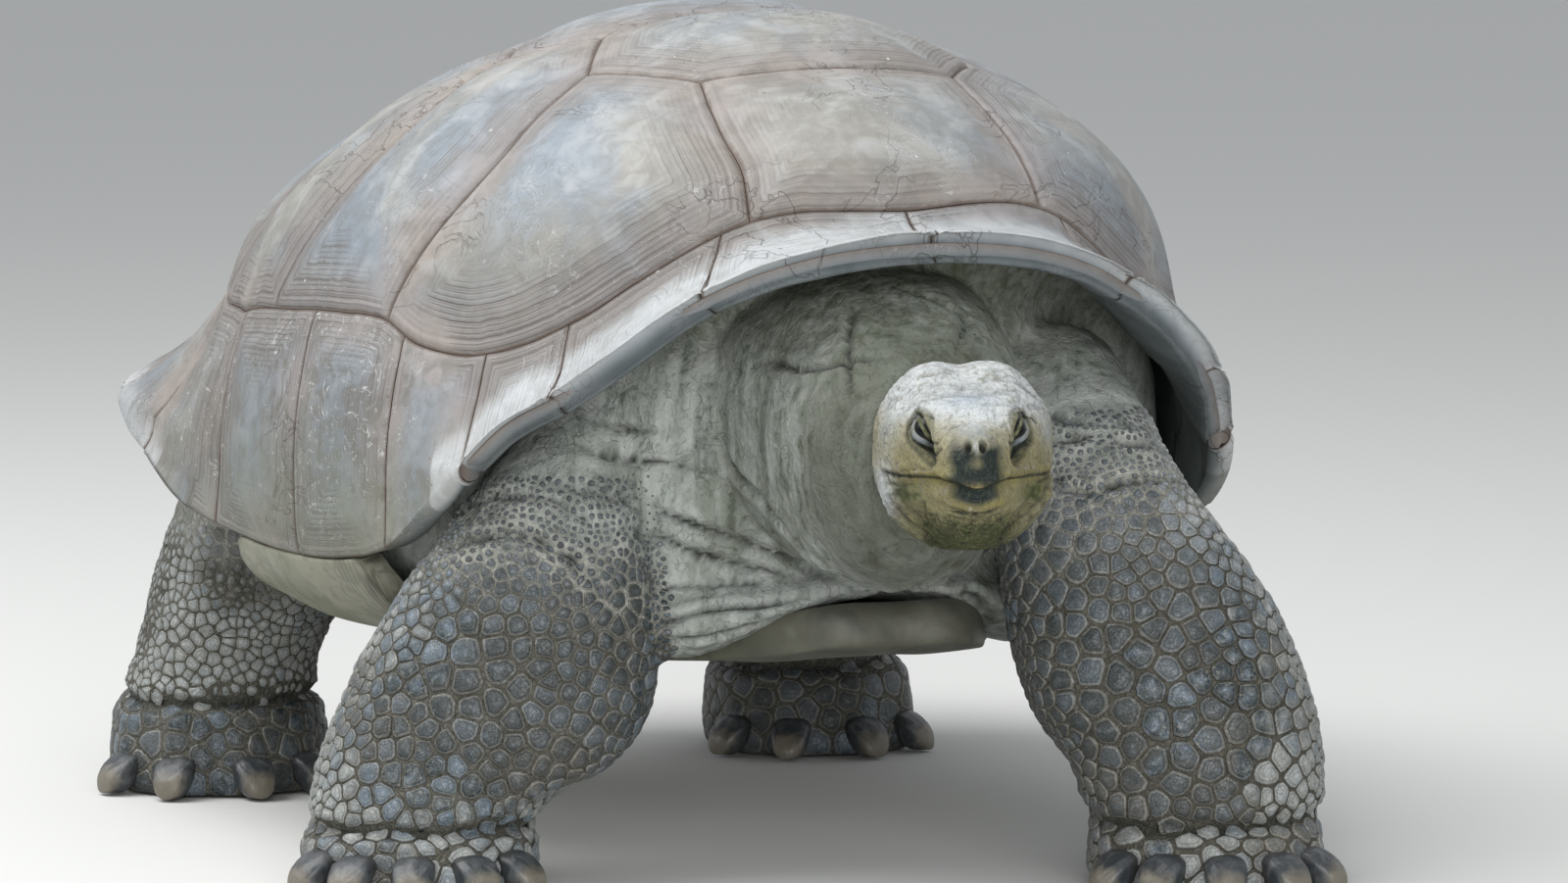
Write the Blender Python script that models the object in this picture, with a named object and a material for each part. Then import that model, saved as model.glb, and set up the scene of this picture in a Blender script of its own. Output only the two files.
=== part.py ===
"""Giant tortoise, life size, in mid-stride with its head turned to look at the viewer.

Frame: metres, +Z up, the floor at z = 0. The animal faces -Y and its left side is +X.

The shell is drawn on a flat map, whose polar angle is the direction in plan (0 is straight ahead,
positive to the left) and whose radius is the angle down from the top of the dome: pi/2 is the widest
ring and pi the middle of the belly. Limbs, neck, head and tail are lofts through a few stations.
"""

import math

import bmesh
import bpy
import numpy as np
from mathutils import Matrix, Vector

# ---- The shell's driving dimensions ----
CENTRE_X = 0.029  # the shell's centre in plan, so that the origin is under the middle of the animal
CENTRE_Y = 0.088
HALF_WIDTH = 0.372
FRONT_REACH = 0.450
REAR_REACH = 0.500
PLAN_EXPONENT = 2.05
TOP_SHIFT = 0.056  # the dome's upper part lies this far ahead of its foot
SHIFT_BAND = (42.0, 72.0)  # degrees down from the top over which it moves there
TOP_Z = 0.632
WIDEST_Z = 0.300
BELLY_Z = 0.150
BELLY_ROUNDING = 0.50
WALL = 0.020  # the carapace's thickness
PLASTRON_WALL = 0.022
GULAR_EXTRA = 0.014  # the lip at the front of the plastron is this much thicker
GULAR_SPREAD = 24.0  # degrees to each side over which it thins out

# The rim: direction in degrees, height of the rim, height of the seam above the marginal scutes,
# and how far the rim turns outwards and upwards from the dome.
RIM = (
    (0, 0.450, 0.500, 0.033, 0.037),
    (22, 0.420, 0.488, 0.044, 0.030),
    (37, 0.350, 0.418, 0.040, 0.020),
    (43, 0.328, 0.402, 0.030, 0.015),
    (49, 0.290, 0.392, 0.026, 0.010),
    (57, 0.250, 0.397, 0.012, 0.004),
    (64, 0.236, 0.413, 0.000, 0.000),
    (68, 0.232, 0.414, 0.000, 0.000),
    (92, 0.229, 0.410, 0.000, 0.000),
    (97, 0.230, 0.408, 0.000, 0.000),
    (106, 0.243, 0.405, 0.024, 0.003),
    (114, 0.264, 0.404, 0.043, 0.010),
    (128, 0.300, 0.408, 0.070, 0.019),
    (145, 0.310, 0.400, 0.064, 0.018),
    (163, 0.295, 0.385, 0.043, 0.010),
    (180, 0.275, 0.370, 0.025, 0.000),
)
MARGINAL_SEAMS = (0, 22.6, 37, 47, 59.5, 78.5, 102, 117, 131, 146, 158, 170)  # degrees, each side
COSTAL_SEAMS = (19.5, 63, 91.5, 114, 153)  # where the large scutes' seams meet the marginals
# Corners of the middle row of scutes, as (ahead of the shell's centre, to the side).
MIDDLE_CORNERS = (
    (0.242, 0.102),
    (0.156, 0.160),
    (0.080, 0.118),
    (0.000, 0.162),
    (-0.090, 0.116),
    (-0.165, 0.150),
    (-0.268, 0.096),
)
MAP_STEP = 8.5  # degrees between the points of a scute's edge along the rim
SCUTE_RINGS = ((1.0, -0.0025), (0.90, 0.0040), (0.52, 0.0100))  # share of the way out, and height
SCUTE_CROWN = 0.0115
MARGINAL_RINGS = ((1.0, -0.0025), (0.74, 0.0035))
MARGINAL_CROWN = 0.0045
BRIDGE_GAP = 0.6  # degrees of the map between the carapace and the plastron's wings
EDGE_ROUNDING = 0.35  # the rim's free edge stands out by this share of the wall
BRIDGE_MIDDLE = 82  # the rim is joined to the plastron round this direction
BRIDGE_REACH = 24
BRIDGE_FADE = (8, 30)  # degrees over which the plastron leaves it, and the rim comes free
# Rings of the shell's hollow, as shares of the rim's angle.
LINING_SHARES = (0.94, 0.86, 0.75, 0.62, 0.48, 0.34, 0.18)
SCALLOP = 0.006  # each marginal scute's free edge bulges by this much

# The plastron's outline: direction in degrees, and distance from the shell's centre in plan.
PLASTRON_EDGE = ((0, 0.374), (8, 0.376), (14, 0.348), (22, 0.296), (34, 0.264), (50, 0.272))
PLASTRON_REAR = ((118, 0.290), (130, 0.280), (145, 0.325), (160, 0.355), (172, 0.352), (180, 0.325))

# The skin between the shell's openings: direction, share of the reach it is drawn in by, and the
# angles down from the top where that begins and ends.
TRUNK_RECESS = (
    (0, 0.140, 48, 128),
    (25, 0.140, 50, 126),
    (40, 0.140, 58, 124),
    (50, 0.100, 68, 122),
    (60, 0.030, 82, 118),
    (72, 0.000, 90, 112),
    (98, 0.000, 90, 112),
    (110, 0.060, 88, 125),
    (125, 0.180, 76, 134),
    (150, 0.190, 74, 136),
    (180, 0.120, 78, 136),
)
RECESS_BLEND = (20.0, 18.0)  # degrees over which it deepens, and ends
TRUNK_RINGS = (14, 34, 48, 58, 68, 78, 88, 97, 110, 124, 138, 154, 170)  # degrees down from the top
TRUNK_STEP = 12.0  # degrees between the points of a ring
TRUNK_CLEAR = 0.009  # hidden space between the flesh and the shell's inside
CHEST_SAG = 0.040  # the loose skin beside the front of the plastron hangs this far down
CHEST_SAG_AT = (27.0, 16.0, 138.0, 22.0)  # direction and its spread, angle down and its spread

# ---- The limbs ----
# Stations from the foot up: left, ahead, height, half width, half depth behind, half depth in front.
FORELEG_LEFT = (
    (0.2070, 0.4700, 0.0520, 0.0870, 0.0700, 0.0770),
    (0.2050, 0.4640, 0.0880, 0.0940, 0.0780, 0.0820),
    (0.1870, 0.4470, 0.1450, 0.1020, 0.0880, 0.0830),
    (0.1690, 0.4250, 0.2000, 0.0950, 0.0890, 0.0760),
    (0.1560, 0.3920, 0.2560, 0.0780, 0.0790, 0.0670),
    (0.1520, 0.3390, 0.3060, 0.0740, 0.0760, 0.0640),
    (0.1520, 0.2600, 0.3440, 0.0860, 0.0800, 0.0700),
)
FORELEG_RIGHT = (
    (-0.3290, 0.2470, 0.0500, 0.0840, 0.0700, 0.0780),
    (-0.3130, 0.2480, 0.0800, 0.0940, 0.0760, 0.0800),
    (-0.2860, 0.2520, 0.1120, 0.1050, 0.0850, 0.0820),
    (-0.2600, 0.2560, 0.1560, 0.1070, 0.0880, 0.0820),
    (-0.2410, 0.2570, 0.2050, 0.0950, 0.0860, 0.0780),
    (-0.2200, 0.2510, 0.2560, 0.0740, 0.0740, 0.0700),
    (-0.1900, 0.2290, 0.3000, 0.0580, 0.0620, 0.0600),
    (-0.1650, 0.1890, 0.3300, 0.0500, 0.0560, 0.0560),
)
HINDLEG_RIGHT = (
    (-0.2930, -0.3110, 0.0760, 0.0780, 0.0760, 0.0800),
    (-0.2870, -0.3050, 0.1100, 0.0760, 0.0760, 0.0780),
    (-0.2730, -0.2930, 0.1600, 0.0790, 0.0820, 0.0800),
    (-0.2530, -0.2750, 0.2100, 0.0840, 0.0880, 0.0840),
    (-0.2250, -0.2510, 0.2600, 0.0800, 0.0840, 0.0800),
    (-0.1950, -0.2210, 0.3000, 0.0700, 0.0700, 0.0700),
)
HINDLEG_LEFT = (
    (0.2350, -0.3340, 0.0760, 0.0780, 0.0760, 0.0800),
    (0.2310, -0.3270, 0.1100, 0.0760, 0.0760, 0.0780),
    (0.2190, -0.3110, 0.1600, 0.0790, 0.0820, 0.0800),
    (0.2010, -0.2890, 0.2100, 0.0840, 0.0880, 0.0840),
    (0.1750, -0.2610, 0.2600, 0.0800, 0.0840, 0.0800),
    (0.1450, -0.2260, 0.3000, 0.0700, 0.0700, 0.0700),
)
LEVEL_SHARE = 0.6  # of a leg's length, from level at the ankle to square across it
# A foot below its ankle: share of the ankle's height, and of the foot's reach.
FOOT_STEPS = ((1.00, 0.90), (0.75, 0.965), (0.42, 1.00), (0.12, 0.985), (0.00, 0.92))
FOREFOOT_REACH = (0.0880, 0.074, 0.088)  # half width, behind, in front
HINDFOOT_REACH = (0.0890, 0.082, 0.094)
FOOT_FORWARD = 0.014  # the sole's centre lies this far ahead of the ankle's
FOOT_AROUND = 24
FOOT_INSET = 0.97  # the foot's top, of the ankle's size
ANKLE_BAND = 0.20  # share of the ankle's height over which the foot takes the ankle's outline
FORE_CLAWS = (-56, -28, 0, 28, 56)  # degrees from straight ahead of the foot
HIND_CLAWS = (-57, -20, 16, 52)
TOE_BULGE = 0.055
TOE_SPREAD = 11.0  # degrees to each side of a claw
TOES_END = 80.0  # degrees from straight ahead: the outline behind this is plain
CLAW_LENGTH = 0.036
CLAW_SUNK = 0.12  # of its length, within the foot's outline
CLAW_STEPS = ((-0.30, 0.026, 0.90), (0.22, 0.0215, 1.00), (0.52, 0.0115, 0.62))  # along, height, size
CLAW_CLEARANCE = 0.003  # under the nail
CLAW_HALF_WIDTH = 0.0160
CLAW_RISE, CLAW_DROP = 0.55, 1.5  # half heights above and below its middle, over the half width
CLAW_SIDES = 6
LEG_RINGS, LEG_AROUND = 9, 18

# Each leg's stations, the way its foot faces (radians from straight ahead), its reach and its claws.
LEGS = {
    "foreleg_left": (FORELEG_LEFT, -0.30, FOREFOOT_REACH, FORE_CLAWS),
    "foreleg_right": (FORELEG_RIGHT, -0.42, FOREFOOT_REACH, FORE_CLAWS),
    "hindleg_left": (HINDLEG_LEFT, -0.20, HINDFOOT_REACH, HIND_CLAWS),
    "hindleg_right": (HINDLEG_RIGHT, -0.35, HINDFOOT_REACH, HIND_CLAWS),
}

# ---- Neck, head and tail ----
NECK = (
    (0.000, 0.230, 0.350, 0.128, 0.118, 0.122),
    (-0.006, 0.320, 0.350, 0.122, 0.112, 0.118),
    (-0.016, 0.390, 0.345, 0.107, 0.102, 0.120),
    (-0.029, 0.450, 0.338, 0.090, 0.082, 0.116),
    (-0.036, 0.508, 0.333, 0.068, 0.058, 0.090),
)
HEAD_NOSE = (-0.0866, 0.7011, 0.337)  # left, ahead, up: the tip of the snout
HEAD_TURN = math.radians(-20.3)  # towards its right
HEAD_PITCH = math.radians(-2.0)
# Sections of the head: distance behind the snout, half width, height above and depth below the axis.
HEAD = (
    (0.000, 0.0120, 0.0100, 0.0120),
    (0.005, 0.0200, 0.0190, 0.0270),
    (0.018, 0.0270, 0.0270, 0.0400),
    (0.038, 0.0380, 0.0365, 0.0520),
    (0.062, 0.0500, 0.0470, 0.0610),
    (0.090, 0.0595, 0.0570, 0.0665),
    (0.122, 0.0640, 0.0620, 0.0680),
    (0.148, 0.0625, 0.0600, 0.0650),
    (0.172, 0.0575, 0.0530, 0.0600),
    (0.188, 0.0520, 0.0460, 0.0550),
)
EYE_BACK = 0.0564  # behind the snout
EYE_SIDE = 0.0290
EYE_UP = 0.0237
EYE_RADIUS = 0.0140
EYE_POLE = 0.35  # radians from an eyeball's pole to its first ring
EYE_RINGS, EYE_AROUND = 5, 10
MOUTH_DROP = 0.0070  # the mouth line below the head's axis
MOUTH_BACK = 0.098
# The block that parts the jaw from the head reaches past both.
JAW_BLOCK_SIDE, JAW_BLOCK_FRONT, JAW_BLOCK_LOW = 0.08, -0.03, -0.10
# The crown's two swellings: how high, how far behind the snout, and how long.
CROWN_RISE, CROWN_BACK, CROWN_SPREAD = 0.0035, 0.115, 0.035
HEAD_EXPONENT = 2.5
HEAD_RINGS = (0.0, 0.003, 0.010, 0.020, 0.032, 0.046, 0.062, 0.080, 0.102, 0.124, 0.146, 0.168, 0.188)
HEAD_AROUND = 18
NECK_RINGS, NECK_AROUND = 7, 20
TAIL_RINGS, TAIL_AROUND = 9, 12
TAIL = (
    (0.000, -0.330, 0.262, 0.052, 0.046, 0.046),
    (0.000, -0.400, 0.250, 0.047, 0.040, 0.042),
    (0.006, -0.452, 0.222, 0.038, 0.032, 0.034),
    (0.022, -0.478, 0.182, 0.028, 0.024, 0.025),
    (0.042, -0.480, 0.142, 0.018, 0.016, 0.016),
    (0.054, -0.472, 0.118, 0.009, 0.008, 0.008),
)
SECTION_EXPONENT = 2.25
GAP = 0.0004  # between neighbouring solids
SHARPEST = 3.0  # a corner moves at most this many gaps
WELD = 1e-5  # points closer than this are one
SMOOTH_BELOW = math.radians(50)  # edges that bend more stay sharp

MATERIALS = {  # colour, roughness
    "shell": ((0.330, 0.290, 0.255), 0.60),
    "belly_shell": ((0.300, 0.270, 0.200), 0.55),
    "skin": ((0.215, 0.195, 0.170), 0.75),
    "face": ((0.420, 0.375, 0.270), 0.70),
    "claw": ((0.060, 0.058, 0.056), 0.40),
    "eye": ((0.010, 0.009, 0.008), 0.08),
}


# ---- Curves ----
def smooth(at, keys, values):
    """A cubic curve through values at keys, read at each number of at. Values may have columns."""
    keys, values = np.asarray(keys, float), np.asarray(values, float)
    slopes = np.gradient(values, keys, axis=0)
    at = np.asarray(at, float)
    low = np.clip(np.searchsorted(keys, at, side="right") - 1, 0, len(keys) - 2)
    step = keys[low + 1] - keys[low]
    t = np.clip((at - keys[low]) / step, 0.0, 1.0)
    if values.ndim > 1:
        step, t = step[..., None], t[..., None]
    rise = t * t * (3 - 2 * t)
    return (
        values[low] * (1 - rise)
        + values[low + 1] * rise
        + slopes[low] * step * t * (1 - t) ** 2
        - slopes[low + 1] * step * t * t * (1 - t)
    )


def eased(share):
    """0 to 1 with a soft start and end, held at both beyond them."""
    share = np.clip(share, 0, 1)
    return share * share * (3 - 2 * share)


def bell(away, spread):
    """1 at the middle, falling off on both sides."""
    return np.exp(-((away / spread) ** 2))


def both_sides(table, direction):
    """A table keyed by degrees from 0 to 180, read at any direction in radians, mirrored left to right."""
    rows = np.array(table, float)
    before, after = rows[1].copy(), rows[-2].copy()
    before[0], after[0] = -before[0], 360 - after[0]
    rows = np.vstack([before, rows, after])
    angle = np.abs((np.degrees(direction) + 180) % 360 - 180)
    return smooth(angle, rows[:, 0], rows[:, 1:])


def squashed(angles, exponent=SECTION_EXPONENT):
    """Cosine and sine round a superellipse."""
    c, s = np.cos(angles), np.sin(angles)
    return np.sign(c) * np.abs(c) ** (2 / exponent), np.sign(s) * np.abs(s) ** (2 / exponent)


# ---- The shell's map ----
def dome_reach(direction):
    """How far the widest ring lies from the centre, in plan."""
    forward, side = np.cos(direction), np.sin(direction)
    along = np.where(forward > 0, FRONT_REACH, REAR_REACH)
    total = np.abs(side / HALF_WIDTH) ** PLAN_EXPONENT + np.abs(forward / along) ** PLAN_EXPONENT
    return total ** (-1 / PLAN_EXPONENT)


def top_shift(down):
    """How far forward a ring of the dome lies."""
    return TOP_SHIFT * eased((SHIFT_BAND[1] - np.degrees(down)) / (SHIFT_BAND[1] - SHIFT_BAND[0]))


def angle_at_height(height):
    """The angle down from the top at which the dome, or the belly under it, has this height."""
    upper = np.arccos(np.clip((height - WIDEST_Z) / (TOP_Z - WIDEST_Z), 0, 1))
    share = np.clip((WIDEST_Z - height) / (WIDEST_Z - BELLY_Z), 0, 1)
    return upper + np.arcsin(share ** (1 / BELLY_ROUNDING))


def rim_at(direction):
    """(rim angle, seam angle, outward turn, upward turn) of the carapace's edge in this direction."""
    rows = both_sides(RIM, direction)
    return (
        angle_at_height(rows[..., 0]),
        angle_at_height(rows[..., 1]),
        rows[..., 2],
        rows[..., 3],
    )


def shell_point(direction, down, inset=0.0, flared=False, drawn_in=0.0):
    """A point of the shell's surface, or of one that lies inset within it."""
    below = down > math.pi / 2
    power = np.where(below, BELLY_ROUNDING, 1.0)
    reach = (dome_reach(direction) - inset) * np.clip(np.sin(down), 0, 1) ** power
    rise = np.abs(np.cos(down)) ** power
    up = np.where(below, -(WIDEST_Z - BELLY_Z - inset), TOP_Z - WIDEST_Z - inset) * rise
    if flared:
        rim, seam, outward, upward = rim_at(direction)
        turn = np.clip((down - seam) / (rim - seam), 0, 1) ** 2
        reach = reach + (outward + scallop(direction)) * turn
        up = up + upward * turn
    reach = reach * (1 - drawn_in)
    ahead = reach * np.cos(direction) + top_shift(down)
    return np.stack(
        [CENTRE_X + reach * np.sin(direction), CENTRE_Y - ahead, WIDEST_Z + up], axis=-1
    )


def free_edge(direction):
    """1 where the rim hangs free, falling to 0 along the bridge."""
    angle = np.abs((np.degrees(direction) + 180) % 360 - 180)
    return np.clip((np.abs(angle - BRIDGE_MIDDLE) - BRIDGE_REACH) / BRIDGE_FADE[1], 0, 1)


def scallop(direction):
    """The free edge's bulge: highest in the middle of each marginal scute, nothing at the bridge."""
    seams = np.array(MARGINAL_SEAMS + (193,), float)
    angle = np.abs((np.degrees(direction) + 180) % 360 - 180)
    at = np.clip(np.searchsorted(seams, angle, side="right") - 1, 0, len(seams) - 2)
    share = (angle - seams[at]) / (seams[at + 1] - seams[at])
    return SCALLOP * free_edge(direction) * (1 - (2 * share - 1) ** 2)


def map_surface(points, height=0.0, flared=True):
    """Points of the map, as rows of (forward, left), lifted onto the shell and height above it."""
    points = np.asarray(points, float)

    def place(p):
        return shell_point(np.arctan2(p[..., 1], p[..., 0]), np.hypot(p[..., 0], p[..., 1]), 0, flared)

    step = 1e-4
    along = place(points + (step, 0)) - place(points - (step, 0))
    across = place(points + (0, step)) - place(points - (0, step))
    normal = np.cross(along, across)
    normal /= np.linalg.norm(normal, axis=-1, keepdims=True)
    return place(points) + normal * np.asarray(height)[..., None]


def on_map(direction, down):
    """The point of the map in a direction, at an angle down from the top."""
    return np.stack([down * np.cos(direction), down * np.sin(direction)], axis=-1)


def map_of_plan(ahead, side):
    """The point of the map above a point in plan, on the upper half of the dome."""
    down = 0.5
    for _ in range(12):
        local = ahead - float(top_shift(down))
        direction = math.atan2(side, local)
        down = 0.5 * (down + math.asin(math.hypot(local, side) / float(dome_reach(direction))))
    return on_map(direction, down)


def edge_directions():
    """Directions, in degrees, of every corner and in-between point along the seam and the rim."""
    keys = sorted(set(MARGINAL_SEAMS) | set(COSTAL_SEAMS) | {180})
    found = []
    for low, high in zip(keys, keys[1:], strict=False):
        count = math.ceil((high - low) / MAP_STEP)
        found += [low + (high - low) * k / count for k in range(count)]
    half = found + [180]
    return np.array([-a for a in half[-2:0:-1]] + half)


def stretch(low, high, level):
    """The part of the seam (level 0) or rim (level 1) between two directions in degrees."""
    every = edge_directions()
    every = np.concatenate([every - 360, every, every + 360])
    directions = np.radians(every[(every >= low - 1e-9) & (every <= high + 1e-9)])
    rim, seam, _, _ = rim_at(directions)
    return on_map(directions, rim if level else seam)


def straight(start, end):
    """Points between two corners of the map, both ends included."""
    count = max(1, round(float(np.linalg.norm(np.subtract(end, start))) / math.radians(MAP_STEP + 4)))
    return np.linspace(start, end, count + 1)


def loop_of(*runs):
    """Joins runs of points end to end into one loop, with no point twice."""
    return np.vstack([run[:-1] for run in runs])


def seam_corner(degrees, level=0):
    """The point of the seam, or of the rim, in one direction."""
    return stretch(degrees, degrees, level)[0]


def middle_loops():
    """The outlines of the five scutes along the back, front to rear."""
    left = [map_of_plan(a, s) for a, s in MIDDLE_CORNERS]
    right = [p * (1, -1) for p in left]
    front, rear = COSTAL_SEAMS[0], COSTAL_SEAMS[-1]
    loops = [
        loop_of(
            stretch(-front, front, 0),
            straight(seam_corner(front), left[0]),
            straight(left[0], right[0]),
            straight(right[0], seam_corner(-front)),
        )
    ]
    for i in (0, 2, 4):
        corners = [left[i], left[i + 1], left[i + 2], right[i + 2], right[i + 1], right[i], left[i]]
        loops.append(loop_of(*(straight(a, b) for a, b in zip(corners, corners[1:], strict=False))))
    loops.append(
        loop_of(
            straight(left[6], seam_corner(rear)),
            stretch(rear, 360 - rear, 0),
            straight(seam_corner(-rear), right[6]),
            straight(right[6], left[6]),
        )
    )
    return loops


def costal_loops():
    """The outlines of the four large scutes on the left side, front to rear."""
    inner = [map_of_plan(a, s) for a, s in MIDDLE_CORNERS]
    ends = COSTAL_SEAMS
    inward = [[inner[1], inner[0]], [inner[3], inner[2], inner[1]], [inner[5], inner[4], inner[3]]]
    inward.append([inner[6], inner[5]])
    loops = []
    for i, corners in enumerate(inward):
        low, high = ends[i], ends[i + 1]
        path = [seam_corner(high), *corners, seam_corner(low)]
        runs = [straight(a, b) for a, b in zip(path, path[1:], strict=False)]
        loops.append(loop_of(stretch(low, high, 0), *runs))
    return loops


def marginal_loops():
    """The outlines of the marginal scutes: eleven on the left side, then the single rear one."""
    seams = MARGINAL_SEAMS + (360 - MARGINAL_SEAMS[-1],)
    loops = []
    for low, high in zip(seams, seams[1:], strict=False):
        rim, seam = stretch(low, high, 1), stretch(low, high, 0)
        loops.append(loop_of(rim, straight(rim[-1], seam[-1]), seam[::-1], straight(seam[0], rim[0])))
    return loops


# ---- Meshes ----
def make_object(name, vertices, faces, material):
    """A closed mesh object of triangles that face outwards."""
    mesh = bpy.data.meshes.new(name)
    mesh.from_pydata([tuple(v) for v in vertices], [], [tuple(f) for f in faces])
    work = bmesh.new()
    work.from_mesh(mesh)
    bmesh.ops.remove_doubles(work, verts=work.verts, dist=WELD)
    bmesh.ops.triangulate(work, faces=work.faces)
    bmesh.ops.recalc_face_normals(work, faces=work.faces)
    if work.calc_volume(signed=True) < 0:
        bmesh.ops.reverse_faces(work, faces=work.faces)
    work.to_mesh(mesh)
    work.free()
    mesh.shade_smooth()
    mesh.set_sharp_from_angle(angle=SMOOTH_BELOW)
    obj = bpy.data.objects.new(name, mesh)
    bpy.context.scene.collection.objects.link(obj)
    obj.data.materials.append(material_named(material))
    return obj


def material_named(name):
    """The named finish, made the first time it is asked for."""
    found = bpy.data.materials.get(name)
    if found:
        return found
    colour, roughness = MATERIALS[name]
    made = bpy.data.materials.new(name)
    made.use_nodes = True
    shader = made.node_tree.nodes["Principled BSDF"]
    shader.inputs["Base Color"].default_value = (*colour, 1.0)
    shader.inputs["Roughness"].default_value = roughness
    return made


def ring_faces(rings, around, first=0):
    """Quads between rings of as many points, each ring closed on itself."""
    i, j = np.meshgrid(np.arange(rings - 1), np.arange(around), indexing="ij")
    a, b = i * around + j, i * around + (j + 1) % around
    return (np.stack([a, b, b + around, a + around], axis=-1).reshape(-1, 4) + first).tolist()


def fan_faces(ring, centre, reverse=False):
    """Triangles from a closed ring of points to its middle."""
    pairs = zip(ring, ring[1:] + ring[:1], strict=True)
    return [(b, a, centre) if reverse else (a, b, centre) for a, b in pairs]


def closed_rings(name, rings, material):
    """A closed body through rings of points, with a fan over each end."""
    rings = np.asarray(rings, float)
    count, around = rings.shape[:2]
    vertices = np.vstack([rings.reshape(-1, 3), rings[0].mean(0)[None], rings[-1].mean(0)[None]])
    faces = ring_faces(count, around)
    faces += fan_faces(list(range(around)), count * around, True)
    faces += fan_faces(list(range((count - 1) * around, count * around)), count * around + 1)
    return make_object(name, vertices, faces, material)


def scute_patch(outline, steps, crown_height):
    """Vertices and faces of one scute: rings that rise from its seam to its crown."""
    centre = outline.mean(axis=0)
    count = len(outline)
    rings = [
        map_surface(centre + (outline - centre) * share, np.full(count, height))
        for share, height in steps
    ]
    crown = map_surface(centre[None], np.array([crown_height]))
    vertices = np.vstack([*rings, crown])
    faces = ring_faces(len(rings), count)
    last = (len(rings) - 1) * count
    faces += fan_faces(list(range(last, last + count)), last + count)
    return vertices, faces


def build_carapace():
    """The dome with a raised patch for every scute, a rounded edge and the hollow inside."""
    one_side = costal_loops()
    marginals = marginal_loops()
    large = middle_loops() + one_side + [loop * (1, -1) for loop in one_side]
    marginals += [loop * (1, -1) for loop in marginals[:-1]]
    patches = [scute_patch(loop, SCUTE_RINGS, SCUTE_CROWN) for loop in large]
    patches += [scute_patch(loop, MARGINAL_RINGS, MARGINAL_CROWN) for loop in marginals]
    vertices, faces = [], []
    for points, quads in patches:
        faces += [tuple(np.add(q, len(vertices))) for q in quads]
        vertices += points.tolist()

    directions = np.radians(edge_directions())
    rim, _, _, _ = rim_at(directions)
    around = len(directions)
    at_rim = on_map(directions, rim)
    outer = map_surface(at_rim, np.full(around, SCUTE_RINGS[0][1]))
    inner = map_surface(at_rim, np.full(around, -WALL))
    past = map_surface(on_map(directions, rim + 0.01), np.full(around, -WALL / 2))
    onward = past - map_surface(at_rim, np.full(around, -WALL / 2))
    onward /= np.linalg.norm(onward, axis=-1, keepdims=True)
    edge = (outer + inner) / 2 + onward * (WALL * EDGE_ROUNDING * np.sign(free_edge(directions)))[:, None]
    under = [outer, edge, inner]
    for share in LINING_SHARES:
        under.append(map_surface(on_map(directions, rim * share), np.full(around, -WALL)))
    first = len(vertices)
    vertices += np.vstack(under).tolist()
    vertices += map_surface(np.zeros((1, 2)), np.array([-WALL])).tolist()
    faces += ring_faces(len(under), around, first)
    last = first + (len(under) - 1) * around
    faces += fan_faces(list(range(last, last + around)), last + around)
    return make_object("carapace", vertices, faces, "shell")


def plastron_edge(directions):
    """The angle down from the top at which the plastron ends, in each direction."""
    angle = np.abs(np.degrees(directions))
    rim, _, _, _ = rim_at(directions)
    front, rear = np.array(PLASTRON_EDGE), np.array(PLASTRON_REAR)
    reach = np.where(
        angle < 90, smooth(angle, front[:, 0], front[:, 1]), smooth(angle, rear[:, 0], rear[:, 1])
    )
    share = np.clip(reach / dome_reach(directions), 0, 1) ** (1 / BELLY_ROUNDING)
    lobe = math.pi - np.arcsin(share)
    bridge = rim + math.radians(BRIDGE_GAP)
    joined = eased((BRIDGE_REACH - np.abs(angle - BRIDGE_MIDDLE)) / BRIDGE_FADE[0])
    return np.maximum(bridge, lobe * (1 - joined) + bridge * joined)


def build_plastron():
    """The belly plate, whose two wings rise to the carapace."""
    directions = np.radians(edge_directions())
    edge = plastron_edge(directions)
    gular = bell(directions, math.radians(GULAR_SPREAD))
    wall = PLASTRON_WALL + GULAR_EXTRA * gular
    rings = []
    for share in (0.60, 0.0):
        rings.append(map_surface(on_map(directions, math.pi + (edge - math.pi) * (1 - share)), -wall, False))
    lip = map_surface(on_map(directions, edge), -wall / 2, False)
    outward = np.stack([np.sin(directions), -np.cos(directions), np.zeros_like(edge)], axis=-1)
    rings.append(lip + outward * (wall * EDGE_ROUNDING * gular)[:, None])
    for share in (0.0, 0.16, 0.60):
        rings.append(shell_point(directions, math.pi + (edge - math.pi) * (1 - share)))
    return closed_rings("plastron", rings, "belly_shell")


def trunk_rings(directions, rings):
    """The flesh inside the shell, drawn in where the neck and the limbs leave it."""
    share, start, end = both_sides(TRUNK_RECESS, directions).T
    gular = bell(directions, math.radians(GULAR_SPREAD))
    deepens, ends = np.radians(RECESS_BLEND)
    aside, spread, low, reach = np.radians(CHEST_SAG_AT)
    found = []
    for down in rings:
        rise = eased((down - np.radians(start)) / deepens)
        fall = eased((np.radians(end) - down) / ends)
        drawn = share * rise * fall
        wall = WALL if down < math.pi / 2 else PLASTRON_WALL + GULAR_EXTRA * gular
        inset = np.maximum(wall, WALL) + TRUNK_CLEAR
        ring = shell_point(directions, np.full_like(directions, down), inset, False, drawn)
        ring[:, 2] -= CHEST_SAG * bell(np.abs(directions) - aside, spread) * bell(down - low, reach)
        found.append(ring)
    return found


def build_trunk():
    """The flesh between the shell's openings."""
    directions = np.radians(np.arange(-180, 180, TRUNK_STEP))
    return closed_rings("trunk", trunk_rings(directions, np.radians(TRUNK_RINGS)), "skin")


def body_point(left, ahead, up):
    """A point given from the shell's centre, in the part's own frame."""
    return np.array([CENTRE_X + left, CENTRE_Y - ahead, up])


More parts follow.
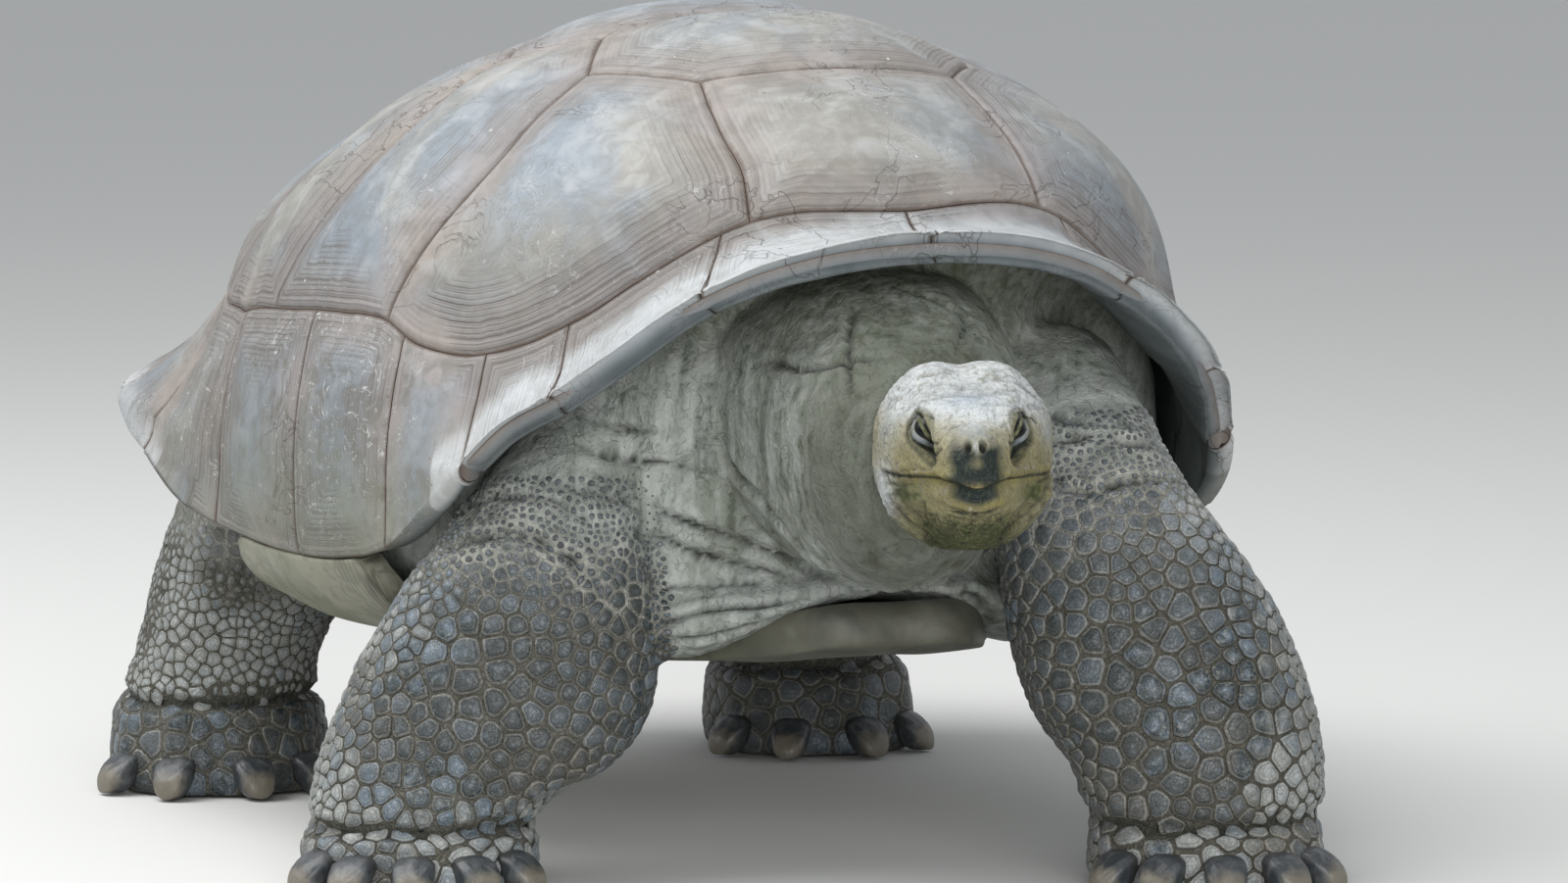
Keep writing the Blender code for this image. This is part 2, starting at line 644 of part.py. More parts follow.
def loft_rings(stations, side, along, around, level=0.0):
    """Rings through stations of (left, ahead, up, half width, upper or rear half, lower or front half).

    The first ring is level, and later ones turn square to the path over this share of its length.
    """
    rows = np.array(stations, float)
    centres = np.stack([CENTRE_X + rows[:, 0], CENTRE_Y - rows[:, 1], rows[:, 2]], axis=-1)
    distance = np.concatenate([[0], np.cumsum(np.linalg.norm(np.diff(centres, axis=0), axis=1))])
    at = np.linspace(0, distance[-1], along)
    path = smooth(at, distance, centres)
    sizes = smooth(at, distance, rows[:, 3:])
    tangent = np.gradient(path, axis=0)
    tangent /= np.linalg.norm(tangent, axis=1, keepdims=True)
    if level:
        turned = np.clip(np.linspace(0, 1 / level, along), 0, 1)[:, None]
        tangent = tangent * turned + np.array([0.0, 0.0, 1.0]) * (1 - turned)
        tangent /= np.linalg.norm(tangent, axis=1, keepdims=True)
    across = np.asarray(side, float) - (tangent @ np.asarray(side, float))[:, None] * tangent
    across /= np.linalg.norm(across, axis=1, keepdims=True)
    other = np.cross(tangent, across)
    c, s = squashed(np.linspace(0, 2 * math.pi, around, endpoint=False))
    depth = np.where(s[None] > 0, sizes[:, 1:2], sizes[:, 2:3]) * s[None]
    return (
        path[:, None]
        + across[:, None] * (sizes[:, 0:1] * c[None])[..., None]
        + other[:, None] * depth[..., None]
    )


def swollen(obj, by=GAP):
    """A hidden copy of an object, grown by a little, to cut its neighbours with."""
    copy = bpy.data.objects.new(obj.name + "_cutter", obj.data.copy())
    bpy.context.scene.collection.objects.link(copy)
    work = bmesh.new()
    work.from_mesh(copy.data)
    moves = [v.normal * by * min(v.calc_shell_factor(), SHARPEST) for v in work.verts]
    for vertex, move in zip(work.verts, moves, strict=True):
        vertex.co += move
    work.to_mesh(copy.data)
    work.free()
    copy.hide_render = True
    copy.display_type = "WIRE"
    return copy


def keep_largest(obj):
    """Leaves only the largest connected piece of a mesh."""
    work = bmesh.new()
    work.from_mesh(obj.data)
    bmesh.ops.remove_doubles(work, verts=work.verts, dist=WELD)
    bmesh.ops.triangulate(work, faces=work.faces)
    unseen, pieces = set(work.verts), []
    while unseen:
        piece, edge = set(), [unseen.pop()]
        while edge:
            vertex = edge.pop()
            piece.add(vertex)
            near = {e.other_vert(vertex) for e in vertex.link_edges} & unseen
            unseen -= near
            edge += near
        pieces.append(piece)
    pieces.sort(key=len)
    for piece in pieces[:-1]:
        bmesh.ops.delete(work, geom=list(piece), context="VERTS")
    work.to_mesh(obj.data)
    work.free()


def combine(obj, tool, operation):
    """Applies one Boolean with a tool object to obj."""
    modifier = obj.modifiers.new("combine", "BOOLEAN")
    modifier.operation = operation
    modifier.solver = "EXACT"
    modifier.object = tool
    bpy.context.view_layer.update()
    graph = bpy.context.evaluated_depsgraph_get()
    mesh = bpy.data.meshes.new_from_object(obj.evaluated_get(graph))
    obj.modifiers.remove(modifier)
    obj.data = mesh


def carve(obj, *neighbours):
    """Cuts each neighbour, and the gap round it, out of obj."""
    for neighbour in neighbours:
        tool = swollen(neighbour)
        combine(obj, tool, "DIFFERENCE")
        bpy.data.objects.remove(tool)
    keep_largest(obj)


def toe_lobes(angles, claws):
    """How the foot's outline swells at each toe. The angle runs from straight ahead."""
    swell = np.zeros_like(angles)
    for claw in claws:
        away = (angles - math.radians(claw) + math.pi) % (2 * math.pi) - math.pi
        swell += bell(away, math.radians(TOE_SPREAD))
    return 1 + TOE_BULGE * (swell - 0.5) * (np.abs(angles) < math.radians(TOES_END))


def foot_frame(station, facing):
    """The ankle's centre, the foot's left-to-right direction and its forward direction."""
    centre = body_point(*station[:3])
    forward = np.array([math.sin(facing), -math.cos(facing), 0.0])
    return centre, np.array([-forward[1], forward[0], 0.0]), forward


def build_foot(name, station, facing, reach, claws):
    """A broad foot from the ankle to its flat sole, with a lobe for each toe."""
    centre, side, forward = foot_frame(station, facing)
    angles = np.linspace(-math.pi, math.pi, FOOT_AROUND, endpoint=False)
    c, s = squashed(angles)
    rings = []
    for up, out in FOOT_STEPS:
        shift = forward * FOOT_FORWARD * (1 - up)
        mix = 1 - max(0.0, (up - 1 + ANKLE_BAND) / ANKLE_BAND)
        pairs = zip(station[3:], reach, strict=True)
        width, back, front = (a * FOOT_INSET * (1 - mix) + b * out * mix for a, b in pairs)
        lobes = 1 + (toe_lobes(angles, claws) - 1) * min(1.0, 1.6 * (1 - up))
        depth = np.where(c > 0, front, back) * c * lobes
        ring = centre + shift + side * (width * s * lobes)[:, None] + forward * depth[:, None]
        ring[:, 2] = (station[2] - GAP) * up
        rings.append(ring)
    return closed_rings(name, rings, "skin")


def build_claw(name, station, facing, reach, angle):
    """A blunt nail that grows out of the foot's edge and bends down to the floor."""
    centre, side, forward = foot_frame(station, facing)
    c, s = squashed(np.array([math.radians(angle)]))
    outline = forward * reach[2] * c[0] + side * reach[0] * s[0]
    root = centre + forward * FOOT_FORWARD + outline * (1 + TOE_BULGE * 0.5)
    out = outline / np.linalg.norm(outline)
    across = np.array([-out[1], out[0], 0.0])
    rings = []
    for along, up, size in CLAW_STEPS:
        middle = root + out * CLAW_LENGTH * (along - CLAW_SUNK)
        turns = np.linspace(0, 2 * math.pi, CLAW_SIDES, endpoint=False)
        half = CLAW_HALF_WIDTH * size
        drop = min(half * CLAW_DROP, up - CLAW_CLEARANCE)
        tall = np.where(np.sin(turns) > 0, half * CLAW_RISE, drop)
        ring = middle + across * (half * np.cos(turns))[:, None]
        ring[:, 2] = up + tall * np.sin(turns)
        rings.append(ring)
    return closed_rings(name, rings, "claw")


def build_limb(name, stations, turn, neighbours):
    """A leg from its ankle up into the body, cut off where the trunk begins."""
    side = (math.cos(turn), math.sin(turn), 0)
    rings = loft_rings(stations, side, LEG_RINGS, LEG_AROUND, LEVEL_SHARE)
    leg = closed_rings(name, rings, "skin")
    carve(leg, *neighbours)
    return leg


def head_matrix():
    """Places the head's own frame: x to its left, y behind the snout, z up."""
    nose = Vector(body_point(*HEAD_NOSE))
    turn = Matrix.Rotation(HEAD_TURN, 4, "Z") @ Matrix.Rotation(-HEAD_PITCH, 4, "X")
    return Matrix.Translation(nose) @ turn


def in_head(points):
    """Points given in the head's own frame, in the body's."""
    place = np.array(head_matrix())
    return np.asarray(points) @ place[:3, :3].T + place[:3, 3]


def head_section(back, around):
    """One ring of the head at a distance behind the snout."""
    rows = np.array(HEAD)
    width, above, below = smooth(back, rows[:, 0], rows[:, 1:])
    c, s = squashed(np.linspace(0, 2 * math.pi, around, endpoint=False), HEAD_EXPONENT)
    tall = np.where(s > 0, above, below) * s
    crown = CROWN_RISE * bell(back - CROWN_BACK, CROWN_SPREAD) * np.abs(c) * (s > 0)
    return np.stack([width * c, np.full(around, back), tall + crown], axis=-1)


def build_head(neck):
    """The head, its lower jaw and its eyes, set against each other with thin cuts."""
    rings = [in_head(head_section(back, HEAD_AROUND)) for back in HEAD_RINGS]
    head = closed_rings("head", rings, "face")
    jaw = closed_rings("lower_jaw", rings, "face")
    for obj, grow, operation in ((head, GAP, "DIFFERENCE"), (jaw, 0.0, "INTERSECT")):
        corners = [
            (x, y, z)
            for x in (-JAW_BLOCK_SIDE, JAW_BLOCK_SIDE)
            for y in (JAW_BLOCK_FRONT, MOUTH_BACK + grow)
            for z in (JAW_BLOCK_LOW, -MOUTH_DROP + grow)
        ]
        faces = [(0, 1, 3, 2), (4, 6, 7, 5), (0, 4, 5, 1), (2, 3, 7, 6), (0, 2, 6, 4), (1, 5, 7, 3)]
        block = make_object("jaw_block", in_head(corners), faces, "face")
        combine(obj, block, operation)
        bpy.data.objects.remove(block)
        keep_largest(obj)
    carve(neck, head, jaw)
    for name, sign in (("eye_left", 1), ("eye_right", -1)):
        centre = in_head([[sign * EYE_SIDE, EYE_BACK, EYE_UP]])[0]
        turns = np.linspace(EYE_POLE, math.pi - EYE_POLE, EYE_RINGS)[:, None]
        angles = np.linspace(0, 2 * math.pi, EYE_AROUND, endpoint=False)
        level = np.cos(turns) * np.ones_like(angles)
        ball = np.stack([np.sin(turns) * np.cos(angles), np.sin(turns) * np.sin(angles), level], axis=-1)
        eye = closed_rings(name, centre + EYE_RADIUS * ball, "eye")
        carve(head, eye)
    return head, jaw


def main():
    """Builds every sub-part, and cuts each clear of those it meets."""
    for obj in list(bpy.data.objects):
        bpy.data.objects.remove(obj)
    carapace = build_carapace()
    plastron = build_plastron()
    trunk = build_trunk()
    inside = (trunk, carapace, plastron)

    neck = closed_rings("neck", loft_rings(NECK, (1, 0, 0), NECK_RINGS, NECK_AROUND), "skin")
    build_head(neck)
    for name, (stations, turn, reach, claws) in LEGS.items():
        build_limb(name, stations, turn, inside)
        foot_name = name.replace("leg", "foot")
        foot = build_foot(foot_name, stations[0], turn, reach, claws)
        for number, angle in enumerate(claws, 1):
            claw = build_claw(f"{foot_name}_claw_{number}", stations[0], turn, reach, angle)
            carve(claw, foot)
    carve(neck, *inside)
    carve(neck, bpy.data.objects["foreleg_left"], bpy.data.objects["foreleg_right"])
    tail = closed_rings("tail", loft_rings(TAIL, (1, 0, 0), TAIL_RINGS, TAIL_AROUND), "skin")
    carve(tail, *inside)
    carve(trunk, plastron)


main()
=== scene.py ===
"""Giant tortoise, life size, in mid-stride: its looks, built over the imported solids.

Metres, +Z up, the floor at z = 0; the animal faces -Y and its left side is +X. The shell is drawn on
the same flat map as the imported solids: the polar angle is the direction in plan (0 straight ahead,
positive to the left) and the radius is the angle down from the top of the dome.
"""

import logging
import math
from dataclasses import dataclass, field
from enum import Enum
from itertools import product
from typing import Callable, Iterable, Sequence

import bpy
import numpy as np
from mathutils import Matrix, Vector
from mathutils.bvhtree import BVHTree


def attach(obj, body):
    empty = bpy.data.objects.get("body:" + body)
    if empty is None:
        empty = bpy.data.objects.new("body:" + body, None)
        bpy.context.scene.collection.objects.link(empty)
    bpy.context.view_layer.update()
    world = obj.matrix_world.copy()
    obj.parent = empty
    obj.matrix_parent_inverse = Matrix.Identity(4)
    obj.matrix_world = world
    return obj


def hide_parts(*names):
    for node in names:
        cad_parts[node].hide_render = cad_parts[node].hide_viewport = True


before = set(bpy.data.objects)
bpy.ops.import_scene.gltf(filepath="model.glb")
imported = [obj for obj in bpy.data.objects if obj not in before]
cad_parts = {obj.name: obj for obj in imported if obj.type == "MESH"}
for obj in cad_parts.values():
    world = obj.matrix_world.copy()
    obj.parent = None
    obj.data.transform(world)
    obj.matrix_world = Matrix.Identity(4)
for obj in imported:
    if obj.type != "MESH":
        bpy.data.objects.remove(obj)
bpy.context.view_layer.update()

LOG = logging.getLogger("tortoise")
TURN = 2 * math.pi
BODY_CENTRE = (0.029, 0.088)  # the shell's centre in plan
FLOOR_GAP = 0.0004  # how far the soles stay over the floor
PLASTRON_WALL = 0.022
GULAR_EXTRA = 0.014  # how much thicker the plastron is along its front lip
GULAR_SPREAD = math.radians(24)
Array = np.ndarray
Values = dict[str, np.ndarray]
Piece = bpy.types.Object
Material = bpy.types.Material
Colour = tuple[float, float, float]


class Slot(Enum):
    """The record's material slots."""

    SHELL = "shell"
    BELLY = "belly_shell"
    SKIN = "skin"
    CLAW = "claw"
    EYE = "eye"


# ---- Numbers over whole arrays ----
def smooth(at: Array, keys: Sequence[float], values: Array) -> Array:
    """A cubic curve through values at keys, read at each number of at.

    Args:
        at: where to read it.
        keys: rising positions.
        values: one value, or one row of values, for each key.

    Returns:
        The values there; past either end, the end's own.
    """
    keys, values, at = np.asarray(keys, float), np.asarray(values, float), np.asarray(at, float)
    slopes = np.gradient(values, keys, axis=0)
    low = np.clip(np.searchsorted(keys, at, side="right") - 1, 0, len(keys) - 2)
    step = keys[low + 1] - keys[low]
    t = np.clip((at - keys[low]) / step, 0.0, 1.0)
    if values.ndim > 1:
        step, t = step[..., None], t[..., None]
    rise = t * t * (3 - 2 * t)
    return (
        values[low] * (1 - rise) + values[low + 1] * rise + slopes[low] * step * t * (1 - t) ** 2
        - slopes[low + 1] * step * t * t * (1 - t)
    )


def ease(low: float, high: float, at: Array) -> Array:
    """0 at low and 1 at high, smooth between them; it falls where low is the greater."""
    t = np.clip((np.asarray(at, float) - low) / (high - low), 0.0, 1.0)
    return t * t * (3 - 2 * t)


def bell(distance: Array, width: float) -> Array:
    """1 at no distance, falling smoothly to nothing past about two widths."""
    return np.exp(-((np.asarray(distance, float) / width) ** 2))


def oval(across: Array, width: float, up: Array, height: float) -> Array:
    """A bell over an oval: across and up are distances from its middle."""
    return bell(np.hypot(across / width, up / height), 1.0)


def stacked(*parts: Array | float) -> Array:
    """The parts side by side along a new last axis."""
    return np.stack(np.broadcast_arrays(*parts), axis=-1)


def way_along(points: Array) -> Array:
    """How far each row of points lies along the rows from the first one."""
    steps = np.linalg.norm(np.diff(points, axis=0), axis=-1)
    return np.concatenate([np.zeros((1, *steps.shape[1:])), np.cumsum(steps, axis=0)])


def crowded(at: Array, crowd: Array, count: int, closed: bool) -> Array:
    """So many values of at, which lie closer together where the crowd is greater."""
    total = np.concatenate([[0], np.cumsum((crowd[1:] + crowd[:-1]) / 2)])
    return np.interp(np.linspace(0, total[-1], count, endpoint=not closed), total, at)


def unit(vectors: Array) -> Array:
    """The vectors at length 1."""
    return vectors / np.maximum(np.linalg.norm(vectors, axis=-1, keepdims=True), 1e-12)


def noise(points: Array, size: float, seed: int = 0) -> Array:
    """Smooth noise from -1 to 1: random values at the corners of a grid, blended inside each cell.

    Args:
        points: where to read it.
        size: the side of a cell.
        seed: which pattern.

    Returns:
        A value for each point.
    """
    at = np.asarray(points, float) / size + seed * 7.31
    cell = np.floor(at).astype(np.int64)
    t = at - cell
    t = t * t * (3 - 2 * t)
    total = np.zeros(at.shape[:-1])
    for corner in product((0, 1), repeat=3):
        c = cell + np.array(corner)
        mixed = (c[..., 0] * 73856093) ^ (c[..., 1] * 19349663) ^ (c[..., 2] * 83492791) ^ (seed * 911)
        mixed = ((mixed ^ (mixed >> 13)) * 1274126177) & 0xFFFFFFFF
        value = ((mixed ^ (mixed >> 16)) & 0xFFFF) / 32767.5 - 1
        total += value * np.prod(np.where(np.array(corner) == 1, t, 1 - t), axis=-1)
    return total


def rough(points: Array, size: float, octaves: int = 3, seed: int = 0) -> Array:
    """Noise with finer and weaker noise laid over it."""
    total, weight = 0.0, 1.0
    for k in range(octaves):
        total = total + weight * noise(points, size / 2**k, seed + 13 * k)
        weight *= 0.5
    return total / (2 - 0.5 ** (octaves - 1))


def ridged(points: Array, size: float, octaves: int = 2, seed: int = 0) -> Array:
    """From 0 on broad lobes to 1 along thin winding lines."""
    total, weight = 0.0, 1.0
    for k in range(octaves):
        total = total + weight * (1 - np.abs(noise(points, size / 2**k, seed + 29 * k))) ** 6
        weight *= 0.6
    return total / (1.6 if octaves > 1 else 1.0)


def nearest(points: Array, others: Array, block: int = 2000) -> tuple[Array, Array]:
    """Which of the others lies nearest to each point, and how far away; block limits the memory used.

    Args:
        points: the points to start from.
        others: the points to look for.
        block: how many are done at a time.

    Returns:
        The index of the nearest one and its distance, for each point.
    """
    found, away = np.empty(len(points), int), np.empty(len(points))
    for start in range(0, len(points), block):
        some = points[start : start + block]
        apart = (others**2).sum(1)[None] - 2 * some @ others.T
        found[start : start + block] = apart.argmin(1)
        away[start : start + block] = apart.min(1) + (some**2).sum(1)
    return found, np.sqrt(np.maximum(away, 0))


def from_front(direction: Array) -> Array:
    """How far a direction is turned from straight ahead, in degrees, to either side."""
    return np.abs((np.degrees(direction) + 180) % 360 - 180)


def superellipse(angles: Array, exponent: float) -> tuple[Array, Array]:
    """Cosine and sine round a squarish oval."""
    c, s = np.cos(angles), np.sin(angles)
    return np.sign(c) * np.abs(c) ** (2 / exponent), np.sign(s) * np.abs(s) ** (2 / exponent)


# ---- Meshes from arrays ----
def grid_faces(rings: int, around: int, first: int = 0) -> Array:
    """Four-sided faces between rings of as many points, each ring closed on itself."""
    i, j = np.meshgrid(np.arange(rings - 1), np.arange(around), indexing="ij")
    a, b = i * around + j, i * around + (j + 1) % around
    return stacked(a, b, b + around, a + around).reshape(-1, 4) + first


def fan_faces(ring: Array, centre: int) -> Array:
    """Three-sided faces from a closed ring to one point."""
    return stacked(ring, np.roll(ring, -1), centre)


def spread(values: dict[str, Array | float], rings: Array) -> Values:
    """Each value as one number for every point of the rings; it may be given ring by ring, or once."""
    shape = rings.shape[:2]
    each = {name: np.asarray(value, float) for name, value in values.items()}
    each = {name: v[:, None] if v.ndim == 1 else v for name, v in each.items()}
    return {name: np.broadcast_to(v, shape).ravel() for name, v in each.items()}


@dataclass
class Surface:
    """A closed surface as arrays, with a value at each point for every named attribute."""

    points: Array
    quads: Array = field(default_factory=lambda: np.zeros((0, 4), int))
    tris: Array = field(default_factory=lambda: np.zeros((0, 3), int))
    values: Values = field(default_factory=dict)
    layout: Array | None = None

    @classmethod
    def tube(cls, rings: Array, values: Values | None = None) -> "Surface":
        """A surface through rings of points, each end closed with a fan to its middle.

        Args:
            rings: rows of points, each row a ring.
            values: what each ring or point carries.

        Returns:
            The closed surface.
        """
        count, around = rings.shape[:2]
        points = np.vstack([rings.reshape(-1, 3), rings[0].mean(0)[None], rings[-1].mean(0)[None]])
        last = count * around
        tris = np.vstack(
            [
                fan_faces(np.arange(around), last)[:, [1, 0, 2]],
                fan_faces(np.arange(last - around, last), last + 1)
            ]
        )
        carried = {
            name: np.concatenate([v, [v[:around].mean()], [v[-around:].mean()]])
            for name, v in spread(values or {}, rings).items()
        }
        return cls(points, grid_faces(count, around), tris, carried).outward()

    @classmethod
    def joined(cls, parts: Iterable["Surface"]) -> "Surface":
        """Several surfaces as one; an attribute that one lacks is 0 there.

        Args:
            parts: the surfaces.

        Returns:
            One surface that holds them all.
        """
        parts = list(parts)
        starts = np.cumsum([0] + [len(p.points) for p in parts[:-1]])
        names = sorted({name for p in parts for name in p.values})
        values = {
            n: np.concatenate([p.values.get(n, np.zeros(len(p.points))) for p in parts]) for n in names
        }
        layout = None
        if all(p.layout is not None for p in parts):
            layout = np.vstack(
                [p.layout[: len(p.quads) * 4] for p in parts]
                + [p.layout[len(p.quads) * 4 :] for p in parts]
            )
        return cls(
            np.vstack([p.points for p in parts]), np.vstack([p.quads + s for p, s in zip(parts, starts)]),
            np.vstack([p.tris + s for p, s in zip(parts, starts)]), values, layout
        )

    def triangles(self) -> Array:
        """Every face as triangles."""
        return np.vstack([self.quads[:, [0, 1, 2]], self.quads[:, [0, 2, 3]], self.tris])

    def outward(self) -> "Surface":
        """The surface with its faces turned outwards, judged by the sign of its volume."""
        a, b, c = (self.points[self.triangles()[:, k]] for k in range(3))
        if np.einsum("ij,ij->i", a, np.cross(b, c)).sum() < 0:
            self.quads, self.tris = self.quads[:, ::-1], self.tris[:, ::-1]
        return self

    def corners(self) -> Array:
        """The point index of each face corner: four-sided faces first."""
        return np.concatenate([self.quads.ravel(), self.tris.ravel()])

    def _crossed(self) -> tuple[Array, Array]:
        """The triangles, and for each a vector along its normal of twice its area."""
        tri = self.triangles()
        a, b, c = (self.points[tri[:, k]] for k in range(3))
        return tri, np.cross(b - a, c - a)

    def normals(self) -> Array:
        """The outward direction at each point: the sum over its faces, at length 1."""
        tri, face = self._crossed()
        total = np.zeros_like(self.points)
        for k, axis in product(range(3), range(3)):
            total[:, axis] += np.bincount(tri[:, k], face[:, axis], len(self.points))
        return unit(total)

    def areas(self) -> Array:
        """The share of the surface round each point."""
        tri, face = self._crossed()
        share = np.linalg.norm(face, axis=1) / 6
        return sum(np.bincount(tri[:, k], share, len(self.points)) for k in range(3))

    def tree(self) -> BVHTree:
        """A tree to find the nearest spot of the surface with."""
        return BVHTree.FromPolygons(self.points.tolist(), self.triangles().tolist())

    def smoothed(self, weight: Array, times: int) -> None:
        """Moves each point towards the mean of its neighbours by its weight, several times over.

        Args:
            weight: how far each point goes, from 0 to 1.
            times: how often.
        """
        quads, tris = self.quads, self.tris
        pairs = [
            quads[:, [k, (k + 1) % 4]] for k in range(4)
        ] + [tris[:, [k, (k + 1) % 3]] for k in range(3)]
        pairs = np.vstack(pairs)
        start, end = np.concatenate([pairs, pairs[:, ::-1]]).T
        count = np.maximum(np.bincount(start, minlength=len(self.points)), 1)
        for _ in range(times):
            mean = np.stack(
                [np.bincount(start, self.points[end, a], len(self.points)) / count for a in range(3)],
                axis=1
            )
            self.points = self.points + (mean - self.points) * weight[:, None]

    def object(self, name: str, material: Material) -> Piece:
        """Makes the mesh object.

        Args:
            name: its name.
            material: its finish.

        Returns:
            The object, at the origin, unturned and unscaled.
        """
        mesh = bpy.data.meshes.new(name)
        corners = self.corners()
        starts = np.concatenate(
            [np.arange(len(self.quads)) * 4, len(self.quads) * 4 + np.arange(len(self.tris)) * 3]
        )
        mesh.vertices.add(len(self.points))
        mesh.vertices.foreach_set("co", self.points.astype(np.float32).ravel())
        mesh.loops.add(len(corners))
        mesh.loops.foreach_set("vertex_index", corners.astype(np.int32))
        mesh.polygons.add(len(starts))
        mesh.polygons.foreach_set("loop_start", starts.astype(np.int32))
        mesh.update(calc_edges=True)
        for key, value in self.values.items():
            layer = mesh.attributes.new(key, "FLOAT", "POINT")
            layer.data.foreach_set("value", value.astype(np.float32))
        if self.layout is not None:
            uv = mesh.uv_layers.new(name="OFBake")
            uv.data.foreach_set("uv", self.layout.astype(np.float32).ravel())
        mesh.shade_smooth()
        made = bpy.data.objects.new(name, mesh)
        bpy.context.scene.collection.objects.link(made)
        made.data.materials.append(material)
        return made


def placed(piece: Piece, slot: Slot, *nodes: str) -> Piece:
    """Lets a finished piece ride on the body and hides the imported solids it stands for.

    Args:
        piece: the finished piece.
        slot: the slot its finish fills; not used.
        *nodes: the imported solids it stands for.

    Returns:
        The same piece.
    """
    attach(piece, "root")
    if nodes:
        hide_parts(*nodes)
    LOG.info("%s: %d faces", piece.name, len(piece.data.polygons))
    return piece


# ---- Shader maths ----
class Term:
    """One output of a shader node, which sums and products with others make new nodes from."""

    def __init__(self, graph: "Graph", socket: bpy.types.NodeSocket) -> None:
        """Wraps a socket."""
        self.graph, self.socket = graph, socket

    @property
    def is_number(self) -> bool:
        """True for a plain number, false for a colour or a vector."""
        return self.socket.type == "VALUE"

    def _with(self, operation: str, first: "Term | float", second: "Term | float") -> "Term":
        """A Math node, or a Vector Math node where either side has three parts."""
        sides = [s for s in (first, second) if isinstance(s, Term)]
        if all(s.is_number for s in sides):
            return self.graph.maths(operation, first, second)
        return self.graph.vector_maths(operation, first, second)

    def step(self, low: float, high: float) -> "Term":
        """0 below low, 1 above high, smooth between; the other way round where low is the higher.

        Args:
            low: one end of the rise.
            high: the other end.

        Returns:
            The stepped value.
        """
        out = (0.0, 1.0) if low < high else (1.0, 0.0)
        return self.graph.node(
            "ShaderNodeMapRange", {"interpolation_type": "SMOOTHSTEP"},
            {
                "Value": self, "From Min": min(low, high), "From Max": max(low, high), "To Min": out[0],
                "To Max": out[1]
            },
            "Result"
        )

    def sine(self) -> "Term":
        """The sine, brought into 0 to 1."""
        return self.graph.maths("SINE", self, 0.0) * 0.5 + 0.5

    def size(self) -> "Term":
        """The number without its sign."""
        return self.graph.maths("ABSOLUTE", self, 0.0)

    def limited(self) -> "Term":
        """The number held between 0 and 1."""
        return self.graph.maths("MAXIMUM", self.graph.maths("MINIMUM", self, 1.0), 0.0)


def _sides(operation: str, swapped: bool) -> Callable[["Term", "Term | float"], "Term"]:
    """The method behind one of Python's operators, or behind the same one with its sides swapped."""

    def apply(self: "Term", other: "Term | float") -> "Term":
        """Joins both sides in one node."""
        return self._with(operation, other, self) if swapped else self._with(operation, self, other)

    return apply


for mark, operation in (("add", "ADD"), ("sub", "SUBTRACT"), ("mul", "MULTIPLY"), ("truediv", "DIVIDE")):
    setattr(Term, f"__{mark}__", _sides(operation, False))
    setattr(Term, f"__r{mark}__", _sides(operation, True))


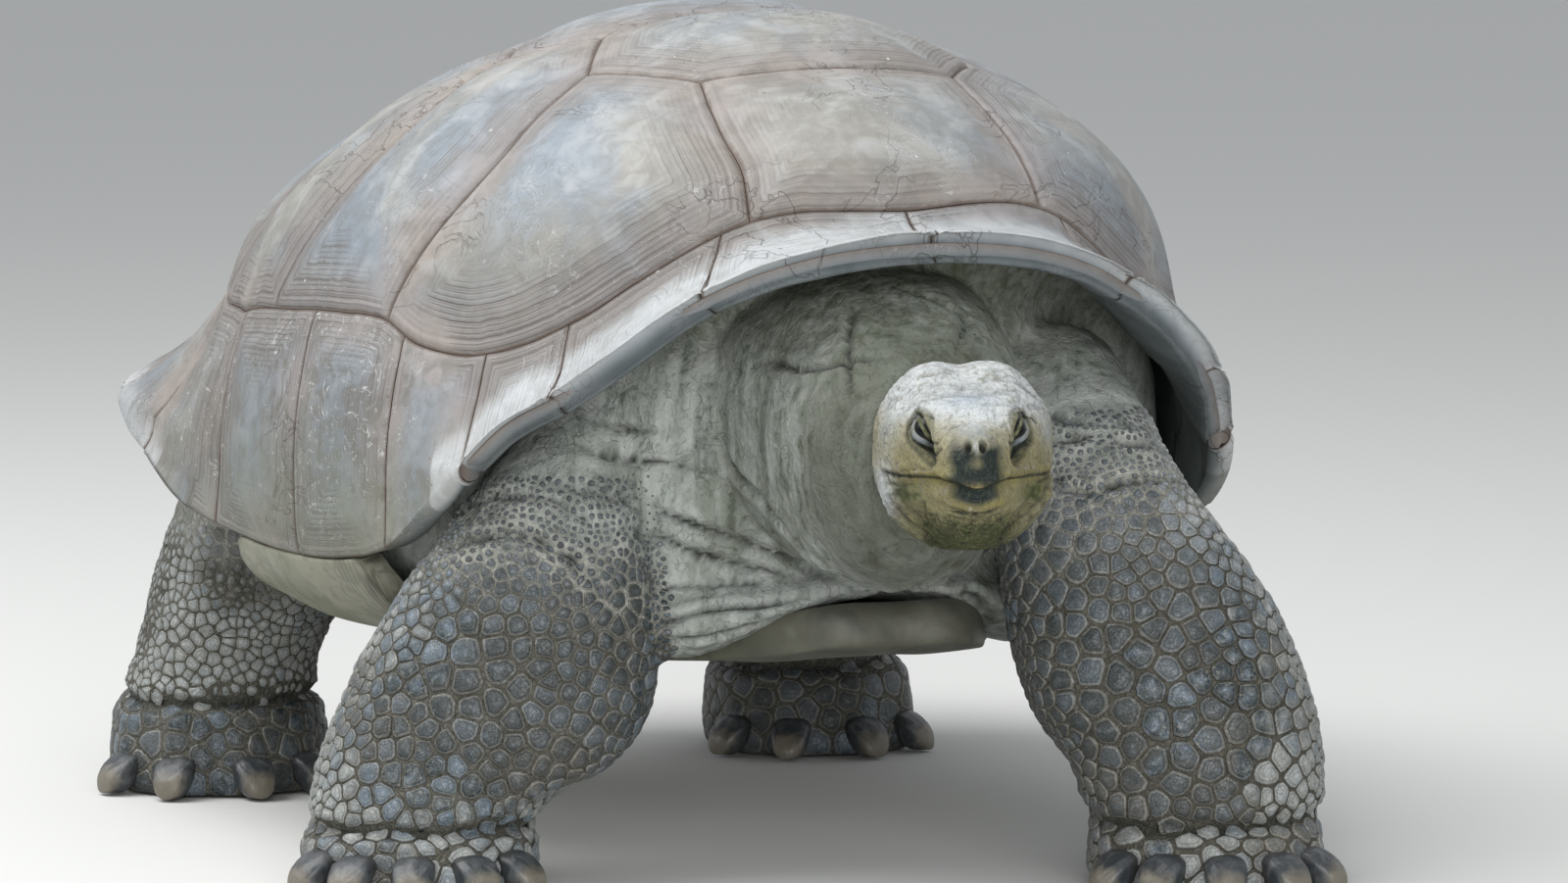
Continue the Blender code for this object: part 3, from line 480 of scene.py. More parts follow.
class Graph:
    """The node tree of one material."""

    def __init__(self, name: str) -> None:
        """Starts an empty tree with its Principled shader."""
        self.material = bpy.data.materials.new(name)
        self.material.use_nodes = True
        self.tree = self.material.node_tree
        self.shader = self.tree.nodes["Principled BSDF"]

    def node(self, kind: str, settings: dict, inputs: dict, output: str | int = 0) -> Term:
        """Makes a node.

        Args:
            kind: the node's type.
            settings: its own options.
            inputs: values or terms for its sockets, by name or number.
            output: which of its outputs to give back.

        Returns:
            That output.
        """
        made = self.tree.nodes.new(kind)
        for key, value in settings.items():
            setattr(made, key, value)
        for key, value in inputs.items():
            if isinstance(value, Term):
                self.tree.links.new(value.socket, made.inputs[key])
            else:
                made.inputs[key].default_value = value
        return Term(self, made.outputs[output])

    def maths(self, operation: str, first: Term | float, second: Term | float) -> Term:
        """A Math node."""
        return self.node("ShaderNodeMath", {"operation": operation}, {0: first, 1: second})

    def vector_maths(self, operation: str, first: Term | float, second: Term | float) -> Term:
        """A Vector Math node; a plain number counts for all three parts."""
        sides = [(s,) * 3 if isinstance(s, (int, float)) else s for s in (first, second)]
        return self.node("ShaderNodeVectorMath", {"operation": operation}, {0: sides[0], 1: sides[1]})

    def place(self, stretch: tuple[float, float, float] = (1.0, 1.0, 1.0)) -> Term:
        """The spot on the object in metres, each part times a stretch."""
        spot = self.node("ShaderNodeTexCoord", {}, {}, "Object")
        return spot if stretch == (1.0, 1.0, 1.0) else self.vector_maths("MULTIPLY", spot, stretch)

    def value(self, name: str) -> Term:
        """A value carried by the mesh."""
        return self.node("ShaderNodeAttribute", {"attribute_name": name}, {}, "Fac")

    def values(self, *names: str) -> list[Term]:
        """Several values carried by the mesh."""
        return [self.value(name) for name in names]

    def noise(self, scale: float, at: Term, detail: float = 3.0, warp: float = 0.0) -> Term:
        """Noise about 0.5, with so many cells to the metre."""
        return self.node(
            "ShaderNodeTexNoise", {}, {"Vector": at, "Scale": scale, "Detail": detail, "Distortion": warp},
            "Fac"
        )

    def cells(self, scale: float, at: Term, feature: str = "DISTANCE_TO_EDGE") -> Term:
        """A pattern of cells: the distance to their edges, or to their middles."""
        return self.node(
            "ShaderNodeTexVoronoi", {"feature": feature}, {"Vector": at, "Scale": scale}, "Distance"
        )

    def cell_tone(self, scale: float, at: Term) -> Term:
        """One random number for each cell of the same pattern."""
        found = self.node(
            "ShaderNodeTexVoronoi", {"feature": "F1"}, {"Vector": at, "Scale": scale}, "Color"
        )
        return self.node("ShaderNodeSeparateColor", {}, {"Color": found}, 0)

    def colour(self, rgb: tuple[float, float, float]) -> Term:
        """A plain colour."""
        made = self.tree.nodes.new("ShaderNodeRGB")
        made.outputs[0].default_value = (*rgb, 1.0)
        return Term(self, made.outputs[0])

    def blend(
        self, first: Term | tuple, second: Term | tuple, share: Term | float, kind: str = "MIX"
    ) -> Term:
        """The first colour, with the second laid over it by a share."""
        sides = [self.colour(s) if isinstance(s, tuple) else s for s in (first, second)]
        return self.node(
            "ShaderNodeMix", {"data_type": "RGBA", "blend_type": kind, "clamp_factor": True},
            {0: share, 6: sides[0], 7: sides[1]}, 2
        )

    def part(self, vector: Term, number: int) -> Term:
        """One of a vector's three parts."""
        return self.node("ShaderNodeSeparateXYZ", {}, {"Vector": vector}, number)

    def threads(
        self, edge: float, core: float, scale: float, at: Term, detail: float, warp: float = 0.0
    ) -> Term:
        """Thin winding lines where noise crosses its middle: 1 within core of it, 0 past edge."""
        return (self.noise(scale, at, detail, warp) - 0.5).size().step(edge, core)

    def finish(
        self, colour: Term, roughness: Term | float, height: Term | None = None, depth: float = 0.001,
        constants: dict[str, float] | None = None
    ) -> Material:
        """Links the finish.

        Args:
            colour: base colour.
            roughness: roughness.
            height: relief, where 1 stands depth above 0.
            depth: the relief's depth in metres.
            constants: other numbers, set straight on the shader.

        Returns:
            The material.
        """
        self.tree.links.new(colour.socket, self.shader.inputs["Base Color"])
        if isinstance(roughness, Term):
            self.tree.links.new(roughness.socket, self.shader.inputs["Roughness"])
        else:
            self.shader.inputs["Roughness"].default_value = roughness
        if height is not None:
            relief = self.node(
                "ShaderNodeBump", {}, {"Strength": 1.0, "Distance": depth, "Height": height}, "Normal"
            )
            self.tree.links.new(relief.socket, self.shader.inputs["Normal"])
        for key, number in (constants or {}).items():
            self.shader.inputs[key].default_value = number
        return self.material


@dataclass
class Coat:
    """A colour that is built up coat by coat."""

    graph: Graph
    colour: Term | tuple

    def over(self, colour: Term | tuple, share: Term | float, kind: str = "MIX") -> None:
        """Lays a colour over what is there, by its share."""
        self.colour = self.graph.blend(self.colour, colour, share, kind)


@dataclass(frozen=True)
class Keratin:
    """The carapace's horn: worn blue-grey middles, brown-pink growth bands, dark seams, pale scratches;
    painted shade low on the dome and under the rim, and painted light on its top and along its front edge.
    """

    blue: Colour = (0.2, 0.235, 0.272)
    beige: Colour = (0.272, 0.264, 0.24)
    pale: Colour = (0.41, 0.415, 0.405)
    pink: Colour = (0.275, 0.222, 0.194)
    line: Colour = (0.12, 0.088, 0.072)
    seam: Colour = (0.125, 0.094, 0.076)
    # pale of the scratches; also laid on the dome's top as painted light
    worn: Colour = (0.5, 0.505, 0.5)
    grime: Colour = (0.13, 0.128, 0.108)
    # pale of the worn free edge, partly a painted highlight
    edge: Colour = (0.47, 0.49, 0.5)
    olive: Colour = (0.15, 0.16, 0.112)
    # painted shade, nearly black, under the rim and inside the dome
    under: Colour = (0.04, 0.052, 0.05)
    shade: Colour = (0.128, 0.132, 0.134)

    def material(self) -> Material:
        """Builds the finish from the distances that each scute carries.

        Returns:
            The horn of the shell.
        """
        g = Graph("shell_horn")
        at = g.place()
        from_seam, tint, free = g.values("from_seam", "tint", "free")
        below, ring, scratched = g.values("below", "ring", "scratched")
        broad = g.noise(5.0, at, 4.0, 0.6)
        patch = g.noise(17.0, at, 5.0, 1.2)
        mottle = g.noise(52.0, at, 5.0, 1.0)
        fine = g.noise(150.0, at, 4.0)
        coat = Coat(g, self.beige)
        coat.over(self.blue, (broad + (tint - 0.5) * 0.2).step(0.38, 0.58))
        coat.over(self.pale, (patch * 0.7 + mottle * 0.3).step(0.48, 0.68) * 0.44)
        coat.over(self.blue, g.noise(9.0, at + 3.1, 5.0, 2.0).step(0.56, 0.7) * 0.45)
        # Painted light and shade: the horn is darkened low on the dome and lightened on its top.
        tall = g.part(at, 2) + (patch - 0.5) * 0.08
        coat.over(self.shade, tall.step(0.53, 0.4) * 0.34)
        coat.over(self.worn, tall.step(0.52, 0.63) * 0.24)
        near = (from_seam + (patch - 0.5) * 0.05).step(0.05, 0.004)
        coat.over(self.pink, near * 0.6)
        coat.over(self.grime, (mottle * 0.6 + patch * 0.4).step(0.56, 0.4) * (0.3 + scratched * 0.45))
        spacing = from_seam * 1500.0 + patch * 7.0 + tint * 4.0
        stripe = spacing.sine().step(0.5, 1.0)
        bold = (from_seam * 520.0 + patch * 5.0).sine().step(0.66, 0.98)
        band = (
            (from_seam + (patch - 0.5) * 0.06).step(0.085, 0.02) * g.noise(9.0, at, 2.0).step(0.38, 0.56)
            * ring
        )
        coat.over(self.line, stripe * band * 0.36)
        coat.over(self.line, bold * band * 0.5)
        coat.over(self.shade, band * 0.42)
        hair = g.threads(0.01, 0.002, 26.0, at, 3.0, 1.5)
        hair = hair * g.noise(8.0, at + 7.0, 2.0).step(0.55, 0.66)
        scribble = g.threads(0.017, 0.003, 40.0, at + 2.0, 2.0, 2.6)
        scribble = scribble * (g.noise(10.0, at + 5.0, 2.0) + scratched * 0.13).step(0.5, 0.6)
        coat.over(self.worn, (hair * 0.45 + scribble * (0.38 + scratched * 0.3)).limited())
        # The pale free edge: wear along the rim, with a painted highlight that grows broader and stronger
        # towards the front.
        ahead = g.part(at, 1).step(-0.08, -0.3)
        edge = (free + (patch - 0.5) * 0.04 - ahead * 0.034).step(0.036, 0.002)
        coat.over(self.edge, edge * (0.58 + ahead * 0.16 + (mottle - 0.5) * 0.9).limited())
        coat.over(self.blue, (below * (1.6 - below) + (patch - 0.5) * 0.3).limited() * 0.9)
        low = g.part(at, 2).step(0.37, 0.25)
        coat.over(self.olive, low * scratched * (0.5 + (patch - 0.5) * 1.6).limited())
        speck = g.cells(55.0, at, "F1").step(0.1, 0.05) * g.noise(14.0, at + 9.0, 1.0).step(0.56, 0.62)
        coat.over(self.line, speck * 0.6)
        fleck = (
            g.cells(38.0, at + 4.0, "F1").step(0.075, 0.05) * g.noise(11.0, at + 6.0, 1.0).step(0.58, 0.63)
        )
        coat.over((0.78, 0.79, 0.78), fleck * 0.8)
        crack = g.threads(0.007, 0.001, 13.0, at + 4.0, 4.0, 1.4)
        crack = crack * g.noise(7.0, at + 4.0, 1.0).step(0.54, 0.64)
        coat.over(self.line, crack * 0.26)
        coat.over(self.seam, (from_seam + (mottle - 0.5) * 0.003).step(0.0024, 0.0006) * 0.85)
        # Painted shade: the underside round the free rim and the inside of the dome are painted nearly
        # black.
        coat.over(self.under, below * (0.8 + (patch - 0.5) * 0.5))
        coat.over((0.5, 0.5, 0.5), (fine - 0.5).size() * 0.8, "OVERLAY")
        height = (
            stripe * band * -0.45 + bold * band * -0.45 + fine * 0.35 + patch * 1.1 - crack * 0.9
            + mottle * 0.4
        )
        height = height - scribble * 0.3 - hair * 0.5 + g.noise(400.0, at, 2.0) * 0.1
        roughness = 0.52 + (patch - 0.5) * 0.3 + near * 0.1 - edge * 0.04 + scribble * 0.12 + below * 0.2
        return g.finish(coat.colour, roughness, height, 0.0012, {"Specular IOR Level": 0.45})


@dataclass(frozen=True)
class BellyHorn:
    """The plastron's horn: olive-beige, darker along its worn front lip."""

    beige: Colour = (0.25, 0.25, 0.188)
    olive: Colour = (0.168, 0.178, 0.12)
    brown: Colour = (0.07, 0.064, 0.05)
    lip: Colour = (0.06, 0.06, 0.047)

    def material(self) -> Material:
        """Builds the finish.

        Returns:
            The horn of the belly plate.
        """
        g = Graph("belly_horn")
        at = g.place()
        broad, patch, fine = g.noise(6.0, at, 4.0, 0.8), g.noise(
            22.0, at, 5.0, 1.0
        ), g.noise(150.0, at, 3.0)
        from_seam, gular = g.values("from_seam", "gular")
        coat = Coat(g, self.olive)
        coat.over(self.beige, broad.step(0.35, 0.6))
        coat.over(self.brown, from_seam.step(0.022, 0.002) * 0.5 * patch.step(0.35, 0.6))
        rings = (from_seam * 1100.0 + patch * 5.0).sine().step(0.65, 1.0) * from_seam.step(0.06, 0.01)
        rings = rings * gular.step(0.45, 0.05)
        coat.over(self.brown, rings * 0.25)
        coat.over(self.lip, gular * (0.85 + (patch - 0.5) * 0.9))
        coat.over((0.15, 0.165, 0.165), gular * g.noise(14.0, at + 2.0, 4.0).step(0.52, 0.66) * 0.55)
        grubby = (g.noise(60.0, at, 5.0, 1.0) * 0.6 + patch * 0.4).step(0.55, 0.4)
        coat.over(self.brown, grubby * 0.4)
        coat.over(self.brown, from_seam.step(0.0035, 0.001) * 0.9)
        height = fine * 0.3 + patch * 0.8 - rings * 0.5
        return g.finish(coat.colour, 0.5 + (patch - 0.5) * 0.3, height, 0.001, {"Specular IOR Level": 0.4})


@dataclass(frozen=True)
class Hide:
    """Skin: grey-olive and dusty, brown between scales, cream and ochre on the face; painted shade darkens
    its creases, the skin under the scales, the neck and the skin under the shell's rim, and painted light
    lifts the chest.
    """

    olive: Colour = (0.165, 0.182, 0.145)
    grey: Colour = (0.255, 0.28, 0.258)
    dust: Colour = (0.37, 0.38, 0.35)
    brown: Colour = (0.108, 0.098, 0.078)
    tan: Colour = (0.29, 0.262, 0.212)
    dark: Colour = (0.014, 0.016, 0.012)
    cream: Colour = (0.275, 0.258, 0.182)
    crown: Colour = (0.5, 0.525, 0.535)
    ochre: Colour = (0.172, 0.15, 0.058)
    moss: Colour = (0.05, 0.06, 0.017)
    beak: Colour = (0.006, 0.012, 0.009)
    blue: Colour = (0.29, 0.345, 0.405)
    lid: Colour = (0.155, 0.186, 0.22)

    def material(self) -> Material:
        """Builds the finish from the zones that the skin carries.

        Returns:
            The skin.
        """
        g = Graph("hide")
        at = g.place()
        leg, face, crease = g.values("leg", "face", "crease")
        broad, patch = g.noise(7.0, at, 4.0, 0.8), g.noise(34.0, at, 4.0, 1.0)
        fine, grain = g.noise(190.0, at, 3.0), g.noise(620.0, at, 2.0)
        pebble = g.cells(190.0, at + (patch - 0.5) * 0.02)
        tone = g.cell_tone(190.0, at + (patch - 0.5) * 0.02)
        drawn = g.place((1.0, 1.0, 0.13)) + (patch - 0.5) * 0.02
        mottled = g.noise(75.0, at, 4.0, 1.2)
        net = g.cells(62.0, g.place((1.0, 1.0, 0.55)) + (patch - 0.5) * 0.05)
        streak = g.noise(85.0, drawn, 5.0)
        coat = Coat(g, self.olive)
        coat.over(self.grey, (broad * 0.7 + patch * 0.3).step(0.36, 0.6))
        coat.over(self.dust, (streak * 0.65 + patch * 0.35).step(0.47, 0.64) * 0.72)
        coat.over(self.brown, (patch * 0.5 + broad * 0.5).step(0.54, 0.7) * 0.55)
        coat.over(self.dark, (streak * 0.6 + fine * 0.4).step(0.46, 0.36) * 0.42)
        thread = g.threads(0.007, 0.001, 46.0, drawn, 5.0)
        thread = thread * g.noise(10.0, at + 2.0, 2.0).step(0.42, 0.56) * (1 - leg)
        coat.over((0.44, 0.44, 0.4), thread * 0.22)
        # Painted light: the chest behind the neck, in the shell's shade, is lightened.
        deep = g.part(at, 1).step(-0.42, -0.33)
        tall = g.part(at, 2)
        coat.over((0.42, 0.44, 0.415), deep * (0.32 + (streak - 0.5) * 1.8 + (patch - 0.5) * 0.6).limited())
        # Painted shade: the neck ahead of the chest is darkened to olive-brown.
        neck = (1 - deep) * (1 - face)
        coat.over(
            (0.07, 0.074, 0.052), neck * (0.68 + (patch - 0.5) * 1.4 + (streak - 0.5) * 0.8).limited()
        )
        # Painted shade: the skin just under the shell's rim is darkened to olive.
        mossy = (
            (tall + (patch - 0.5) * 0.1 + (streak - 0.5) * 0.05).step(0.355, 0.44) * (1 - leg) * (1 - face)
        )
        coat.over((0.052, 0.06, 0.024), mossy * (0.56 + (mottled - 0.5) * 1.2).limited())
        web = g.threads(0.009, 0.001, 30.0, at + 1.0, 4.0, 1.6)
        web = web * g.noise(9.0, at + 8.0, 2.0).step(0.46, 0.6)
        coat.over(self.dark, web * (0.16 + leg * 0.2) * (1 - face))
        cut = net.step(0.055, 0.002) * mottled.step(0.4, 0.58) * (1 - face)
        coat.over((0.06, 0.062, 0.044), cut * 0.18)
        leather = g.blend(self.brown, self.tan, (patch * 0.6 + tone * 0.4).step(0.34, 0.66))
        coat.over(leather, leg * 0.6)
        # Painted shade: the skin under the scales, seen only in the grooves between them, is darkened.
        coat.over((0.06, 0.055, 0.042), leg.step(0.72, 0.99) * 0.72)
        coat.over((0.4, 0.395, 0.35), leg * (1 - leg) * 2.2 * (patch * 0.5 + streak * 0.5).step(0.35, 0.62))
        coat.over(self.dark, pebble.step(0.16, 0.02) * (0.08 + leg * 0.3))
        coat.over(self._face(g, at, fine), face)
        # Painted shade: the creases that the skin carries are darkened.
        coat.over(self.dark, (crease * (0.95 + (patch - 0.5) * 0.6)).limited())
        coat.over(self.moss, g.value("mossy") * patch.step(0.38, 0.6) * 0.7)
        bumpy = (g.value("chin") * 1.1 + face * 0.15).limited()
        height = (
            pebble.step(0.0, 0.3) * (0.12 + leg * 0.5 + bumpy) + fine * (0.5 + face * 0.35) + patch * 0.55
        )
        height = height + grain * 0.14
        height = (
            height + (streak * 0.75 + mottled * 0.5) * (1 - leg) * (1 - face) - web * 0.4 * (1 - face)
            - cut * 0.3
        )
        roughness = 0.74 + (patch - 0.5) * 0.22 - g.value("beak") * 0.2
        return g.finish(coat.colour, roughness, height, 0.0017, {"Specular IOR Level": 0.28})

    def _face(self, g: Graph, at: Term, fine: Term) -> Term:
        """The head's colours, each laid on by the value that the head carries for it.

        Args:
            g: the graph to build in.
            at: the place on the animal.
            fine: the fine mottling.

        Returns:
            The head's colour.
        """
        mottle = g.noise(85.0, at, 4.0, 1.5)
        grainy = g.noise(300.0, g.place((1.0, 1.0, 0.16)), 4.0)
        coat = Coat(g, self.cream)
        coat.over(self.ochre, (g.value("ochre") * 0.9 + (mottle - 0.5) * 1.2).limited())
        coat.over(self.crown, (g.value("crown") + (mottle - 0.54) * 0.7).limited() * 0.9)
        coat.over((0.165, 0.148, 0.1), (mottle * 0.7 + fine * 0.3).step(0.5, 0.64) * 0.62)
        coat.over(
            (0.06, 0.055, 0.034),
            (fine * 0.5 + mottle * 0.5).step(0.44, 0.34) * (0.5 - g.value("crown") * 0.3).limited()
        )
        coat.over((0.52, 0.51, 0.43), (fine * 0.7 + mottle * 0.3).step(0.58, 0.72) * 0.3)
        vein = g.threads(0.02, 0.004, 95.0, at + 2.0, 3.0, 1.6) * mottle.step(0.44, 0.56)
        coat.over((0.06, 0.052, 0.032), vein * 0.4)
        coat.over(self.blue, (g.value("blue") * (0.8 + (mottle - 0.5) * 1.6)).limited())
        coat.over(self.moss, (g.value("chin") * (0.85 + (mottle - 0.5) * 1.6)).limited())
        coat.over(self.moss, (g.value("spot") * (0.8 + (fine - 0.5) * 2.4)).limited())
        horn = g.blend(self.beak, (0.06, 0.072, 0.038), grainy.step(0.54, 0.74) * 0.5)
        dark = (g.value("beak") * 1.25 + (grainy - 0.5) * 0.9 * g.value("beak").step(0.9, 0.3)).limited()
        coat.over(horn, dark)
        coat.over((0.27, 0.215, 0.095), (g.value("tip") * (0.6 + (grainy - 0.5) * 1.8)).limited())
        coat.over(self.lid, (g.value("lid") * (0.72 + (fine - 0.5) * 2.2)).limited())
        return coat.colour


@dataclass(frozen=True)
class ScaleHorn:
    """The limbs' horny scales: slate middles, tan edges, pale and chalky where they are worn; painted
    highlights on their tops and high on the legs, painted shade in the grooves between them.
    """

    slate: Colour = (0.094, 0.126, 0.152)
    dark: Colour = (0.012, 0.024, 0.03)
    blue: Colour = (0.13, 0.18, 0.25)
    tan: Colour = (0.32, 0.305, 0.255)
    pale: Colour = (0.4, 0.41, 0.385)
    # near black: painted shade in the grooves, and the growth rings
    brown: Colour = (0.016, 0.014, 0.011)
    earth: Colour = (0.12, 0.098, 0.068)

    def material(self) -> Material:
        """Builds the finish from the distances that each scale carries.

        Returns:
            The horn of the scales.
        """
        g = Graph("scale_horn")
        at = g.place()
        rim, tint, worn = g.values("rim", "tint", "worn")
        patch, fine = g.noise(45.0, at, 4.0, 1.0), g.noise(260.0, at, 3.0)
        mottle = g.noise(110.0, at, 4.0, 0.8)
        coat = Coat(g, self.slate)
        coat.over(self.dark, (tint * 0.9 + patch * 0.6 - worn * 0.35).step(0.32, 0.66))
        coat.over(self.blue, mottle.step(0.5, 0.7) * (0.3 + (1 - tint) * 0.5))
        # Painted light: the scales high on the legs are painted paler blue-grey, as sky light from above
        # would make them.
        high = g.part(at, 2).step(0.19, 0.29)
        coat.over((0.35, 0.38, 0.4), high * (mottle * 0.6 + tint * 0.4).step(0.2, 0.65) * 0.82)
        coat.over((0.33, 0.335, 0.31), (fine * 0.6 + mottle * 0.4).step(0.55, 0.66) * 0.42)
        coat.over(self.dark, (fine * 0.5 + mottle * 0.5).step(0.44, 0.35) * 0.6)
        # Painted highlight: a paler blue-grey patch on each scale's top.
        crown = rim.step(0.55, 0.0)
        coat.over((0.215, 0.245, 0.268), crown * mottle.step(0.4, 0.6) * 0.5)
        net = g.cells(250.0, at + (patch - 0.5) * 0.02).step(0.1, 0.02)
        coat.over(self.tan, net * (worn * 0.35 + 0.3) * rim.step(0.1, 0.6))
        chalk = (worn * 1.2 + (patch - 0.5) * 0.9 + (tint - 0.5) * 0.45).step(0.42, 0.92)
        coat.over(self.pale, chalk * (0.62 + (mottle - 0.5) * 0.8))
        ring = (rim + (mottle - 0.5) * 0.34).step(0.7, 0.86)
        region = (g.noise(11.0, at + 5.0, 2.0) + (0.5 - worn) * 0.34).step(0.4, 0.64)
        coat.over(self.dark, region * rim.step(0.8, 0.6) * 0.5)
        coat.over(self.tan, ring * (0.05 + worn * 0.2 + region * 0.34).limited())
        # Painted shade: each scale's outermost edge, where it sinks into the groove, is near black.
        coat.over(self.brown, rim.step(0.87, 0.96) * (0.96 - region * 0.4))
        coat.over(self.earth, (patch * 0.6 + region * 0.4).step(0.42, 0.66) * (0.15 + worn * 0.4))
        rings = (rim * 17.0 + patch * 4.0).sine().step(0.7, 1.0) * rim.step(0.3, 0.7)
        coat.over(self.brown, rings * 0.25)
        height = fine * 0.5 + patch * 0.6 - net * 0.6 - rings * 0.5 + mottle * 0.5
        roughness = 0.45 + chalk * 0.26 + (patch - 0.5) * 0.16
        return g.finish(coat.colour, roughness, height, 0.0011, {"Specular IOR Level": 0.55})


@dataclass(frozen=True)
class NailHorn:
    """The claws: dark at the root, tan and scuffed at the tip."""

    dark: Colour = (0.026, 0.03, 0.034)
    grey: Colour = (0.085, 0.09, 0.092)
    tan: Colour = (0.19, 0.165, 0.118)

    def material(self) -> Material:
        """Builds the finish.

        Returns:
            The horn of the claws.
        """
        g = Graph("nail_horn")
        at = g.place()
        along, patch = g.value("along"), g.noise(70.0, at, 4.0, 1.0)
        grain = g.noise(340.0, g.place((1.0, 1.0, 0.3)), 3.0)
        coat = Coat(g, self.dark)
        coat.over(self.grey, (patch * 0.7 + grain * 0.3).step(0.4, 0.68) * 0.8)
        coat.over(self.tan, (along + (patch - 0.5) * 0.5).step(0.55, 1.0) * 0.65)
        coat.over((0.018, 0.017, 0.015), along.step(0.2, 0.02) * 0.6)
        return g.finish(
            coat.colour, 0.38 + patch * 0.2, grain * 0.6 + patch * 0.6, 0.0006, {"Coat Weight": 0.15}
        )


@dataclass(frozen=True)
class EyeGloss:
    """The eye: nearly black, with a faint brown iris under a wet surface."""

    pupil: Colour = (0.0025, 0.003, 0.004)
    iris: Colour = (0.01, 0.009, 0.008)
    white: Colour = (0.01, 0.012, 0.014)

    def material(self) -> Material:
        """Builds the finish from how far a spot lies from the pupil's middle.

        Returns:
            The eye.
        """
        g = Graph("eye_gloss")
        out = g.value("out")
        coat = Coat(g, self.pupil)
        coat.over(self.iris, out.step(0.3, 0.42))
        coat.over(self.white, out.step(0.66, 0.8))
        return g.finish(
            coat.colour, 0.16, None, 0.001,
            {"Coat Weight": 0.1, "Coat Roughness": 0.05, "Specular IOR Level": 0.12}
        )


# ---- The shell's form ----
@dataclass
class ShellForm:
    """The dome and its flat map. A point of the map is (forward, left); see the top of this file.

    In a direction, the reach of the widest ring is that of a superellipse, and a ring at an angle down
    from the top has the reach times the angle's sine and the height of its cosine. Under the widest
    ring both are taken to a power below 1, which squares the belly off.
    """

    centre: tuple[float, float] = BODY_CENTRE
    half_width: float = 0.372
    front_reach: float = 0.45
    rear_reach: float = 0.5
    plan_exponent: float = 2.05
    top_shift: float = 0.056
    shift_band: tuple[float, float] = (42.0, 72.0)
    top_z: float = 0.632
    widest_z: float = 0.3
    belly_z: float = 0.15
    belly_rounding: float = 0.5
    wall: float = 0.02
    scallop: float = 0.0035
    bridge_middle: float = 82.0
    bridge_reach: float = 24.0
    # Direction in degrees, height of the rim, height of the seam above the marginal scutes, and how
    # far the rim turns outwards and upwards from the dome.
    rim: tuple = (
        (0, 0.45, 0.5, 0.033, 0.037), (22, 0.42, 0.488, 0.044, 0.03), (37, 0.35, 0.418, 0.04, 0.02),
        (43, 0.328, 0.402, 0.03, 0.015), (49, 0.29, 0.392, 0.026, 0.01), (57, 0.25, 0.397, 0.012, 0.004),
        (64, 0.236, 0.413, 0.0, 0.0), (68, 0.232, 0.414, 0.0, 0.0), (92, 0.229, 0.41, 0.0, 0.0),
        (97, 0.23, 0.408, 0.0, 0.0), (106, 0.243, 0.405, 0.024, 0.003), (114, 0.264, 0.404, 0.043, 0.01),
        (128, 0.3, 0.408, 0.07, 0.019), (145, 0.31, 0.4, 0.064, 0.018), (163, 0.295, 0.385, 0.043, 0.01),
        (180, 0.275, 0.37, 0.025, 0.0)
    )
    marginal_seams: tuple = (0, 22.6, 37, 47, 59.5, 78.5, 102, 117, 131, 146, 158, 170)
    costal_seams: tuple = (19.5, 63, 91.5, 114, 153)
    # Corners of the middle row of scutes, as (ahead of the shell's centre, to the side).
    middle_corners: tuple = (
        (0.242, 0.102), (0.156, 0.16), (0.08, 0.118), (0.0, 0.162), (-0.09, 0.116), (-0.165, 0.15),
        (-0.268, 0.096)
    )
    waver: float = 0.016
    step: float = math.radians(0.85)

    def mirrored(self, table: tuple, direction: Array) -> Array:
        """A table keyed by degrees from 0 to 180, read at any direction, the same left and right.

        Args:
            table: rows of degrees and value.
            direction: from straight ahead, towards its left, in radians.

        Returns:
            The table's value there.
        """
        rows = np.array(table, float)
        before, after = rows[1].copy(), rows[-2].copy()
        before[0], after[0] = -before[0], 360 - after[0]
        rows = np.vstack([before, rows, after])
        angle = from_front(direction)
        return smooth(angle, rows[:, 0], rows[:, 1:])

    def reach(self, direction: Array) -> Array:
        """How far the widest ring lies from the centre, in plan."""
        forward, side = np.cos(direction), np.sin(direction)
        along = np.where(forward > 0, self.front_reach, self.rear_reach)
        total = np.abs(side / self.half_width) ** self.plan_exponent
        total = total + np.abs(forward / along) ** self.plan_exponent
        return total ** (-1 / self.plan_exponent)

    def shift(self, down: Array) -> Array:
        """How far forward a ring of the dome lies."""
        return self.top_shift * ease(self.shift_band[1], self.shift_band[0], np.degrees(down))

    def down_at(self, height: Array) -> Array:
        """The angle down from the top at which the dome, or the belly under it, has this height."""
        upper = np.arccos(np.clip((height - self.widest_z) / (self.top_z - self.widest_z), 0, 1))
        share = np.clip((self.widest_z - height) / (self.widest_z - self.belly_z), 0, 1)
        return upper + np.arcsin(share ** (1 / self.belly_rounding))

    def rim_at(self, direction: Array) -> tuple[Array, ...]:
        """(rim angle, seam angle, outward turn, upward turn) of the edge in a direction."""
        rows = self.mirrored(self.rim, direction)
        return self.down_at(rows[..., 0]), self.down_at(rows[..., 1]), rows[..., 2], rows[..., 3]

    def free_edge(self, direction: Array) -> Array:
        """1 where the rim hangs free, falling to 0 along the bridge."""
        angle = from_front(direction)
        return np.clip((np.abs(angle - self.bridge_middle) - self.bridge_reach) / 30.0, 0, 1)

    def bulge(self, direction: Array) -> Array:
        """The free edge's bulge over each marginal scute."""
        seams = np.array(self.marginal_seams + (190,), float)
        angle = from_front(direction)
        at = np.clip(np.searchsorted(seams, angle, side="right") - 1, 0, len(seams) - 2)
        share = (angle - seams[at]) / (seams[at + 1] - seams[at])
        return self.scallop * self.free_edge(direction) * (1 - (2 * share - 1) ** 2)

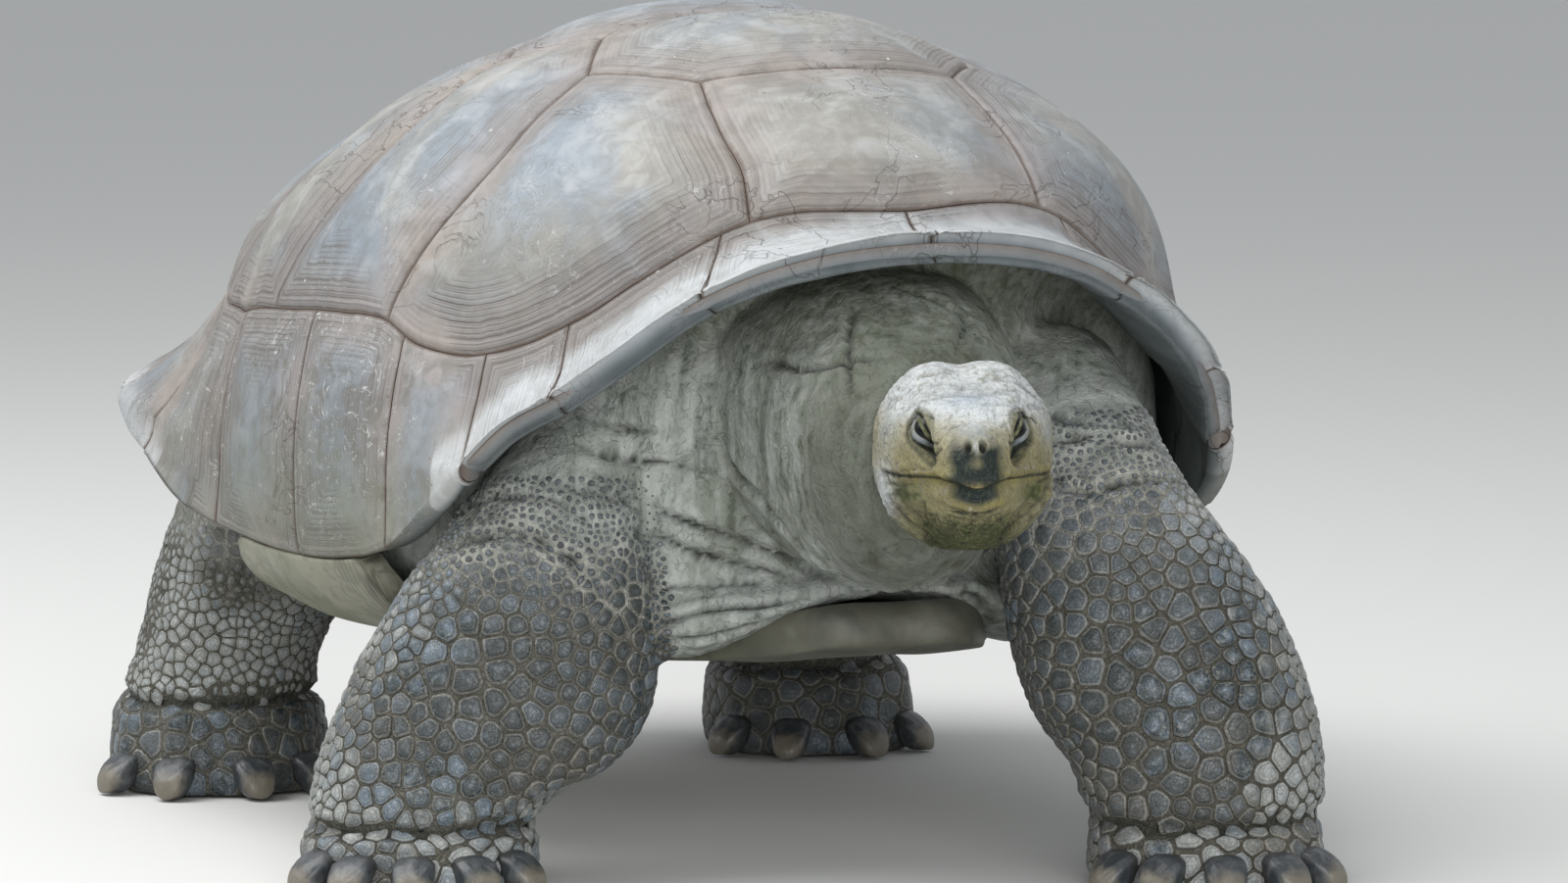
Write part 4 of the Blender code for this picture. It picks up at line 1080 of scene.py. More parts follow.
    def point(self, direction: Array, down: Array, inset: float = 0.0, flared: bool = False) -> Array:
        """A point of the shell's surface, or of one that lies inset within it.

        Args:
            direction: from straight ahead, towards its left, in radians.
            down: the angle from straight up, in radians.
            inset: how far inside the surface.
            flared: with the rim's flare.

        Returns:
            The point.
        """
        below = down > math.pi / 2
        power = np.where(below, self.belly_rounding, 1.0)
        reach = (self.reach(direction) - inset) * np.clip(np.sin(down), 0, 1) ** power
        rise = np.abs(np.cos(down)) ** power
        up = (
            np.where(below, -(self.widest_z - self.belly_z - inset), self.top_z - self.widest_z - inset)
            * rise
        )
        if flared:
            rim, seam, outward, upward = self.rim_at(direction)
            turn = np.clip((down - seam) / (rim - seam), 0, 1) ** 2
            reach = reach + (outward + self.bulge(direction)) * turn
            up = up + upward * turn
        ahead = reach * np.cos(direction) + self.shift(down)
        left = self.centre[0] + reach * np.sin(direction)
        return stacked(left, self.centre[1] - ahead, self.widest_z + up)

    def lift(self, spots: Array, height: Array | float = 0.0, flared: bool = True) -> Array:
        """Spots of the map on the shell, and height above it along its normal.

        Args:
            spots: spots of the map.
            height: how far above the shell.
            flared: with the rim's flare.

        Returns:
            The points.
        """

        def place(p: Array) -> Array:
            """The shell's point over each spot."""
            return self.point(np.arctan2(p[..., 1], p[..., 0]), np.hypot(p[..., 0], p[..., 1]), 0, flared)

        nudge = 1e-4
        along = place(spots + (nudge, 0)) - place(spots - (nudge, 0))
        across = place(spots + (0, nudge)) - place(spots - (0, nudge))
        return place(spots) + unit(np.cross(along, across)) * np.asarray(height)[..., None]

    def wavering(self, spots: Array) -> Array:
        """Spots of the map moved a little, each with its neighbours, so that no seam is drawn straight."""
        flat = np.concatenate([spots, np.zeros(spots.shape[:-1] + (1,))], axis=-1)
        away = stacked(rough(flat, 0.3, 3, 3), rough(flat, 0.3, 3, 71))
        rim, seam, _, _ = self.rim_at(np.arctan2(spots[..., 1], spots[..., 0]))
        held = ease(0.95, 0.4, (np.linalg.norm(spots, axis=-1) - seam) / (rim - seam))
        return spots + away * (self.waver * held)[..., None]

    def sheet(self, direction: Array, down: Array, height: Array | float) -> Array:
        """Points at directions and angles down, moved as the scutes are, at a height above the shell."""
        return self.lift(self.wavering(self.on_map(direction, down)), height)

    def on_map(self, direction: Array, down: Array) -> Array:
        """The spot of the map at a direction and an angle down from the top."""
        return stacked(down * np.cos(direction), down * np.sin(direction))

    def of_plan(self, ahead: float, side: float) -> Array:
        """The spot of the map above a point in plan, on the upper half of the dome.

        Args:
            ahead: ahead of the map's middle.
            side: to the left of it.

        Returns:
            The spot.
        """
        down = 0.5
        for _ in range(12):
            local = ahead - float(self.shift(down))
            direction = math.atan2(side, local)
            down = 0.5 * (down + math.asin(math.hypot(local, side) / float(self.reach(direction))))
        return self.on_map(direction, down)

    def stretch(self, low: float, high: float) -> Array:
        """The seam above the marginal scutes, between two directions in degrees, ends included.

        Args:
            low: where it starts.
            high: where it ends.

        Returns:
            Its spots.
        """
        keys = [low] + [k for k in self._turning() if low + 1e-6 < k < high - 1e-6] + [high]
        runs = []
        for a, b in zip(keys, keys[1:]):
            count = max(2, math.ceil(math.radians(b - a) * 1.4 / self.step))
            runs.append(np.radians(np.linspace(a, b, count, endpoint=False)))
        directions = np.concatenate(runs + [np.radians([high])])
        return self.on_map(directions, self.rim_at(directions)[1])

    def _turning(self) -> list[float]:
        """Every direction, in degrees, where a scute's corner may lie."""
        half = sorted(set(self.marginal_seams) | set(self.costal_seams))
        return sorted({s * k + 360 * t for k in half for s in (1, -1) for t in (-1, 0, 1)})

    def straight(self, start: Array, end: Array) -> Array:
        """Spots between two corners of the map, both ends included."""
        count = max(3, round(float(np.linalg.norm(np.subtract(end, start))) / self.step))
        return np.linspace(start, end, count + 1)

    def loop(self, *runs: Array) -> Array:
        """Joins runs of spots end to end into one loop, with no spot twice."""
        return np.vstack([run[:-1] for run in runs])

    def _through(self, corners: list[Array]) -> list[Array]:
        """Straight runs from each corner to the next."""
        return [self.straight(a, b) for a, b in zip(corners, corners[1:])]

    def middle_loops(self) -> list[Array]:
        """The outlines of the five scutes along the back, front to rear.

        Returns:
            One loop of spots for each scute.
        """
        left = [self.of_plan(a, s) for a, s in self.middle_corners]
        right = [p * (1, -1) for p in left]
        front, rear = self.costal_seams[0], self.costal_seams[-1]
        ahead, behind = self.stretch(-front, front), self.stretch(rear, 360 - rear)
        loops = [self.loop(ahead, *self._through([ahead[-1], left[0], right[0], ahead[0]]))]
        for i in (0, 2, 4):
            corners = [left[i], left[i + 1], left[i + 2], right[i + 2], right[i + 1], right[i], left[i]]
            loops.append(self.loop(*self._through(corners)))
        last = (
            self._through([left[6], behind[0]]) + [behind] + self._through([behind[-1], right[6], left[6]])
        )
        return [*loops, self.loop(*last)]

    def costal_loops(self) -> list[Array]:
        """The outlines of the four large scutes on the left side, front to rear.

        Returns:
            One loop of spots for each scute.
        """
        inner = [self.of_plan(a, s) for a, s in self.middle_corners]
        ends = self.costal_seams
        inward = [inner[1::-1], inner[3:0:-1], inner[5:2:-1], inner[6:4:-1]]
        loops = []
        for i, corners in enumerate(inward):
            edge = self.stretch(ends[i], ends[i + 1])
            loops.append(self.loop(edge, *self._through([edge[-1], *corners, edge[0]])))
        return loops


@dataclass
class Carapace:
    """The dome: a dark base with a raised scute of horn over each of its fields.

    A large scute is a set of rings that shrink from its outline towards its middle, so its growth
    ridges run parallel to its edges. A marginal scute is a strip that turns round the free rim.
    """

    form: ShellForm
    finish: Material
    base_finish: Material
    crown: float = 0.0125
    marginal_crown: float = 0.0042
    seam_depth: float = 0.0013
    seam_width: float = 0.0036
    gap: float = 0.00035
    ridge: float = 0.0005
    ridge_spacing: float = 0.0048
    rings: int = 64
    back_depth: float = 0.0085
    base_depth: float = 0.006
    wrap: float = 0.055

    def relief(self, spots: Array, from_seam: Array, seed: int) -> Array:
        """Height over the crown's own curve: the seam's groove, growth ridges, dents and wear.

        Args:
            spots: points of the surface.
            from_seam: each one's distance from the scute's edge.
            seed: for the noise.

        Returns:
            The height at each point.
        """
        groove = -self.seam_depth * bell(from_seam, self.seam_width * 0.55)
        lip = 0.0009 * bell(from_seam - self.seam_width * 1.6, self.seam_width * 0.7)
        bent = from_seam + 0.0016 * noise(spots, 0.06, seed)
        phase = bent / self.ridge_spacing
        saw = 1 - np.abs(2 * (phase - np.floor(phase)) - 1) ** 1.5
        worn = ease(-0.45, 0.35, noise(spots, 0.11, seed + 5))
        kept = ease(0.07, 0.022, from_seam) * worn * ease(0.002, 0.006, from_seam)
        dents = 0.0026 * rough(spots, 0.1, 3, seed + 9) * ease(0.0, 0.03, from_seam)
        dents = dents - 0.0007 * ridged(spots, 0.075, 2, seed + 3) * ease(0.004, 0.02, from_seam)
        return groove + lip + self.ridge * saw * kept + dents

    def edge_distance(self, points: Array, outline: Array) -> Array:
        """How far each ring's points lie from the scute's edge."""
        steps = np.linspace(0, 1, 4, endpoint=False)[None, :, None]
        dense = outline[:, None] * (1 - steps) + np.roll(outline, -1, axis=0)[:, None] * steps
        dense = dense.reshape(-1, 3)
        flat = points.reshape(-1, 3)
        return np.maximum(nearest(flat, dense)[1] - 0.0004, 0).reshape(points.shape[:-1])

    def large_scute(self, name: str, loop: Array, seed: int) -> Piece:
        """Makes one scute of the dome.

        Args:
            name: the piece's name.
            loop: its outline on the map.
            seed: for its own noise.

        Returns:
            The piece.
        """
        form, centre = self.form, loop.mean(axis=0)
        shares = 1 - (np.arange(self.rings) / self.rings) ** 1.35
        spots = form.wavering(centre + (loop - centre)[None] * shares[:, None, None])
        flat = form.lift(spots)
        rim = flat[0]
        from_seam = self.edge_distance(flat, rim)
        crown = self.crown * np.clip(1 - shares**2.2, 0, 1)[:, None] ** 1.12
        height = crown + self.relief(flat, from_seam, seed)
        top = form.lift(spots, height)
        inward = unit(flat[2] - rim) * self.gap
        top[0] += inward
        back_shares = np.array([1.0, 0.9, 0.6, 0.25])
        back = form.lift(
            form.wavering(centre + (loop - centre)[None] * back_shares[:, None, None]), -self.back_depth
        )
        back[0] += inward
        rings = np.concatenate([top[::-1], back])
        lowness = ease(0.7, 1.25, np.linalg.norm(spots, axis=-1))
        nothing = np.zeros(back.shape[:2])
        values = {
            "from_seam": np.concatenate([from_seam[::-1], nothing]),
            "ring": np.concatenate([(0.45 + 0.55 * lowness)[::-1], nothing]),
            "tint": np.random.default_rng(seed).uniform(0, 1), "free": 1.0
        }
        return Surface.tube(rings, values).object(name, self.finish)

    def marginal_scute(self, name: str, low: float, high: float, seed: int) -> Piece:
        """Makes one scute of the rim, from its upper seam round the free edge to its underside.

        Args:
            name: the piece's name.
            low: its first side seam, as a direction in degrees.
            high: its other one.
            seed: for its own noise.

        Returns:
            The piece.
        """
        form, half = self.form, self.form.wall / 2
        across = np.linspace(0, 1, 53)
        across = across - 0.5 * np.sin(TURN * across) / TURN
        direction = np.radians(low + (high - low) * across)
        rim, seam, _, _ = form.rim_at(direction)
        down_share = np.linspace(0, 1, 40)
        down = seam + (rim - seam) * down_share[:, None]
        spots = form.wavering(form.on_map(direction[None], down))
        flat = form.lift(spots)
        from_top, sideways = way_along(flat), way_along(flat.mean(0))
        from_side = np.minimum(sideways, sideways[-1] - sideways)[None]
        from_seam = np.minimum(from_top, from_side)
        bound = np.clip((1 - form.free_edge(direction)) * 1.6 - 0.6, 0, 1)
        to_edge = from_top[-1] - from_top
        from_seam = np.minimum(from_seam, to_edge + 1 - bound)
        crown = self.marginal_crown * ease(0, 0.034, from_seam) * (0.25 + 0.75 * ease(0, 0.03, to_edge))
        height = crown + self.relief(flat, from_seam, seed)
        loose = np.minimum(form.free_edge(direction) * 4, 1)
        top = form.lift(spots, height)
        past, middle = (form.sheet(direction, rim + further, -half) for further in (0.01, 0))
        onward = unit(past - middle)
        normal = unit(form.lift(spots[-1], 0.01) - flat[-1])
        turn = np.linspace(0, math.pi, 14)[1:-1, None, None]
        over = height[-1] + half
        swell = (form.wall * 0.5 * loose)[None, :, None]
        edge = middle + normal * np.where(np.cos(turn) > 0, over[None, :, None], half) * np.cos(turn)
        edge = edge + onward * swell * np.sin(turn)
        reach = np.linspace(0, 1, 8)[:, None]
        span = np.minimum(self.wrap / 0.36, (rim - seam) * 0.7)
        under_spots = form.wavering(form.on_map(direction[None], rim - span * reach))
        ribs = 0.0008 * noise(form.lift(under_spots), 0.03, seed)
        under = form.lift(under_spots, -form.wall - 0.0012 * ease(0, 0.2, reach) + ribs)
        inner_down = np.concatenate(
            [(rim - span)[None], seam + (rim - span - seam) * np.linspace(0.8, 0, 5)[:, None]]
        )
        inner = form.sheet(direction[None], inner_down, -self.back_depth)
        rings = np.concatenate([top, edge, under, inner])
        pull = np.zeros(len(across))
        pull[0], pull[-1] = 1, -1
        sidewards = unit(np.gradient(rings, axis=1))
        rings = rings + sidewards * (pull * self.gap)[None, :, None]
        rings[0] += unit(rings[2] - rings[0]) * self.gap
        after = len(rings) - len(top)
        # Past the free edge: how far from it, and how much of the underside, row by row.
        past_edge = np.concatenate(
            [np.linspace(0, 0.008, len(edge)), np.linspace(0.02, 0.07, len(under)), [0.1] * len(inner)]
        )
        turned = np.concatenate(
            [ease(0.3, 0.85, np.linspace(0, 1, len(edge))), [1.0] * (after - len(edge))]
        )
        values = {
            "from_seam": np.concatenate([from_seam, np.repeat(np.minimum(from_side, 0.05), after, axis=0)]),
            "ring": np.concatenate([np.full(len(top), 0.8), np.zeros(after)]),
            "tint": np.random.default_rng(seed).uniform(0, 1),
            "free": np.concatenate([to_edge, past_edge[:, None] + 0 * direction]) + (1 - loose),
            "scratched": bell(np.abs(np.degrees(direction)) - 74, 34)[None],
            # below: the underside round the free rim, which the finish paints dark as shade
            "below": np.concatenate([np.zeros(len(top)), turned])
        }
        return self._strip(rings, values).object(name, self.finish)

    def _strip(self, rings: Array, values: Values) -> Surface:
        """Closes a strip whose rows run round a bent slab: the rows join end to end, the sides are capped.

        Args:
            rings: the rows, each from side to side.
            values: what each row or point carries.

        Returns:
            The closed strip.
        """
        rows, columns = rings.shape[:2]
        i, j = np.meshgrid(np.arange(rows), np.arange(columns - 1), indexing="ij")
        a, b = i * columns + j, ((i + 1) % rows) * columns + j
        quads = [stacked(a, b, b + 1, a + 1).reshape(-1, 4)]
        half = rows // 2
        k = np.arange(half - 1)
        for column, turned in ((0, False), (columns - 1, True)):
            cap = stacked(k, rows - 1 - k, rows - 2 - k, k + 1) * columns + column
            quads.append(cap if turned else cap[:, ::-1])
        made = Surface(rings.reshape(-1, 3), np.vstack(quads), values=spread(values, rings))
        if rows % 2:
            last = np.array([[half - 1, half, half + 1]]) * columns
            made.tris = np.vstack([last, (last + columns - 1)[:, ::-1]])
        return made.outward()

    def base(self) -> Piece:
        """The dome's bone under the horn: it shows only in the seams and inside the rim.

        Returns:
            The base.
        """
        form = self.form
        direction = np.linspace(0, TURN, 288, endpoint=False)
        rim = form.rim_at(direction)[0]
        inset = math.radians(1.4)
        outer_share = np.linspace(0.02, 1, 60)[:, None]
        outer = form.sheet(direction[None], (rim - inset) * outer_share, -self.base_depth)
        inner_share = np.linspace(1, 0.05, 40)[:, None]
        inner = form.sheet(direction[None], (rim - inset) * inner_share, -form.wall)
        rings = np.concatenate([outer, inner])
        inside = np.arange(len(rings)) >= len(outer)
        # below marks the inside of the dome, which the finish paints dark as shade
        values = {"below": inside * 1.0, "from_seam": inside * 0.05, "free": 1.0}
        return Surface.tube(rings, values).object("shell_bone", self.base_finish)

    def build(self) -> list[Piece]:
        """Makes the base and every scute, and returns them.

        Returns:
            The pieces.
        """
        form = self.form
        made = [placed(self.base(), Slot.SHELL, "carapace")]
        sides = form.costal_loops()
        large = [(f"vertebral_{i}", loop) for i, loop in enumerate(form.middle_loops(), 1)]
        large += [(f"costal_left_{i}", loop) for i, loop in enumerate(sides, 1)]
        large += [(f"costal_right_{i}", loop * (1, -1)) for i, loop in enumerate(sides, 1)]
        for seed, (name, loop) in enumerate(large, 11):
            made.append(placed(self.large_scute(name, loop, seed), Slot.SHELL))
        seams = form.marginal_seams
        spans = [(f"marginal_left_{i}", a, b) for i, (a, b) in enumerate(zip(seams, seams[1:]), 1)]
        spans += [(f"marginal_right_{i}", -b, -a) for i, (a, b) in enumerate(zip(seams, seams[1:]), 1)]
        spans.append(("supracaudal", seams[-1], 360 - seams[-1]))
        for seed, (name, low, high) in enumerate(spans, 41):
            made.append(placed(self.marginal_scute(name, low, high, seed), Slot.SHELL))
        return made


@dataclass
class Plastron:
    """The belly plate: one closed form with a groove along each seam between its scutes."""

    form: ShellForm
    finish: Material
    bridge_gap: float = math.radians(0.6)
    edge_front: tuple = ((0, 0.374), (8, 0.376), (14, 0.348), (22, 0.296), (34, 0.264), (50, 0.272))
    edge_rear: tuple = ((118, 0.29), (130, 0.28), (145, 0.325), (160, 0.355), (172, 0.352), (180, 0.325))
    # Seams across the belly: ahead of the centre at the middle line, and how far each sweeps forward.
    cross_seams: tuple = (
        (0.318, -0.45), (0.205, 0.1), (0.135, 0.06), (-0.07, 0.05), (-0.215, -0.12), (-0.29, -0.3)
    )
    groove: float = 0.0016
    around: int = 320

    def edge(self, direction: Array) -> Array:
        """The angle down from the top at which the plate ends, in each direction.

        Args:
            direction: from straight ahead, towards its left, in radians.

        Returns:
            The angle, in radians.
        """
        form, angle = self.form, from_front(direction)
        rim = form.rim_at(direction)[0]
        front, rear = np.array(self.edge_front), np.array(self.edge_rear)
        reach = np.where(
            angle < 90, smooth(angle, front[:, 0], front[:, 1]), smooth(angle, rear[:, 0], rear[:, 1])
        )
        share = np.clip(reach / form.reach(direction), 0, 1) ** (1 / form.belly_rounding)
        lobe = math.pi - np.arcsin(share)
        bridge = rim + self.bridge_gap
        joined = ease(form.bridge_reach, form.bridge_reach - 8, np.abs(angle - form.bridge_middle))
        return np.maximum(bridge, lobe * (1 - joined) + bridge * joined)

    def from_seams(self, points: Array) -> Array:
        """Each point's distance from the nearest seam, as seen from below.

        Args:
            points: points of the plate.

        Returns:
            The distances.
        """
        left = points[..., 0] - self.form.centre[0]
        ahead = self.form.centre[1] - points[..., 1]
        waver = 0.006 * rough(points, 0.07, 2, 5)
        found = np.abs(left + waver)
        for at, sweep in self.cross_seams:
            found = np.minimum(found, np.abs(ahead - at - sweep * np.abs(left) + waver))
        return found

    def build(self) -> Piece:
        """Makes the plate.

        Returns:
            The plate.
        """
        form = self.form
        direction = np.linspace(0, TURN, self.around, endpoint=False)
        edge = self.edge(direction)

        def downs(share: float) -> Array:
            """Angles down, from the plate's edge (0) to its middle (1)."""
            return math.pi + (edge - math.pi) * (1 - share)

        turned = np.minimum(direction, TURN - direction)
        gular = bell(turned, GULAR_SPREAD)
        wall = PLASTRON_WALL + GULAR_EXTRA * gular
        shares = (0.9, 0.6, 0.3, 0.12, 0.04, 0.0)
        inner = [form.lift(form.on_map(direction, downs(s)), -wall, False) for s in shares]
        outward = stacked(np.sin(direction), -np.cos(direction), 0.0)
        hold = (wall * 0.35 * gular)[:, None]
        first, last = inner[-1], form.point(direction, downs(0.0))
        rim = []
        for turn in np.linspace(0, math.pi, 11)[1:-1]:
            middle, half = (first + last) / 2, (first - last) / 2
            rim.append(middle + half * math.cos(turn) + outward * hold * math.sin(turn))
        outer = [form.point(direction, downs(s)) for s in np.linspace(0, 0.97, 54) ** 1.15]
        rings = np.stack([*inner, *rim, *outer])
        flat = Surface.tube(rings)
        from_seam = self.from_seams(flat.points)
        outside = np.zeros(rings.shape[:2])
        outside[len(inner) + len(rim) // 2 :] = 1
        outside = np.concatenate([outside.reshape(-1), [0, 1]])
        rise = -self.groove * bell(from_seam, 0.0035) + 0.001 * rough(flat.points, 0.07, 3, 8)
        rise = rise + 0.003 * noise(flat.points, 0.06, 18)
        flat.points = flat.points + flat.normals() * (rise * outside)[:, None]
        lipped = bell(turned, math.radians(44))
        lip = np.concatenate([np.repeat(lipped[None], len(rings), 0).reshape(-1), [0, 0]])
        reach = np.linalg.norm(flat.points[:, :2] - np.array(form.centre), axis=1)
        flat.values = {"from_seam": from_seam, "gular": lip * ease(0.26, 0.34, reach)}
        return placed(flat.object("plastron_plate", self.finish), Slot.BELLY, "plastron")


# ---- The flesh's form ----
def body(points: Sequence | Array) -> Array:
    """Points given as (left, ahead, up) of the shell's centre, in the row frame."""
    p = np.asarray(points, float)
    return stacked(BODY_CENTRE[0] + p[..., 0], BODY_CENTRE[1] - p[..., 1], p[..., 2])


def distance_to_line(points: Array, line: Array) -> Array:
    """Each point's distance from a line of straight runs.

    Args:
        points: where to measure.
        line: the line's corners, in order.

    Returns:
        The distances.
    """
    best = np.full(len(points), np.inf)
    for a, b in zip(line, line[1:]):
        run = b - a
        share = np.clip((points - a) @ run / (run @ run), 0, 1)
        best = np.minimum(best, np.linalg.norm(points - a - share[:, None] * run, axis=1))
    return best


@dataclass(frozen=True)
class Fold:
    """A crease along a line, in millimetres, with a soft ridge on both sides; it fades at its ends."""

    line: tuple
    depth: float
    width: float
    ridge: float = 0.35

    def relief(self, points: Array, tree: BVHTree) -> tuple[Array, Array]:
        """(height, darkness) at each point: a bell-shaped groove beside two bell-shaped ridges, the darkness
        a painted shade along the groove.

        Args:
            points: points of the skin.
            tree: the skin, on which the fold is laid.

        Returns:
            The height and the painted shade.
        """
        line, deep, width = body(np.array(self.line) / 1000), self.depth / 1000, self.width / 1000
        dense = smooth(np.linspace(0, len(line) - 1, 6 * len(line)), np.arange(len(line)), line)
        dense = np.array([tree.find_nearest(Vector(spot))[0] for spot in dense])
        away = distance_to_line(points, dense)
        ends = np.minimum(
            np.linalg.norm(points - dense[0], axis=1), np.linalg.norm(points - dense[-1], axis=1)
        )
        kept = 0.25 + 0.75 * ease(0.0, 0.035, ends)
        away = away + 0.0012 * noise(points, 0.02, 3)
        height = self.ridge * deep * bell(away - 2.4 * width, 1.3 * width) - deep * bell(away, width)
        return height * kept, bell(away, width * 0.62) * kept


@dataclass
class Limb:
    """A leg, the neck or the tail: ovals of changing size swept along a smooth path through stations.

    A station is (left, ahead, up, half width, half depth behind or above, half depth in front or below),
    in millimetres.
    """

    name: str
    stations: tuple
    facing: float = 0.0
    level: float = 0.0
    inset: float = 0.0015
    exponent: float = 2.25
    creases: tuple = ()  # share of the way up, depth, width
    sole: bool = False

    @property
    def rows(self) -> Array:
        """The stations in metres."""
        return np.array(self.stations, float) / 1000

    def frames(self, along: int) -> tuple[Array, Array, Array, Array, Array]:
        """(path, direction across, other direction across, half sizes, distance) at even steps.

        Args:
            along: how many steps.

        Returns:
            The five arrays, a row for each step.
        """
        rows = self.rows
        centres = body(rows[:, :3])
        distance = way_along(centres)
        at = np.linspace(0, distance[-1], along)
        path, sizes = smooth(at, distance, centres), smooth(at, distance, rows[:, 3:])
        tangent = unit(np.gradient(path, axis=0))
        if self.level:
            turned = np.clip(np.linspace(0, 1 / self.level, along), 0, 1)[:, None]
            tangent = unit(tangent * turned + np.array([0.0, 0.0, 1.0]) * (1 - turned))
        side = np.array([math.cos(self.facing), math.sin(self.facing), 0.0])
        across = unit(side - (tangent @ side)[:, None] * tangent)
        return path, across, np.cross(tangent, across), sizes - self.inset, at

    def sweep(self, along: int = 60, around: int = 96) -> Surface:
        """The limb's plain surface.

        Args:
            along: how many rings.
            around: how many points in a ring.

        Returns:
            The surface.
        """
        path, across, other, sizes, _ = self.frames(along)
        c, s = superellipse(np.linspace(0, TURN, around, endpoint=False), self.exponent)
        depth = np.where(s[None] > 0, sizes[:, 1:2], sizes[:, 2:3]) * s[None]
        rings = (
            path[:, None] + across[:, None] * (sizes[:, 0:1] * c[None])[..., None]
            + other[:, None] * depth[..., None]
        )
        return Surface.tube(rings)

    def locate(self, points: Array) -> tuple[Array, Array, Array, Array]:
        """Where points lie along and round the limb.

        Args:
            points: points near its surface.

        Returns:
            (distance along the path, angle round it, distance from it, that over the local half size);
            the angle is 0 towards its left, and rises through its rear or its top.
        """
        path, across, other, sizes, at = self.frames(48)
        if self.sole:
            drop = path[0].copy()
            drop[2] = 0.0
            steps = np.linspace(0, 1, 8, endpoint=False)[:, None]
            low = drop + (path[0] - drop) * steps
            path = np.vstack([low, path])
            across, other = (np.vstack([np.repeat(v[:1], 8, 0), v]) for v in (across, other))
            sizes = np.vstack([np.repeat(sizes[:1], 8, 0), sizes])
            at = np.concatenate([steps[:, 0] * path[8, 2], at + path[8, 2]])
        near = np.empty(len(points), int)
        for start in range(0, len(points), 20000):
            block = points[start : start + 20000]
            near[start : start + 20000] = np.argmin(((block[:, None] - path[None]) ** 2).sum(-1), axis=1)
        away = points - path[near]
        x, y = (away * across[near]).sum(1), (away * other[near]).sum(1)
        tangent = np.cross(across[near], other[near])
        along = at[near] + (away * tangent).sum(1)
        size = np.hypot(x / sizes[near, 0], y / np.where(y > 0, sizes[near, 1], sizes[near, 2]))
        return along, np.arctan2(y, x), np.hypot(x, y), size

    def length(self) -> float:
        """The whole path's length, from the floor for a leg."""
        at = self.frames(48)[4][-1]
        return at + (self.rows[0, 2] if self.sole else 0.0)


@dataclass
class Foot:
    """A broad foot under an ankle: level ovals from the ankle to the flat sole, with a lobe for each toe."""

    limb: Limb
    reach: tuple[float, float, float]
    claws: tuple[float, ...]
    forward: float = 0.014
    bulge: float = 0.062
    steps: tuple = ((1.0, 0.9), (0.75, 0.965), (0.42, 1.0), (0.12, 0.985), (0.03, 0.955), (0.0, 0.9))

    def frame(self) -> tuple[Array, Array, Array]:
        """(ankle, direction to its left, direction forward)."""
        centre = body(self.limb.rows[0, :3])
        forward = np.array([math.sin(self.limb.facing), -math.cos(self.limb.facing), 0.0])
        return centre, np.array([-forward[1], forward[0], 0.0]), forward

    def lobes(self, angles: Array) -> Array:
        """How the outline swells at each toe: a sum of bells round the claws' directions."""
        swell = np.zeros_like(angles)
        for claw in self.claws:
            away = (angles - math.radians(claw) + math.pi) % TURN - math.pi
            swell += bell(away, math.radians(11))
        return 1 + self.bulge * (swell - 0.5) * ease(math.radians(86), math.radians(72), np.abs(angles))

    def sweep(self, around: int = 160, levels: int = 28) -> Surface:
        """The foot's plain surface.

        Args:
            around: how many points in a ring.
            levels: how many rings.

        Returns:
            The surface.
        """
        centre, side, forward = self.frame()
        station = self.limb.rows[0]
        angles = np.linspace(-math.pi, math.pi, around, endpoint=False)
        c, s = superellipse(angles, 2.25)
        table = np.array(self.steps)[::-1]
        rings = []
        for up in 1 - np.linspace(0, 1, levels) ** 0.8:
            out = float(smooth(np.array(up), table[:, 0], table[:, 1]))
            mix = 1 - max(0.0, (up - 0.8) / 0.2)
            width, back, front = (
                a * 0.97 * (1 - mix) + b * out * mix for a, b in zip(station[3:], self.reach)
            )
            lobes = 1 + (self.lobes(angles) - 1) * min(1.0, 1.6 * (1 - up))
            depth = (np.where(c > 0, front, back) - 0.0012) * c * lobes
            ring = (
                centre + forward * self.forward * (1 - up) + side * ((width - 0.0012) * s * lobes)[:, None]
            )
            ring = ring + forward * depth[:, None]
            ring[:, 2] = station[2] * up + FLOOR_GAP
            rings.append(ring)
        return Surface.tube(np.array(rings))


@dataclass
class Trunk:
    """The flesh between the shell's openings: the dome's own form, drawn in where limbs leave it."""

    form: ShellForm
    clear: float = 0.009
    sag: float = 0.04
    sag_at: tuple[float, float, float, float] = (27.0, 16.0, 138.0, 22.0)
    recess: tuple = (
        (0, 0.14, 48, 128), (25, 0.14, 50, 126), (40, 0.14, 58, 124), (50, 0.1, 68, 122),
        (60, 0.03, 82, 118), (72, 0.0, 90, 112), (98, 0.0, 90, 112), (110, 0.06, 88, 125),
        (125, 0.18, 76, 134), (150, 0.19, 74, 136), (180, 0.12, 78, 136)
    )

    def sweep(self) -> Surface:
        """The trunk's plain surface.

        Returns:
            The surface.
        """
        form = self.form
        direction = np.linspace(-math.pi, math.pi, 144, endpoint=False)
        share, start, end = form.mirrored(self.recess, direction).T
        gular = bell(direction, GULAR_SPREAD)
        rings = []
        for down in np.radians(np.linspace(14, 170, 66)):
            drawn = share * ease(0, math.radians(20), down - np.radians(start))
            drawn = drawn * ease(0, math.radians(18), np.radians(end) - down)
            wall = form.wall if down < math.pi / 2 else PLASTRON_WALL + GULAR_EXTRA * gular
            inset = np.maximum(wall, form.wall) + self.clear
            ring = form.point(direction, np.full_like(direction, down), inset)
            middle = np.array([form.centre[0], form.centre[1] - float(form.shift(np.array(down)))])
            ring[:, :2] = middle + (ring[:, :2] - middle) * (1 - drawn)[:, None]
            aside, spread, low, reach = np.radians(self.sag_at)
            ring[:, 2] -= (
                self.sag * bell(np.abs(direction) - aside, spread)
                * math.exp(-(((down - low) / reach) ** 2))
            )
            rings.append(ring)
        return Surface.tube(np.array(rings))


